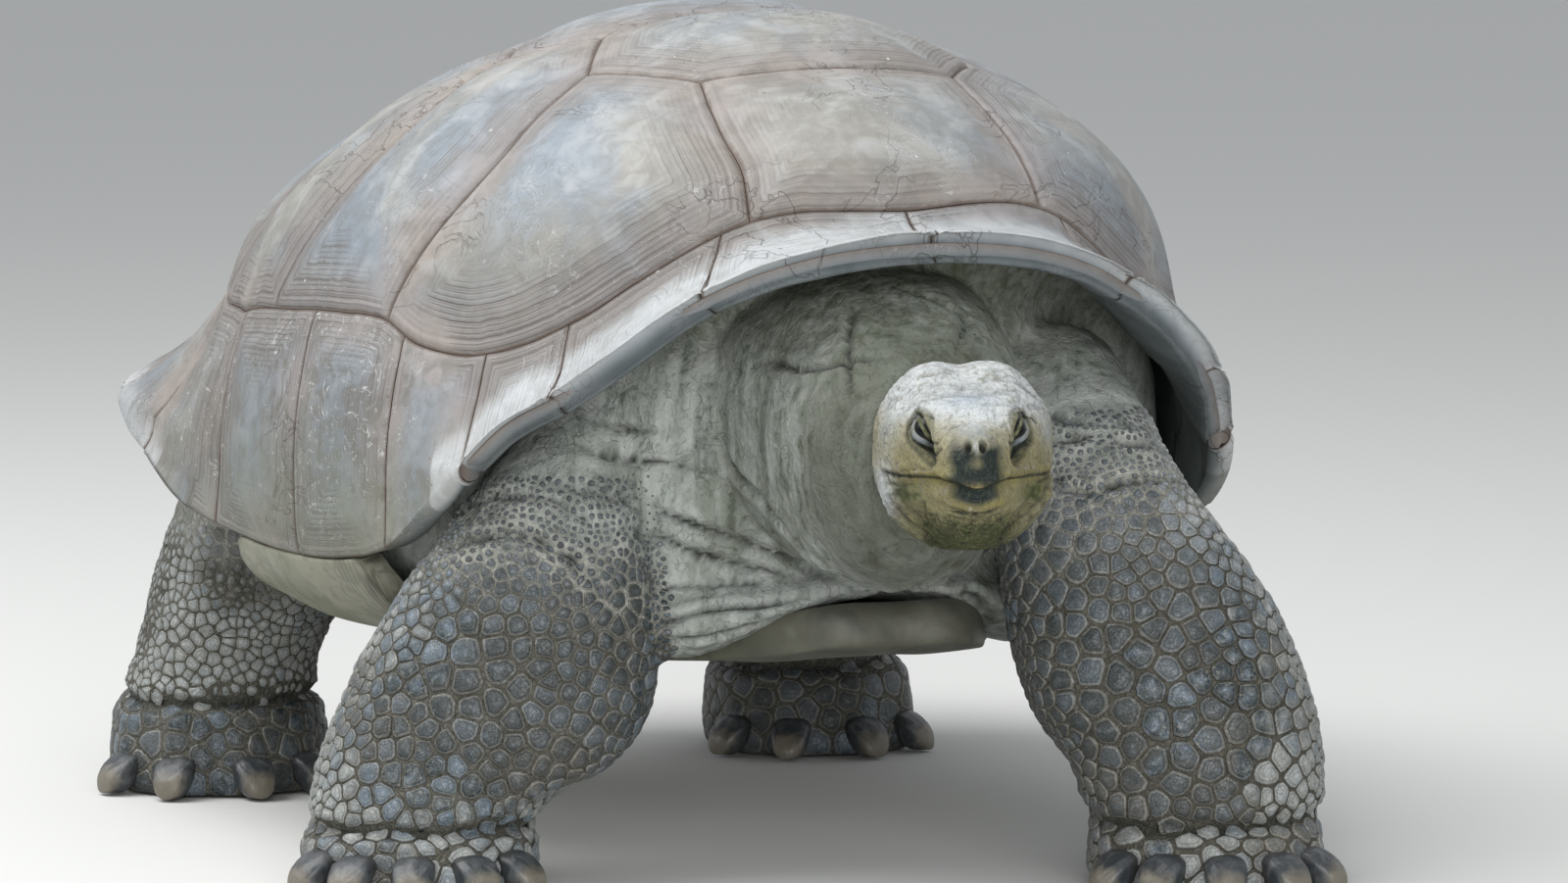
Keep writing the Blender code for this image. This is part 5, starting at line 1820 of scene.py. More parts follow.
@dataclass(frozen=True)
class Lump:
    """A soft rise, or a hollow of negative height, on the head, in millimetres; both sides unless single."""

    at: tuple[float, float, float]
    spread: tuple[float, float, float]
    height: float
    single: bool = False

    def rise(self, points: Array) -> Array:
        """Its height at each point: a bell in each of the head's directions."""
        x = points[..., 0] if self.single else np.abs(points[..., 0])
        spot = stacked(x, points[..., 1], points[..., 2])
        away = (spot - np.array(self.at) / 1000) / (np.array(self.spread) / 1000)
        return self.height / 1000 * np.exp(-(away**2).sum(-1))


@dataclass(frozen=True)
class Furrow:
    """A groove drawn on the face as it is seen from the front; sizes in millimetres."""

    line: tuple[tuple[float, float], ...]  # to the animal's left, and up
    width: float
    depth: float
    dark: float

    def relief(self, seen: Array) -> tuple[Array, Array]:
        """(depth in metres, painted shade) at each point seen: bells of its distance to the line."""
        line = np.array([(x, z, 0.0) for x, z in self.line]) * 0.001
        away = distance_to_line(seen, line)
        width = self.width * 0.001
        raised = 0.35 * bell(away - 2.1 * width, width)
        return self.depth * 0.001 * (bell(away, width) - raised), self.dark * bell(away, 0.75 * width)


@dataclass
class Head:
    """The head, in its own frame: x to its left, y behind the snout, z up, in metres.

    Squarish ovals of changing size make its mass; bells raise brow, crown, cheeks and chin; the lids
    rise over each eyeball round an almond opening; grooves part the beak and the lips.
    """

    nose: tuple[float, float, float] = (-0.0866, 0.7011, 0.337)
    turn: float = math.radians(-20.3)
    pitch: float = math.radians(-2.0)
    # In millimetres: distance behind the snout, half width, height above and depth below the axis.
    sections: tuple = (
        (-3.5, 1, 1, 1), (-1.5, 8.5, 8, 8.5), (0, 12.5, 12, 13), (5, 19.5, 19.5, 27), (18, 27, 27, 40),
        (38, 38, 36.5, 52), (62, 50, 47, 61), (90, 59.5, 57, 66.5), (122, 64, 62, 68), (148, 62, 60, 65),
        (172, 56, 52, 59), (190, 46, 42, 48)
    )
    eye: tuple[float, float, float] = (0.0264, 0.0572, 0.0237)
    eye_radius: float = 0.0135
    eye_out: tuple[float, float, float] = (0.743, -0.658, 0.12)
    slit_rise: float = math.radians(41)
    # How far a spot moves aside and up in front view for each metre that it lies behind the snout.
    slant: tuple[float, float] = (-0.1, 0.13)
    slit_half: float = 0.0112
    slit_upper: float = 0.0022
    slit_lower: float = 0.003
    # In millimetres along and across the slit: the fold that runs on from its inner end.
    tear_line: tuple = ((-10.8, 0, 0), (-16.5, 4, 0), (-21.5, 9.5, 0))
    around: int = 256
    along: int = 164
    # The mouth line in millimetres: distance round the snout from its middle, and height.
    mouth: tuple = ((0, -10.4), (6, -9.4), (14, -6.6), (30, -4.4), (60, -5), (95, -7), (160, -9.5))
    lumps: tuple[Lump, ...] = (
        Lump((25, 112, 58), (21, 30, 18), 6), Lump((-4, 108, 62), (8, 34, 12), -3, True),
        Lump((34, 52, 42), (13, 16, 7), 5), Lump((19, 46, 34), (7, 12, 8), -2.2),
        Lump((54, 94, 22), (12, 26, 18), 3), Lump((44, 72, -22), (16, 24, 11), 5.2),
        Lump((50, 88, 2), (14, 20, 7), 2.2), Lump((22, 28, 10), (7, 13, 12), -4.4),
        Lump((40, 52, -40), (13, 20, 11), -6.6), Lump((56, 84, -26), (10, 20, 14), 3),
        Lump((30, 40, -12), (8, 14, 5), -1.4), Lump((0, 30, 36), (20, 8, 6), -1.4, True),
        Lump((0, 20, 29), (9, 13, 7), 2.2, True), Lump((0, 52, 43), (14, 14, 6), 1.6, True),
        Lump((28, 32, -3), (10, 12, 6), 1.4), Lump((0, 18, -36), (16, 12, 6), 2.6, True),
        Lump((0, 34, -47), (21, 16, 10), 5.2, True), Lump((26, 16, -24), (9, 11, 7), -2)
    )

    furrows: tuple[Furrow, ...] = ()
    marks: tuple[str, ...] = ("crease", "lid", "beak", "tip", "blue", "ochre", "crown", "chin", "spot")

    def matrix(self) -> Matrix:
        """Places the head's own frame."""
        turn = Matrix.Rotation(self.turn, 4, "Z") @ Matrix.Rotation(-self.pitch, 4, "X")
        return Matrix.Translation(Vector(body(self.nose))) @ turn

    def placed(self, points: Array) -> Array:
        """Points of the head's frame, in the row frame."""
        place = np.array(self.matrix())
        return points @ place[:3, :3].T + place[:3, 3]

    def slit_axes(self, side: int) -> tuple[Array, Array, Array, Array]:
        """(middle of the eyeball, outwards, along the slit, across it) for the left (1) or right (-1) eye.

        Args:
            side: 1 for the left eye, -1 for the right.

        Returns:
            The middle of the eyeball, then outwards, along the slit and across it.
        """
        mirror = np.array([side, 1.0, 1.0])
        out = unit(np.array(self.eye_out))
        level = unit(np.array([-out[1], out[0], 0.0]))
        level = level * np.sign(level[0])
        up = np.cross(level, out)
        up = up * np.sign(up[2])
        along = level * math.cos(self.slit_rise) + up * math.sin(self.slit_rise)
        over = -level * math.sin(self.slit_rise) + up * math.cos(self.slit_rise)
        return np.array(self.eye) * mirror, out * mirror, along * mirror, over * mirror

    def _angles(self) -> Array:
        """Angles round the head, closer together at the eyes and the mouth.

        Returns:
            The angles.
        """
        fine = np.linspace(0, TURN, 4001)
        crowd = np.ones_like(fine)
        for middle, extra, width in ((0.62, 1.5, 0.3), (-0.13, 2.6, 0.11), (-0.55, 0.4, 0.3)):
            for place in (middle, math.pi - middle):
                away = (fine - place + math.pi) % TURN - math.pi
                crowd += extra * bell(away, width)
        return crowded(fine, crowd, self.around, closed=True)

    def _backs(self) -> Array:
        """Distances behind the snout, closer together at the snout and the eyes.

        Returns:
            The distances.
        """
        fine = np.linspace(0, 1, 3001)
        first, last = self.sections[0][0] / 1000, self.sections[-1][0] / 1000
        length = last - first
        back = first + length * fine**1.25
        crowd = 1 + 1.3 * bell(back - 0.046, 0.018) + 1.6 * bell(back, 0.014)
        crowd = crowd * length * 1.25 * np.maximum(fine, 0.002) ** 0.25
        return crowded(back, crowd, self.along, closed=False)

    def mass(self) -> Array:
        """The head's plain rings.

        Returns:
            The rings, snout first.
        """
        table = np.array(self.sections) / 1000
        backs, angles = self._backs(), self._angles()
        width, above, below = smooth(backs, table[:, 0], table[:, 1:]).T
        c, s = superellipse(angles, 2.45)
        tall = np.where(s[None] > 0, above[:, None], below[:, None]) * s[None]
        return stacked(width[:, None] * c, backs[:, None], tall)

    def mouth_height(self, points: Array) -> Array:
        """The mouth line's height at each point."""
        table = np.array(self.mouth) / 1000
        way = np.abs(points[..., 0]) + 1.15 * np.maximum(points[..., 1], 0)
        return smooth(way, table[:, 0], table[:, 1])

    def build(self) -> Surface:
        """The head's skin, with the values its finish reads.

        Returns:
            The surface.
        """
        rings = self.mass()
        skin = Surface.tube(rings)
        p = skin.points
        skin.points = p + skin.normals() * sum(lump.rise(p) for lump in self.lumps)[:, None]
        values = {name: np.zeros(len(p)) for name in self.marks}
        self._mouth(skin, values)
        self._nostrils(skin, values)
        self._wrinkles(skin, values)
        for side in (1, -1):
            self._lids(skin, values, side)
        self._colours(skin, values)
        values["face"] = np.ones(len(p))
        skin.values = values
        self._unwrap(skin, *rings.shape[:2])
        skin.points = self.placed(skin.points)
        return skin

    def _unwrap(self, skin: Surface, rings: int, around: int) -> None:
        """Lays the head out flat: the angle round it across, the way behind the snout upwards.

        Args:
            skin: the surface to work on.
            rings: how many rings it has.
            around: how many points in a ring.
        """
        across, up = np.linspace(0, 1, around + 1), np.linspace(0.03, 1, rings)
        i, j = (k.ravel() for k in np.meshgrid(np.arange(rings - 1), np.arange(around), indexing="ij"))
        quad = [(i, j), (i, j + 1), (i + 1, j + 1), (i + 1, j)]
        if (skin.quads[0] != grid_faces(rings, around)[0]).any():
            quad = quad[::-1]
        spots = [np.stack([stacked(across[b], up[a]) for a, b in quad], axis=1).reshape(-1, 2)]
        for levels in ((0.03, 0.03, 0.0), (1.0, 1.0, 1.0)):
            fan = [stacked(across[:-1], level) for level in levels]
            spots.append(np.stack(fan, axis=1).reshape(-1, 2))
        skin.layout = np.vstack(spots)

    def _mouth(self, skin: Surface, values: Values) -> None:
        """Parts the jaws: a narrow groove, the beak's edge over it and the lower lip drawn in.

        Args:
            skin: the surface to work on.
            values: what the skin carries at each point; more is added to it.
        """
        p, normal = skin.points, skin.normals()
        x, back = np.abs(p[:, 0]), p[:, 1]
        line = self.mouth_height(p) + 0.0007 * noise(p, 0.012, 4) * ease(0.01, 0.03, x)
        off = p[:, 2] - line
        there = ease(0.1, 0.082, back)
        front = ease(0.03, 0.016, back)
        groove = (0.0022 + 0.0012 * front) * bell(off, 0.0011)
        over = (0.001 + 0.0016 * front) * bell(off - 0.0032, 0.003)
        under = -(0.001 + 0.0024 * front) * bell(off + 0.004, 0.0042)
        lip = 0.0016 * bell(off + 0.015, 0.0045) * front
        crease = 0.0026 * bell(off + 0.0195, 0.0011) * ease(0.021, 0.014, x) * front
        crease2 = 0.0014 * bell(off + 0.0222, 0.001) * ease(0.019, 0.012, x) * front
        skin.points = p + normal * ((over + under + lip - groove) * there - crease - crease2)[:, None]
        # Painted shade in the mouth's groove and the creases under the lip.
        values["crease"] += 0.95 * bell(off, 0.001) * there + 0.7 * crease / 0.0026 + 0.5 * crease2 / 0.0014
        wide = x + 0.0022 * noise(p, 0.007, 8) + np.maximum(back - 0.01, 0) * 0.5
        beak = ease(0.0235, 0.0105, wide)
        middle = oval(x, 0.0066, p[:, 2] - 0.0082, 0.0046)
        top = 0.015 + 0.42 * x + 0.0016 * noise(p, 0.006, 18)
        upper = ease(-0.001, 0.0006, off) * ease(0.008, -0.007, p[:, 2] - top) * (1 - 0.55 * middle)
        lower = ease(0.0004, -0.001, off) * ease(-0.015, -0.0085, off)
        near = ease(0.03, 0.02, back)
        values["beak"] += beak * upper * near * 0.96 + ease(0.026, 0.01, x) * lower * near * 0.85
        values["tip"] += bell(x, 0.0065) * bell(off - 0.0026, 0.002) * near
        values["ochre"] += (
            0.9 * bell(off, 0.004) * there + 0.5 * ease(0.024, 0.018, x) * bell(off + 0.0145, 0.003) * near
        )

    def _nostrils(self, skin: Surface, values: Values) -> None:
        """Two upright pits on the snout's front, with a pale wall between them.

        Args:
            skin: the surface to work on.
            values: what the skin carries at each point; more is added to it.
        """
        p, normal = skin.points, skin.normals()
        x, z, front = np.abs(p[:, 0]), p[:, 2], ease(0.026, 0.016, p[:, 1])
        away = np.hypot((x - 0.0054) / 0.0027, (z - 0.0196) / 0.0037)
        pit = np.exp(-(away**4)) * front
        rim = bell(away - 1.55, 0.45) * front
        skin.points = p + normal * (0.0007 * rim - 0.0052 * pit)[:, None]
        # Painted shade in the nostril pits.
        values["crease"] += np.exp(-((away / 1.02) ** 6)) * front
        values["lid"] += 0.6 * oval(x, 0.013, z - 0.027, 0.0058) * ease(0.034, 0.024, p[:, 1])
        values["crown"] += 0.8 * oval(x, 0.0022, z - 0.0185, 0.005) * front

    def _wrinkles(self, skin: Surface, values: Values) -> None:
        """Fine folds: level ones over the forehead, a net over cheeks and chin, none on the beak.

        Args:
            skin: the surface to work on.
            values: what the skin carries at each point; more is added to it.
        """
        p, normal = skin.points, skin.normals()
        x, back, z = np.abs(p[:, 0]), p[:, 1], p[:, 2]
        brow = (
            1.25 * ridged(p * (0.4, 1.0, 1.5), 0.0095, 2, 3) * ease(0.026, 0.04, z)
            * ease(0.04, 0.062, back)
        )
        brow = brow * (1 - 0.6 * ease(0.1, 0.14, back))
        net = ridged(p, 0.0095, 2, 9) * ease(0.03, 0.055, x + 0.6 * np.maximum(-z - 0.02, 0))
        chin = ridged(p * (1.0, 1.0, 1.3), 0.007, 2, 21) * ease(-0.026, -0.036, z)
        jowl = ridged(p * (1.0, 0.6, 1.0), 0.012, 2, 31) * oval(x - 0.05, 0.016, z + 0.022, 0.016)
        lumps = (
            0.0009 * rough(p, 0.02, 3, 41) + 0.0004 * rough(p, 0.006, 2, 43) * ease(0.01, 0.024, x + back)
        )
        scaly = ridged(p, 0.0048, 1, 23) * ease(-0.024, -0.034, z) * ease(0.04, 0.03, x)
        height = lumps - 0.0016 * brow - 0.0015 * net - 0.0022 * chin - 0.0026 * jowl - 0.0012 * scaly
        dark = 0.44 * brow + 0.4 * net + 0.6 * chin + 0.62 * jowl + 0.5 * scaly
        aside, upward = self.slant
        seen = stacked(p[:, 0] + aside * back, z + upward * back, 0.0)
        seen = seen + 0.0012 * rough(p, 0.012, 2, 57)[:, None]
        facing = ease(0.13, 0.1, back) * ease(-0.05, 0.15, -normal[:, 1])
        for furrow in self.furrows:
            depth, shade = furrow.relief(seen)
            height, dark = height - depth * facing, np.maximum(dark, shade * facing)
        skin.points = p + normal * height[:, None]
        # Painted shade in the wrinkles and furrows.
        values["crease"] += dark

    def _lids(self, skin: Surface, values: Values, side: int) -> None:
        """Raises the lids over one eyeball and sinks the skin inside the almond opening between them.

        Args:
            skin: the surface to work on.
            values: what the skin carries at each point; more is added to it.
            side: 1 for the left eye, -1 for the right.
        """
        centre, out, along, over = self.slit_axes(side)
        p = skin.points
        away = p - centre
        u, v, w = away @ along, away @ over, away @ out
        facing = (w > 0) & (np.hypot(u, v) < 0.034)
        wide = (1 - (u / self.slit_half) ** 2) * np.maximum(1 + 0.55 * u / self.slit_half, 0.3)
        upper, lower = self.slit_upper * wide, -self.slit_lower * wide
        e = np.maximum(v - upper, lower - v)
        spread = np.hypot(u, v)
        ball = np.sqrt(np.maximum(self.eye_radius**2 - np.minimum(spread, self.eye_radius * 0.97) ** 2, 0))
        above = v > (upper + lower) / 2
        lid = ball + 0.0005 + np.where(above, 0.0005, 0.0012) * ease(0.0, 0.0018, e)
        puff = np.where(above, 0.0, 0.0008) * bell(e - 0.0034, 0.0022) * (1 + noise(p, 0.005, 61))
        puff = puff - 0.0006 * ridged(p, 0.0036, 1, 63) * ease(0.0008, 0.0024, e)
        bag = np.where(above, 0.004, 0.0064) + 0.0008 * noise(p, 0.009, 65)
        crease = np.where(above, 0.0014, 0.0028) * bell(e - bag, 0.001)
        crease = crease + np.where(above, 0.0006, 0.0016) * bell(e - 0.0098, 0.001)
        target = np.where(e < 0, ball - 0.003 * ease(0, 0.0012, -e), lid + puff)
        blend = ease(np.where(above, 0.009, 0.012), 0.003, e)
        lift = (target - w) * blend - crease
        skin.points = p + out * np.where(facing, lift, 0.0)[:, None]
        near = facing * 1.0
        # Painted shade inside the opening, along the folds round the eye, at its inner corner and along the
        # tear fold.
        values["crease"] += (
            near * (ease(0.0006, -0.0006, e) + np.where(above, 0.45, 1.0) * bell(e - bag, 0.0014))
        )
        values["crease"] += near * np.where(above, 0.3, 0.7) * bell(e - 0.0098, 0.0012)
        inner = np.hypot((u + self.slit_half) / 0.0042, v / 0.0034)
        values["crease"] += near * 0.85 * bell(inner, 1.0)
        tear = distance_to_line(stacked(u, v, 0.0), np.array(self.tear_line) / 1000)
        values["crease"] += near * 0.55 * bell(tear, 0.001)
        skin.points = skin.points - out * (near * 0.0012 * bell(tear, 0.0012))[:, None]
        values["lid"] += near * bell(e - 0.0022, 0.0034) * np.where(above, 0.0, 1.0) * (e > -0.0004)
        values["crown"] -= near * np.where(above, 0.8, 0.3) * bell(e - 0.004, 0.006)
        values["spot"] += near * np.where(above, 0.8, 0.0) * bell(e - 0.0018, 0.0034)
        values["spot"] += near * 0.45 * bell(e - 0.0075, 0.0034)

    def _colours(self, skin: Surface, values: Values) -> None:
        """Where the crown is pale, the shields blue, the cheeks ochre and the chin green; a painted
        highlight lightens the right jaw.

        Args:
            skin: the surface to work on.
            values: what the skin carries at each point; more is added to it.
        """
        p = skin.points
        x, back, z = np.abs(p[:, 0]), p[:, 1], p[:, 2]
        wave = 0.004 * rough(p, 0.018, 3, 51)
        values["crown"] += ease(0.022, 0.04, z + wave)
        # Painted light: a pale patch on the right jaw only, the side that the light falls on.
        values["crown"] += 1.2 * oval(p[:, 0] + self.slant[0] * back + 0.067, 0.009, z + 0.026, 0.024)
        values["blue"] += 0.8 * oval(x, 0.017, back - 0.058, 0.012) * ease(0.03, 0.038, z)
        values["blue"] += 0.5 * oval(back - 0.085, 0.016, z - 0.022, 0.012) * ease(0.045, 0.052, x)
        values["ochre"] += 0.85 * ease(0.028, 0.006, z + wave) * (1 - 0.5 * ease(0.06, 0.09, back))
        values["chin"] += ease(-0.024, -0.044, z + wave) * ease(0.04, 0.022, x)
        values["spot"] += (
            1.15 * bell(np.hypot((back - 0.052) / 0.016, (z + 0.019) / 0.0085) + 40 * wave, 1.0)
            * (x > 0.02)
        )
        values["spot"] += 0.45 * oval(back - 0.076, 0.008, z + 0.014, 0.006) * (x > 0.02)
        values["mossy"] = ease(-0.034, -0.05, z) * 0.7

    def eyeball(self, side: int, finish: Material) -> Piece:
        """One eye: a ball whose front carries the iris.

        Args:
            side: 1 for the left eye, -1 for the right.
            finish: what it is made of.

        Returns:
            The eye.
        """
        centre, out, along, over = self.slit_axes(side)
        turns = np.linspace(0.02, math.pi - 0.02, 40)[:, None]
        angles = np.linspace(0, TURN, 64, endpoint=False)[None]
        radius = self.eye_radius + 0.0005 * bell(turns, 0.5)
        local = (
            out * (radius * np.cos(turns))[..., None]
            + along * (radius * np.sin(turns) * np.cos(angles))[..., None]
            + over * (radius * np.sin(turns) * np.sin(angles))[..., None]
        )
        values = {"out": np.minimum(turns, 1.0)}
        name = "eyeball_left" if side > 0 else "eyeball_right"
        made = Surface.tube(self.placed(centre + local), values).object(name, finish)
        return placed(made, Slot.EYE, "eye_left" if side > 0 else "eye_right")


FORELEG_LEFT = Limb(
    "foreleg_left",
    (
        (207, 470, 52, 87, 70, 77), (205, 464, 88, 94, 78, 82), (187, 447, 145, 102, 88, 83),
        (169, 425, 200, 95, 89, 76), (156, 392, 256, 78, 79, 67), (152, 339, 306, 74, 76, 64),
        (152, 260, 344, 86, 80, 70)
    ),
    facing=-0.3, level=0.6, sole=True
)
FORELEG_RIGHT = Limb(
    "foreleg_right",
    (
        (-329, 247, 50, 84, 70, 78), (-313, 248, 80, 94, 76, 80), (-286, 252, 112, 105, 85, 82),
        (-260, 256, 156, 107, 88, 82), (-241, 257, 205, 95, 86, 78), (-220, 251, 256, 74, 74, 70),
        (-190, 229, 300, 58, 62, 60), (-165, 189, 330, 50, 56, 56)
    ),
    facing=-0.42, level=0.6, sole=True
)
HINDLEG_LEFT = Limb(
    "hindleg_left",
    (
        (235, -334, 76, 78, 76, 80), (231, -327, 110, 76, 76, 78), (219, -311, 160, 79, 82, 80),
        (201, -289, 210, 84, 88, 84), (175, -261, 260, 80, 84, 80), (145, -226, 300, 70, 70, 70)
    ),
    facing=-0.2, level=0.6, sole=True
)
HINDLEG_RIGHT = Limb(
    "hindleg_right",
    (
        (-293, -311, 76, 78, 76, 80), (-287, -305, 110, 76, 76, 78), (-273, -293, 160, 79, 82, 80),
        (-253, -275, 210, 84, 88, 84), (-225, -251, 260, 80, 84, 80), (-195, -221, 300, 70, 70, 70)
    ),
    facing=-0.35, level=0.6, sole=True
)
NECK = Limb(
    "neck",
    (
        (0, 230, 350, 128, 118, 122), (-6, 320, 350, 122, 112, 118), (-16, 390, 345, 107, 102, 120),
        (-29, 450, 338, 90, 82, 116), (-36, 505, 333, 69, 59, 90), (-31, 527, 334, 58, 51, 70),
        (-31, 552, 335, 48, 43, 52)
    ),
    inset=0.001
)
TAIL = Limb(
    "tail",
    (
        (0, -330, 262, 52, 46, 46), (0, -400, 250, 47, 40, 42), (6, -452, 222, 38, 32, 34),
        (22, -478, 182, 28, 24, 25), (42, -480, 142, 18, 16, 16), (54, -472, 118, 9, 8, 8)
    )
)
# Furrows by kind: (width, depth, painted shade), and the line of each.
FURROW_KINDS = (
    # Upper eyelid folds.
    (
        (1, 0.9, 0.85),
        (
            ((-49.3, 36.2), (-45.3, 40.6), (-38.1, 42.2), (-31.7, 39.8)),
            ((33.5, 42.2), (39.1, 39.8), (41.1, 36.2))
        )
    ),
    # Bags under the eyes.
    (
        (1.1, 1.2, 0.8),
        (
            ((-44.5, 21.4), (-37.9, 15.4), (-30.9, 12.6), (-25.7, 17.8)),
            ((25.1, 12.2), (31.5, 14.6), (37.5, 22.2))
        )
    ),
    # From the eyes' inner corners.
    (
        (0.9, 0.9, 0.6),
        (
            ((-29.3, 20.8), (-25.7, 25.4), (-22.1, 30.2), (-12.5, 35.8)),
            ((24.5, 13), (23.7, 20.8), (22.7, 28.8), (18.7, 37.4))
        )
    ),
    # Over the forehead.
    (
        (1, 0.8, 0.45),
        (
            ((-50.9, 47), (-36.9, 53.4), (-20.9, 57.2), (-8.9, 58.2)),
            ((-44.5, 53.8), (-32.5, 57.8), (-18.9, 63.4)),
            ((11.5, 59.4), (22.1, 57.8), (33.1, 52.6), (41.9, 45.8)),
            ((1.1, 63), (12.1, 60.2), (26.1, 59.8))
        )
    ),
    # Over the crown.
    (
        (1.1, 0.8, 0.4),
        (
            ((-60.5, 51.8), (-50.9, 60.6), (-38.9, 65.4), (-23.9, 65)),
            ((15.1, 69), (28.1, 63.8), (38.1, 55.4)), ((-28.9, 71.8), (-26.5, 66.2), (-28.9, 61.8))
        )
    ),
    # At the mouth's corners.
    (
        (1.1, 1.2, 0.8),
        (((-65.7, -0.6), (-63.7, -5), (-57.3, -7.4)), ((51.9, 2.6), (49.1, -2.6), (43.5, -5.4)))
    ),
    # Down the jaws.
    (
        (1.9, 2.6, 0.85),
        (
            ((-64.9, -17.2), (-58.1, -27.4), (-48.9, -35), (-36.1, -42.2), (-28.5, -51)),
            ((50.7, -8.2), (44.7, -21.4), (33.1, -31), (22.3, -38.6), (16.3, -49.4))
        )
    ),
    # Across the cheeks.
    (
        (1.2, 1.3, 0.6),
        (
            ((-59.3, -14.2), (-48.9, -23.4), (-39.7, -30.2), (-31.3, -40.6)),
            ((-38.1, -19.8), (-35.7, -28.6), (-32.5, -36.2)), ((42.3, -10.2), (35.5, -19.8), (25.9, -27.8)),
            ((-54.9, 2.6), (-42.9, 5), (-29.9, 2.6))
        )
    ),
    # Over the chin.
    (
        (0.9, 1.2, 0.8),
        (
            ((-19.7, -27.8), (-12.9, -30.6), (-2.5, -31.8), (9.1, -30.2), (16.7, -27.4)),
            ((-17.7, -25), (-8.9, -27), (3.1, -27), (14.3, -24.6))
        )
    )
)
FURROWS = tuple(Furrow(line, *kind) for kind, lines in FURROW_KINDS for line in lines)
LEGS = (FORELEG_LEFT, FORELEG_RIGHT, HINDLEG_LEFT, HINDLEG_RIGHT)
ANKLE_CREASE = (0.0044, 0.005)  # depth, width
FORE_REACH, HIND_REACH = (0.088, 0.074, 0.088), (0.089, 0.082, 0.094)
FORE_CLAWS, HIND_CLAWS = (-56, -28, 0, 28, 56), (-57, -20, 16, 52)
FEET = {
    "forefoot_left": Foot(FORELEG_LEFT, FORE_REACH, FORE_CLAWS),
    "forefoot_right": Foot(FORELEG_RIGHT, FORE_REACH, FORE_CLAWS),
    "hindfoot_left": Foot(HINDLEG_LEFT, HIND_REACH, HIND_CLAWS),
    "hindfoot_right": Foot(HINDLEG_RIGHT, HIND_REACH, HIND_CLAWS)
}
FLESH_NODES = ("trunk", "neck", "head", "lower_jaw", "tail", *(leg.name for leg in LEGS), *FEET)


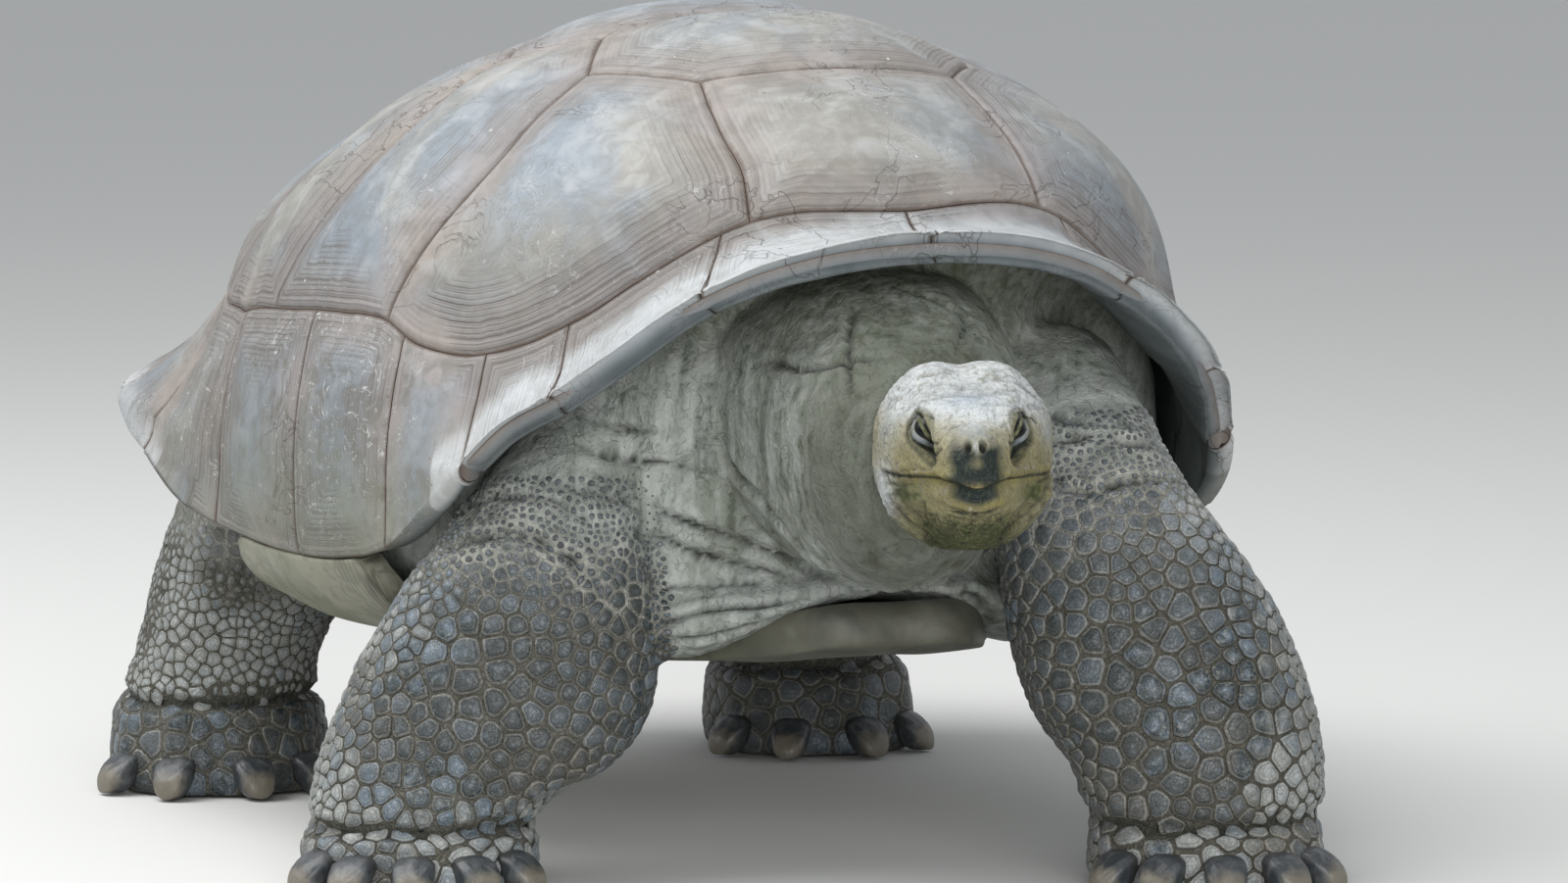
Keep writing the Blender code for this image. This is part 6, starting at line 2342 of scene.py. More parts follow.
@dataclass
class Skin:
    """All the flesh under one skin: the sweeps melted into one surface, smoothed, folded and wrinkled."""

    form: ShellForm
    head: Head
    finish: Material
    voxel: float = 0.0032
    budget: int = 108000
    folds: tuple[Fold, ...] = ()
    # Where each part's unwrap lies: left, bottom, width, height.
    charts: dict = field(
        default_factory=lambda: {
            "head": (0.01, 0.51, 0.48, 0.48), "neck": (0.51, 0.75, 0.48, 0.24),
            "trunk": (0.51, 0.51, 0.48, 0.22), "foreleg_left": (0.01, 0.01, 0.23, 0.48),
            "foreleg_right": (0.26, 0.01, 0.23, 0.48), "hindleg_left": (0.51, 0.13, 0.23, 0.36),
            "hindleg_right": (0.76, 0.13, 0.23, 0.36), "tail": (0.51, 0.01, 0.48, 0.1)
        }
    )

    def _melted(self) -> Surface:
        """The sweeps joined and wrapped in one even surface.

        Returns:
            The surface.
        """
        parts = [Trunk(self.form).sweep(), NECK.sweep(), TAIL.sweep()]
        parts += [leg.sweep() for leg in LEGS] + [foot.sweep() for foot in FEET.values()]
        raw = Surface.joined(parts)
        raw.values = {}
        wrapped = raw.object("melting", bpy.data.materials.new("melting"))
        modifier = wrapped.modifiers.new("melt", "REMESH")
        modifier.mode = "VOXEL"
        modifier.voxel_size = self.voxel
        modifier.adaptivity = 0.0
        return self._taken(wrapped)

    def _taken(self, obj: Piece) -> Surface:
        """The object's final mesh as arrays; the object goes.

        Args:
            obj: the object.

        Returns:
            The surface.
        """
        graph = bpy.context.evaluated_depsgraph_get()
        graph.update()
        mesh = bpy.data.meshes.new_from_object(obj.evaluated_get(graph))
        points = np.empty(len(mesh.vertices) * 3, np.float32)
        mesh.vertices.foreach_get("co", points)
        corners = np.empty(len(mesh.loops), np.int32)
        mesh.loops.foreach_get("vertex_index", corners)
        starts = np.empty(len(mesh.polygons), np.int32)
        mesh.polygons.foreach_get("loop_start", starts)
        sizes = np.diff(np.append(starts, len(corners)))
        quads = corners[starts[sizes == 4][:, None] + np.arange(4)]
        tris = corners[starts[sizes == 3][:, None] + np.arange(3)]
        old = obj.data
        bpy.data.objects.remove(obj)
        bpy.data.meshes.remove(old)
        bpy.data.meshes.remove(mesh)
        return Surface(points.reshape(-1, 3).astype(float), quads.astype(int), tris.astype(int)).outward()

    def hidden(self, points: Array) -> Array:
        """1 deep under the shell, 0 in sight.

        Args:
            points: where to look.

        Returns:
            A value from 0 to 1 for each.
        """
        local = points[:, :2] - np.array(self.form.centre)
        direction = np.arctan2(local[:, 0], -local[:, 1])
        rim = self.form.mirrored(self.form.rim, direction)[:, 0]
        over = ease(0.045, 0.085, points[:, 2] - rim)
        reach = np.linalg.norm(local, axis=1)
        inside = ease(0.25, 0.2, reach) * ease(0.15, 0.16, points[:, 2]) * ease(0.3, 0.26, points[:, 2])
        bridge = ease(19, 13, np.abs(np.abs(np.degrees(direction)) - 82))
        bridge = bridge * (points[:, 2] > 0.17) * (reach > 0.25)
        return np.clip(np.maximum(np.maximum(over, inside), bridge), 0, 1)

    def _lightened(self, skin: Surface) -> Surface:
        """The same surface with few faces where it is hidden.

        Args:
            skin: the full surface.

        Returns:
            The lighter surface.
        """
        obj = skin.object("lightening", bpy.data.materials["melting"])
        group = obj.vertex_groups.new(name="hidden")
        hidden = self.hidden(skin.points)
        labels = self._labels(skin.points)[0]
        chest = np.isin(labels, ("trunk", "neck")) & (skin.points[:, 1] < self.form.centre[1] - 0.2)
        weight = np.where(chest, 0.05, np.where(np.isin(labels, ("trunk", "tail")), 0.5, 0.45))
        weight = np.clip(weight + (0.9 - weight) * hidden, 0.05, 0.9)
        for level in range(1, 19):
            chosen = np.flatnonzero(np.round(weight * 20) == level)
            if len(chosen):
                group.add(chosen.tolist(), level / 20, "REPLACE")
        modifier = obj.modifiers.new("lighten", "DECIMATE")
        modifier.ratio = min(1.0, self.budget / len(skin.triangles()))
        modifier.vertex_group = "hidden"
        modifier.vertex_group_factor = 20.0
        return self._taken(obj)

    def _labels(self, points: Array) -> tuple[Array, dict[str, tuple]]:
        """The name of the part each point belongs to, and where it lies on every limb.

        Args:
            points: where to look.

        Returns:
            The names, and what each limb says of every point.
        """
        found = {limb.name: limb.locate(points) for limb in (*LEGS, NECK, TAIL)}
        names = ["trunk", *found]
        sizes = [np.where(points[:, 2] < 0.12, 8.0, 1.16)]
        for limb in (*LEGS, NECK, TAIL):
            along, _, _, size = found[limb.name]
            sizes.append(np.where((along < limb.length() * 0.97) & (along > -0.03), size, 9.0))
        return np.array(names)[np.argmin(np.array(sizes), axis=0)], found

    def _relief(self, skin: Surface, labels: Array, found: dict[str, tuple]) -> None:
        """Folds, creases, wrinkles and lumps, and the values that the finish reads.

        Args:
            skin: the surface to work on.
            labels: the name of the part that each point belongs to.
            found: where each point lies on every limb.
        """
        p = skin.points
        height, dark = np.zeros(len(p)), np.zeros(len(p))
        tree = skin.tree()
        for fold in self.folds:
            h, d = fold.relief(p, tree)
            height, dark = height + h, np.maximum(dark, d)
        leg = np.zeros(len(p))
        for limb in (*LEGS, TAIL):
            along, angle, _, _ = found[limb.name]
            mine = labels == limb.name
            share = along / limb.length()
            leg = np.where(mine, ease(0.78, 0.52, share), leg)
            for at, depth, width in limb.creases:
                off = along - at + 0.006 * noise(stacked(np.cos(angle), np.sin(angle), 0.0), 0.8, 5)
                groove = bell(off, width) * mine
                height += (
                    -depth * groove + 0.5 * depth * bell(np.abs(off) - 2.2 * width, 1.4 * width) * mine
                )
                dark = np.maximum(dark, bell(off, width * 0.7) * mine * 0.9)
        neck = (labels == "neck") | (labels == "trunk")
        long = ridged(p * (1.0, 1.0, 0.33), 0.03, 2, 61)
        level = ridged(p * (0.35, 0.6, 1.0), 0.022, 2, 67)
        wrinkle = np.where(neck, 0.55 * long + 0.45 * level, level)
        depth = np.where(neck, 0.0027, np.where(leg > 0.3, 0.0012, 0.0022))
        hind = np.char.startswith(labels.astype(str), "hindleg")
        depth = np.where(hind & (p[:, 2] > 0.085), 0.0034, depth)
        height += -depth * wrinkle + 0.002 * rough(p, 0.055, 3, 71) + 0.0006 * rough(p, 0.014, 2, 73)
        dark = np.maximum(dark, 0.4 * wrinkle * np.where(hind, 1.3, 1.0))
        low = ease(0.01, 0.002, p[:, 2])
        skin.points = p + skin.normals() * (height * (1 - low))[:, None]
        skin.points[:, 2] = np.maximum(skin.points[:, 2], FLOOR_GAP)
        # crease: painted shade in the folds, creases and wrinkles.
        skin.values = {"crease": dark, "leg": leg, "mossy": 0.5 * ease(0.5, 1.0, noise(p, 0.09, 77)) * neck}

    def _layout(self, skin: Surface, labels: Array) -> None:
        """Unwraps each part on its own chart, as angle round it and distance along it.

        Args:
            skin: the surface to work on.
            labels: the name of the part that each point belongs to.
        """
        spots = np.zeros((len(skin.tris) * 3, 2))
        of_face = labels[skin.tris[:, 0]]
        limbs = {limb.name: limb for limb in (*LEGS, NECK, TAIL)}
        for name, (x, y, w, h) in self.charts.items():
            chosen = np.flatnonzero(of_face == name)
            if name == "head" or not len(chosen):
                continue
            corners = skin.tris[chosen]
            p = skin.points[corners.ravel()]
            if name == "trunk":
                local = p[:, :2] - np.array(self.form.centre)
                u = np.arctan2(local[:, 0], -local[:, 1]) / TURN + 0.5
                v = np.arctan2(np.linalg.norm(local, axis=1), p[:, 2] - 0.28) / math.pi
            else:
                u, v = unwrapped(limbs[name], p)
            u = u.reshape(-1, 3)
            u = u - np.round(u - u[:, :1])
            u = 0.04 + 0.92 * u.ravel()
            at = (chosen[:, None] * 3 + np.arange(3)).ravel()
            spots[at, 0] = x + w * np.clip(u, 0, 1)
            spots[at, 1] = y + h * np.clip(v, 0, 1)
        skin.layout = spots

    def build(self) -> tuple[Surface, Array, dict[str, tuple]]:
        """Makes the skin.

        Returns:
            The body's surface without the head, each point's part, and where it lies on each limb.
        """
        skin = self._melted()
        LOG.info("melted: %d points", len(skin.points))
        skin.smoothed(np.full(len(skin.points), 0.5), 3)
        labels, _ = self._labels(skin.points)
        edge = Surface(np.repeat((labels == "trunk")[:, None] * 1.0, 3, 1), skin.quads, skin.tris)
        edge.smoothed(np.full(len(edge.points), 0.8), 14)
        mixed = 4 * edge.points[:, 0] * (1 - edge.points[:, 0])
        skin.smoothed(np.clip(mixed * 1.5, 0, 0.7), 34)
        skin = self._lightened(skin)
        LOG.info("lightened: %d points, %d triangles", len(skin.points), len(skin.triangles()))
        split = skin.triangles()
        skin.quads, skin.tris = np.zeros((0, 4), int), split
        labels, found = self._labels(skin.points)
        self._relief(skin, labels, found)
        self._layout(skin, labels)
        face = self.head.build()
        x, y, w, h = self.charts["head"]
        face.layout = face.layout * (w, h) + (x, y)
        whole = Surface.joined([skin, face])
        placed(whole.object("skin", self.finish), Slot.SKIN, *FLESH_NODES)
        return skin, labels, found


def unwrapped(limb: Limb, points: Array) -> tuple[Array, Array]:
    """A limb's unwrap, as shares: the angle round it, and the way along it from under its end."""
    along, angle, away, _ = limb.locate(points)
    reach = 0.09 if limb.sole else 0.0
    below = np.where(points[:, 2] < 0.004, reach - away, 0.0) if limb.sole else 0.0
    return angle / TURN + 0.5, (along - np.maximum(below, 0) + reach) / (limb.length() + reach)


@dataclass
class ScaleCoat:
    """Horny scales over one limb: cells that share the skin out evenly, each a low dome on its own root.

    Each cell's outline, in a direction, is the soft least of the half distances to its neighbours
    over the cosine towards them, which gives rounded polygons that meet along narrow grooves.
    """

    finish: Material
    samples: int = 36
    rounds: int = 9
    neighbours: int = 15
    softness: float = 19.0
    small: float = 0.0105
    sink: float = 0.0011

    def _spread(self, points: Array, size: Array, area: Array, rng: np.random.Generator) -> Array:
        """Roots spread so that each cell is about its own size across.

        Args:
            points: the spots to choose from.
            size: the cell's size at each.
            area: the skin that each stands for.
            rng: the source of chance.

        Returns:
            The roots.
        """
        share = area / size**2
        count = int(share.sum() / 0.86)
        chance = share / share.sum()
        sample, weight = points, area / size**4
        if len(points) > self.samples * count:
            picks = rng.choice(len(points), self.samples * count, replace=False, p=chance)
            sample, weight = points[picks], 1 / size[picks] ** 2
        roots = points[rng.choice(len(points), count, replace=False, p=chance)]
        for _ in range(self.rounds):
            own = nearest(sample, roots, 8000)[0]
            total = np.bincount(own, weight, len(roots))
            moved = np.stack([np.bincount(own, weight * sample[:, k], len(roots)) for k in range(3)], 1)
            roots = np.where(total[:, None] > 0, moved / np.maximum(total, 1e-12)[:, None], roots)
        return roots

    def build(
        self, name: str, skin: Surface, limb: Limb, size: Array, worn: Array, thickness: float, seed: int
    ) -> Piece:
        """Makes one limb's scales.

        Args:
            name: the piece's name.
            skin: the surface they grow from.
            limb: the limb, for the unwrap.
            size: the width of a scale at each of the skin's points, 0 where there is none.
            worn: how chalky they are at each point.
            thickness: height over width.
            seed: for the roots and tints.

        Returns:
            The piece.
        """
        rng = np.random.default_rng(seed)
        chosen = np.flatnonzero(size > 0)
        points, area = skin.points[chosen], skin.areas()[chosen]
        tree = skin.tree()
        roots = self._spread(points, size[chosen], area, rng)
        found = [tree.find_nearest(Vector(r)) for r in roots]
        roots = np.array([f[0] for f in found])
        normals = np.array([f[1] for f in found])
        closest = nearest(roots, points, 500)[0]
        width, chalk = size[chosen][closest], worn[chosen][closest]
        pieces = []
        for large in (True, False):
            mine = np.flatnonzero((width >= self.small) == large)
            if len(mine):
                pieces.append(
                    self._scales(mine, roots, normals, width, chalk, tree, limb, thickness, large, rng)
                )
        made = Surface.joined(pieces)
        LOG.info("%s: %d scales", name, len(roots))
        return placed(made.object(name, self.finish), Slot.SKIN)

    def _scales(
        self, mine: Array, roots: Array, normals: Array, width: Array, chalk: Array, tree: BVHTree,
        limb: Limb, thickness: float, large: bool, rng: np.random.Generator
    ) -> Surface:
        """The domes of the scales chosen: rings from each root's crown down into the skin.

        Args:
            mine: which scales.
            roots: where they stand.
            normals: which way is up there.
            width: how far they reach.
            chalk: how chalky each is.
            tree: the skin.
            limb: the limb they grow on.
            thickness: how high they stand.
            large: whether they are the large ones.
            rng: the source of chance.

        Returns:
            Their surface.
        """
        sides = 14 if large else 9
        profile = (
            ((0.36, 0.93), (0.66, 0.76), (0.89, 0.46), (1.0, None)) if large
            else ((0.62, 0.86), (1.0, None))
        )
        root, normal = roots[mine], normals[mine]
        gap = ((roots**2).sum(1)[None] - 2 * root @ roots.T).argsort(1)[:, 1 : self.neighbours + 1]
        helper = np.where(
            np.abs(normal[:, 2:]) < 0.9, np.array([[0.0, 0.0, 1.0]]), np.array([[1.0, 0.0, 0.0]])
        )
        first = unit(np.cross(helper, normal))
        second = np.cross(normal, first)
        to = roots[gap] - root[:, None]
        half = np.linalg.norm(to, axis=2) / 2
        bearing = np.arctan2((to * second[:, None]).sum(2), (to * first[:, None]).sum(2))
        angles = np.linspace(0, TURN, sides, endpoint=False)
        facing = np.maximum(np.cos(angles[None, :, None] - bearing[:, None, :]), 0)
        reach = ((facing / half[:, None, :]) ** self.softness).sum(2) ** (-1 / self.softness)
        own = width[mine][:, None]
        groove = 0.0002 if large else 0.0004
        reach = np.minimum(reach, 0.74 * own) * (1.0 if large else 0.94) - groove
        reach = np.maximum(reach, 0.0012)
        high = np.minimum(own * thickness, 0.0048) * rng.uniform(0.7, 1.25, (len(mine), 1))
        rings, rim = [], []
        for share, rise in profile:
            flat = root[:, None] + first[:, None] * (np.cos(angles) * reach * share)[..., None]
            flat = flat + second[:, None] * (np.sin(angles) * reach * share)[..., None]
            hits = [tree.find_nearest(Vector(q)) for q in flat.reshape(-1, 3)]
            onto = np.array([h[0] for h in hits]).reshape(flat.shape)
            level = -self.sink if rise is None else high[..., None] * rise
            rings.append(onto + normal[:, None] * level)
            rim.append(np.full((len(mine), sides), share))
        count = len(profile)
        rings, rim = np.stack(rings, 1), np.stack(rim, 1)
        top, bottom = root + normal * high, root - normal * (self.sink * 1.3)
        points = np.concatenate([rings.reshape(len(mine), -1, 3), top[:, None], bottom[:, None]], axis=1)
        each = count * sides + 2
        quads = grid_faces(count, sides)
        tris = np.vstack(
            [
                fan_faces(np.arange(sides), each - 2)[:, [1, 0, 2]],
                fan_faces(np.arange((count - 1) * sides, count * sides), each - 1)
            ]
        )
        starts = (np.arange(len(mine)) * each)[:, None, None]
        flat = points.reshape(-1, 3)
        made = Surface(flat, (quads[None] + starts).reshape(-1, 4), (tris[None] + starts).reshape(-1, 3))
        made.values = {
            "rim": np.concatenate(
                [rim.reshape(len(mine), -1), np.zeros((len(mine), 1)), np.ones((len(mine), 1))], 1
            ).ravel(),
            "tint": np.repeat(rng.uniform(0, 1, len(mine)), each), "worn": np.repeat(chalk[mine], each)
        }
        u, v = unwrapped(limb, flat)
        u = u.reshape(len(mine), each)
        u = (u - np.round(u - u[:, -2:-1])).ravel()
        spots = stacked(0.04 + 0.92 * np.clip(u, 0, 1), np.clip(v, 0, 1))
        made.outward()
        made.layout = spots[made.corners()]
        return made


@dataclass
class ScalePattern:
    """How wide and how worn the scales are over one limb and its foot; on the hind legs the wear also
    carries painted shade.
    """

    limb: Limb
    outer: int  # 1 where the limb's outer side faces the animal's left
    largest: float
    crease_z: float  # height of the fold that ends the scales
    ankle_z: float
    foot_size: float = 0.026
    hind: bool = False

    def at(self, skin: Surface, labels: Array, found: dict[str, tuple]) -> tuple[Array, Array]:
        """(width, wear) at each of the skin's points; the width is 0 where no scale grows.

        Args:
            skin: the surface to work on.
            labels: the name of the part that each point belongs to.
            found: where each point lies on every limb.

        Returns:
            The widths and the wear.
        """
        p, normal = skin.points, skin.normals()
        mine = labels == self.limb.name
        angle = found[self.limb.name][1]
        front, outside = -np.sin(angle), np.cos(angle) * self.outer
        z = p[:, 2]
        if self.hind:
            size = (0.0085 + 0.0025 * ease(-0.2, 0.8, front)) * (1 + 0.22 * noise(p, 0.05, 5))
            size = np.where(z > self.crease_z, 0.0, size)
        else:
            drop = self.crease_z - z + 0.02 * noise(p, 0.08, 4) * ease(0.0, 0.08, self.crease_z - z)
            aspect = ease(-0.75, 0.25, 0.75 * front + 0.65 * outside)
            size = 0.0085 + (self.largest - 0.0085) * ease(-0.005, 0.08, drop) * (0.46 + 0.54 * aspect)
            size = size * (1 + 0.24 * noise(p, 0.045, 5)) * (1 - 0.38 * ease(0.55, 0.98, outside))
            size = np.where(drop < 0, 0.0062, size)
            size = np.where(z > self.crease_z + 0.045 * ease(-0.2, 0.6, front), 0.0, size)
            size = np.where(z < self.ankle_z + 0.02, np.minimum(size, 0.0175), size)
        size = size * (0.44 + 0.56 * ease(0.004, 0.032, self._inside(skin, mine)))
        foot = z < self.ankle_z - 0.004
        toe = ease(-0.1, 0.5, front)
        on_foot = 0.0115 + (self.foot_size - 0.0115) * toe
        size = np.where(foot, on_foot, size)
        size = np.where(np.abs(z - self.ankle_z) < 0.003, 0.0, size)
        size = np.where((z < 0.004) | (normal[:, 2] < -0.85), 0.0, size)
        worn = 0.16 + 0.58 * ease(-0.1, 0.85, outside - 0.3 * front) + 0.18 * ease(0.16, 0.05, z)
        worn = worn + 0.3 * noise(p, 0.06, 9) - 0.25 * ease(0.1, 0.3, z) * ease(0.0, 0.8, front)
        # Partly painted light and shade: the right hind leg is made paler, the left one darker as painted
        # shade under the belly, and the hind feet are kept dark as painted shade under the shell.
        worn = worn + (0.6 if self.outer < 0 else -0.1) * self.hind
        worn = np.where(foot, (0.16 if self.hind else 0.6) + 0.3 * noise(p, 0.04, 3), worn)
        return np.where(mine, size, 0.0), np.clip(worn, 0, 1)

    def _inside(self, skin: Surface, mine: Array) -> Array:
        """How far each of the limb's points lies from its border with the rest of the skin."""
        tri = skin.triangles()
        shared = mine[tri].any(1) & ~mine[tri].all(1)
        near = np.ones(len(mine))
        near[mine] = nearest(skin.points[mine], skin.points[np.unique(tri[shared])])[1]
        return near


@dataclass
class Nails:
    """The claws: blunt, flat-topped horn that bends down to the floor, each swept along its own arc."""

    finish: Material
    length: float = 0.036
    half_width: float = 0.0158
    # Share of the way out, height of its middle, half width, half height above, half height below.
    steps: tuple = (
        (-0.42, 0.0255, 0.86, 0.46, 0.9), (-0.1, 0.0252, 0.98, 0.54, 1.2), (0.16, 0.022, 1.0, 0.54, 1.3),
        (0.38, 0.0168, 0.9, 0.5, 0.96), (0.54, 0.0115, 0.68, 0.42, 0.58), (0.62, 0.008, 0.38, 0.26, 0.34),
        (0.645, 0.0068, 0.05, 0.05, 0.05)
    )

    def nail(self, name: str, foot: Foot, angle: float, seed: int) -> Piece:
        """Makes one claw at an angle from straight ahead of its foot.

        Args:
            name: the piece's name.
            foot: its foot.
            angle: in degrees.
            seed: its own chance.

        Returns:
            The claw.
        """
        centre, side, forward = foot.frame()
        c, s = superellipse(np.array([math.radians(angle)]), 2.25)
        outline = forward * foot.reach[2] * c[0] + side * foot.reach[0] * s[0]
        root = centre + forward * foot.forward + outline * (1 + foot.bulge * 0.5)
        out = unit(outline)
        across = np.array([-out[1], out[0], 0.0])
        table = np.array(self.steps)
        at = np.linspace(0, 1, 40)
        rows = smooth(at * (len(table) - 1), np.arange(len(table)), table)
        turns = np.linspace(0, TURN, 40, endpoint=False)
        cos, sin = superellipse(turns, 2.5)
        rng = np.random.default_rng(seed)
        slant, worn = rng.uniform(-0.06, 0.06), rng.uniform(0.93, 1.04)
        middle = (
            root + out * (self.length * (rows[:, 0:1] * worn - 0.12))
            + across * (rows[:, 0:1] * slant * self.length)
        )
        half = self.half_width
        wide = half * rows[:, 2:3] * cos[None]
        low = np.minimum(half * rows[:, 4:5], rows[:, 1:2] - 0.0006)
        tall = np.where(sin[None] > 0, half * rows[:, 3:4], low) * sin[None]
        rings = middle[:, None] + across * wide[..., None]
        rings[..., 2] = rows[:, 1:2] + tall
        flat = rings.reshape(-1, 3)
        ripple = 0.0004 * np.sin(wide * 2600 + seed) * (tall > 0)
        rings[..., 2] += (
            ripple * ease(0.0, 0.3, at)[:, None]
            + (0.0006 * rough(flat, 0.012, 2, seed)).reshape(wide.shape)
        )
        rings[..., 2] = np.maximum(rings[..., 2], 0.0005)
        values = {"along": np.clip((rows[:, 0] + 0.05) / 0.65, 0, 1)}
        return placed(Surface.tube(rings, values).object(f"{name}_nail", self.finish), Slot.CLAW, name)

    def build(self) -> list[Piece]:
        """Makes every claw."""
        made = []
        for foot_name, foot in FEET.items():
            for number, angle in enumerate(foot.claws, 1):
                made.append(self.nail(f"{foot_name}_claw_{number}", foot, angle, len(made) + 1))
        return made


@dataclass
class Studio:
    """Pale floor, pale even light with a soft key from above, and the camera."""

    camera_at: tuple[float, float, float] = (-2.29423, -5.44434, 0.892)
    yaw: float = math.radians(23.4)
    pitch: float = math.radians(5.7)
    lens: float = 36 * 7833 / 1600
    floor_colour: Colour = (0.62, 0.62, 0.6)
    sky: Colour = (0.93, 0.96, 1.0)

    def build(self) -> None:
        """Makes the floor, the lights, the world and the camera."""
        scene = bpy.context.scene
        ground = bpy.data.meshes.new("floor")
        far = 30.0
        ground.from_pydata(
            [(-far, -far, 0), (far, -far, 0), (far, far, 0), (-far, far, 0)], [], [(0, 1, 2, 3)]
        )
        floor = bpy.data.objects.new("floor", ground)
        g = Graph("floor_pale")
        g.shader.inputs["Base Color"].default_value = (*self.floor_colour, 1.0)
        g.shader.inputs["Roughness"].default_value = 0.9
        ground.materials.append(g.material)
        scene.collection.objects.link(floor)
        world = bpy.data.worlds.new("studio")
        scene.world = world
        world.use_nodes = True
        world.node_tree.nodes["Background"].inputs["Color"].default_value = (*self.sky, 1.0)
        world.node_tree.nodes["Background"].inputs["Strength"].default_value = 0.6
        self._lamp("key", (-1.6, 0.5, 3.7), 3.2, 145.0)
        self._lamp("side", (-3.0, 1.6, 2.9), 2.6, 42.0)
        self._lamp("fill", (-1.0, -4.2, 1.1), 2.8, 132.0)
        camera = bpy.data.objects.new("camera", bpy.data.cameras.new("camera"))
        camera.data.sensor_width = 36.0
        camera.data.lens = self.lens
        camera.data.clip_end = 100.0
        camera.location = self.camera_at
        flat = math.cos(self.pitch)
        look = Vector((math.sin(self.yaw) * flat, math.cos(self.yaw) * flat, -math.sin(self.pitch)))
        camera.rotation_mode = "QUATERNION"
        camera.rotation_quaternion = look.to_track_quat("-Z", "Y")
        scene.collection.objects.link(camera)
        scene.camera = camera
        scene.view_settings.view_transform = "Standard"

    def _lamp(self, name: str, at: tuple[float, float, float], size: float, power: float) -> None:
        """A square lamp that looks at the animal's middle.

        Args:
            name: the lamp's name.
            at: where it hangs.
            size: its side.
            power: in watts.
        """
        lamp = bpy.data.lights.new(name, "AREA")
        lamp.size, lamp.energy = size, power
        obj = bpy.data.objects.new(name, lamp)
        obj.location = at
        obj.rotation_mode = "QUATERNION"
        obj.rotation_quaternion = (Vector((0, 0, 0.25)) - Vector(at)).to_track_quat("-Z", "Y")
        bpy.context.scene.collection.objects.link(obj)


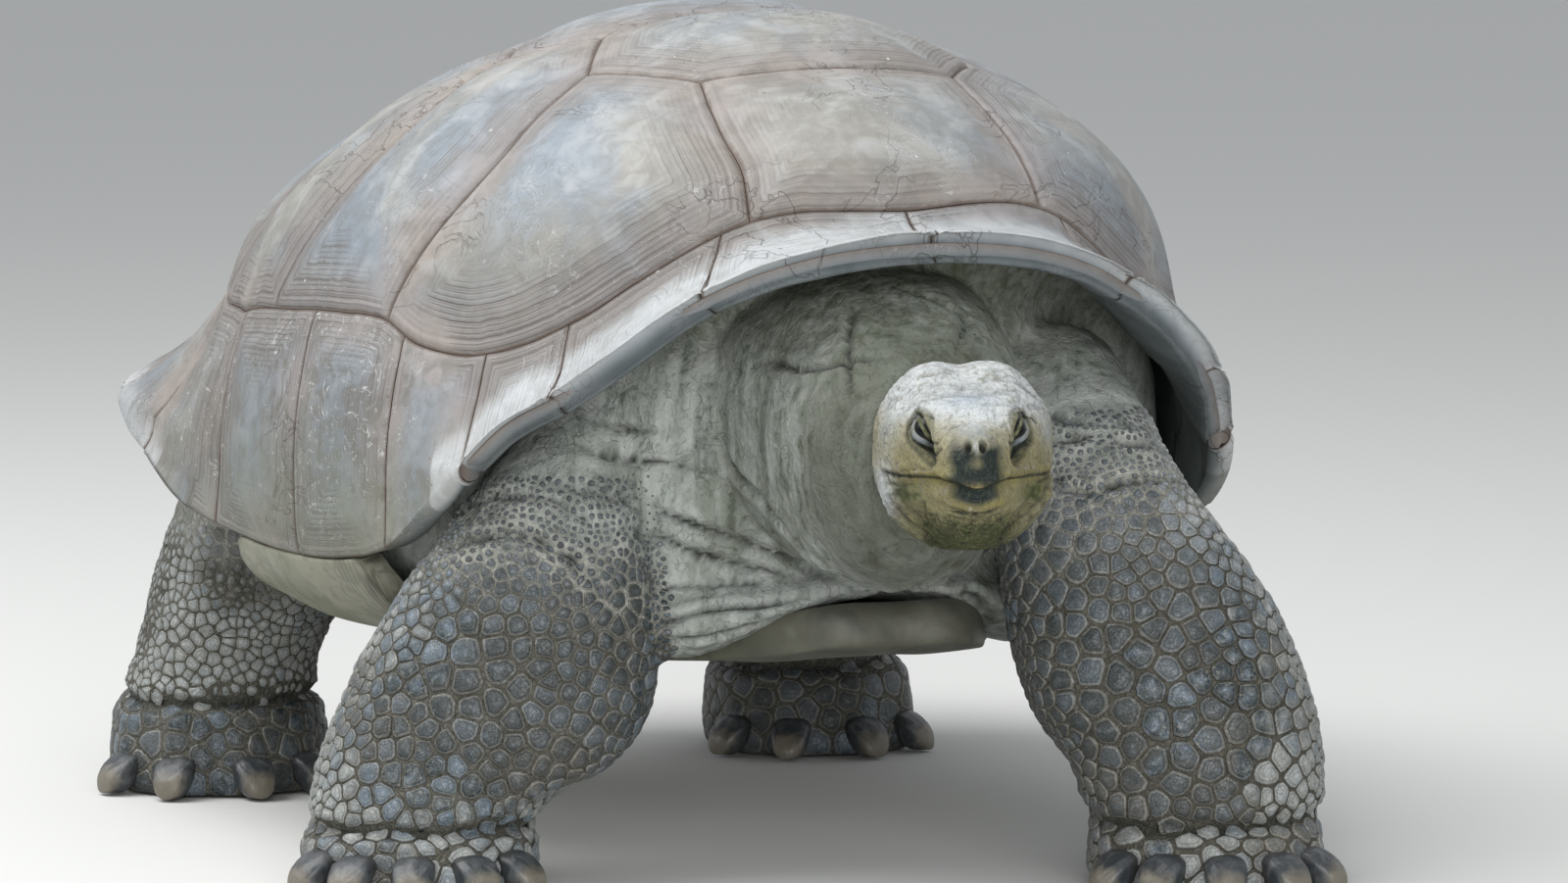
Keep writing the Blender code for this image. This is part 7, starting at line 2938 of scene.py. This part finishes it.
# Each: the line it follows as (left, ahead, up), its depth and its width, in millimetres.
FOLD_LINES = (
    (
        (
            (-128, 330, 325), (-119, 342, 308), (-111, 376, 290), (-101, 403, 267), (-75, 410, 240),
            (-48, 388, 222), (-20, 358, 213)
        ),
        8.0, 4.2
    ),
    (((-20, 358, 213), (-22, 420, 226), (-26, 480, 240), (-12, 506, 252)), 7.0, 4.0),
    (
        (
            (-240, 292, 292), (-195, 310, 287), (-157, 300, 274), (-136, 315, 264), (-106, 324, 254),
            (-75, 331, 242), (-46, 344, 227)
        ),
        5.5, 3.4
    ),
    (
        (
            (-215, 318, 262), (-179, 310, 261), (-148, 304, 249), (-124, 314, 240), (-88, 324, 231),
            (-57, 344, 224)
        ),
        4.5, 3.2
    ),
    (((-190, 305, 212), (-157, 300, 217), (-116, 321, 222), (-77, 337, 224)), 4.0, 3.0),
    (((-200, 305, 186), (-169, 314, 192), (-130, 330, 203), (-93, 347, 208), (-62, 355, 212)), 5.0, 3.2),
    (((-175, 312, 172), (-147, 321, 183), (-115, 332, 192), (-80, 345, 200)), 4.0, 3.0),
    (((-225, 275, 325), (-199, 293, 317), (-174, 291, 312), (-155, 308, 311), (-119, 328, 299)), 4.5, 3.2),
    (((-205, 268, 345), (-175, 285, 335), (-150, 300, 334)), 3.5, 3.0),
    (((-2, 470, 240), (50, 400, 215), (92, 330, 192)), 6.0, 3.6),
    (((30, 440, 262), (62, 400, 240), (90, 360, 225)), 4.0, 3.0),
    (((100, 360, 330), (118, 397, 324), (142, 406, 327), (172, 417, 321), (200, 400, 312)), 6.0, 3.4),
    (((105, 350, 345), (129, 386, 338), (152, 402, 336), (173, 405, 334)), 4.5, 3.0),
    (((-118, 370, 388), (-111, 388, 392), (-103, 437, 391), (-79, 470, 399), (-47, 486, 403)), 5.0, 3.2),
    (((-50, 400, 440), (-58, 421, 431), (-74, 452, 409), (-94, 503, 367)), 4.0, 3.0),
    (((-10, 400, 446), (11, 427, 433), (23, 444, 420), (-5, 488, 403)), 4.5, 3.0),
    (
        (
            (-330, 250, 246), (-301, 283, 258), (-280, 301, 264), (-255, 319, 256), (-232, 331, 239),
            (-214, 336, 214)
        ),
        6.5, 3.6
    ),
    (((-312, 215, 268), (-297, 247, 277), (-273, 284, 290), (-240, 309, 284), (-214, 320, 262)), 5.0, 3.2),
    (((112, 400, 305), (119, 437, 289), (157, 448, 303), (190, 446, 300), (220, 420, 288)), 5.5, 3.4)
)
FOLDS = tuple(Fold(*row) for row in FOLD_LINES)


def build_scales(skin: Surface, labels: Array, found: dict[str, tuple], finish: Material) -> None:
    """Covers each leg and its foot with scales.

    Args:
        skin: the skin they grow on.
        labels: the name of the part that each point belongs to.
        found: where each point lies on every limb.
        finish: what it is made of.
    """
    patterns = {
        "foreleg_left": (ScalePattern(FORELEG_LEFT, 1, 0.025, 0.3, 0.052), 0.135),
        "foreleg_right": (ScalePattern(FORELEG_RIGHT, -1, 0.025, 0.258, 0.05), 0.135),
        "hindleg_left": (ScalePattern(HINDLEG_LEFT, 1, 0.011, 0.215, 0.076, hind=True), 0.07),
        "hindleg_right": (ScalePattern(HINDLEG_RIGHT, -1, 0.011, 0.215, 0.076, hind=True), 0.07)
    }
    coat = ScaleCoat(finish)
    for seed, (name, (pattern, thickness)) in enumerate(patterns.items(), 101):
        size, worn = pattern.at(skin, labels, found)
        coat.build(f"{name}_scales", skin, pattern.limb, size, worn, thickness, seed)


def main() -> None:
    """Builds the animal piece by piece, then the studio."""
    logging.basicConfig(level=logging.INFO, format="%(message)s")
    form, head = ShellForm(), Head(furrows=FURROWS)
    horn = Keratin().material()
    Carapace(form, horn, horn).build()
    Plastron(form, BellyHorn().material()).build()
    for leg in LEGS:
        leg.creases = ((leg.rows[0, 2], *ANKLE_CREASE),)
    hide = Skin(form, head, Hide().material(), folds=FOLDS)
    skin, labels, found = hide.build()
    build_scales(skin, labels, found, ScaleHorn().material())
    gloss = EyeGloss().material()
    for side in (1, -1):
        head.eyeball(side, gloss)
    Nails(NailHorn().material()).build()
    Studio().build()


if __name__ == "__main__":
    main()
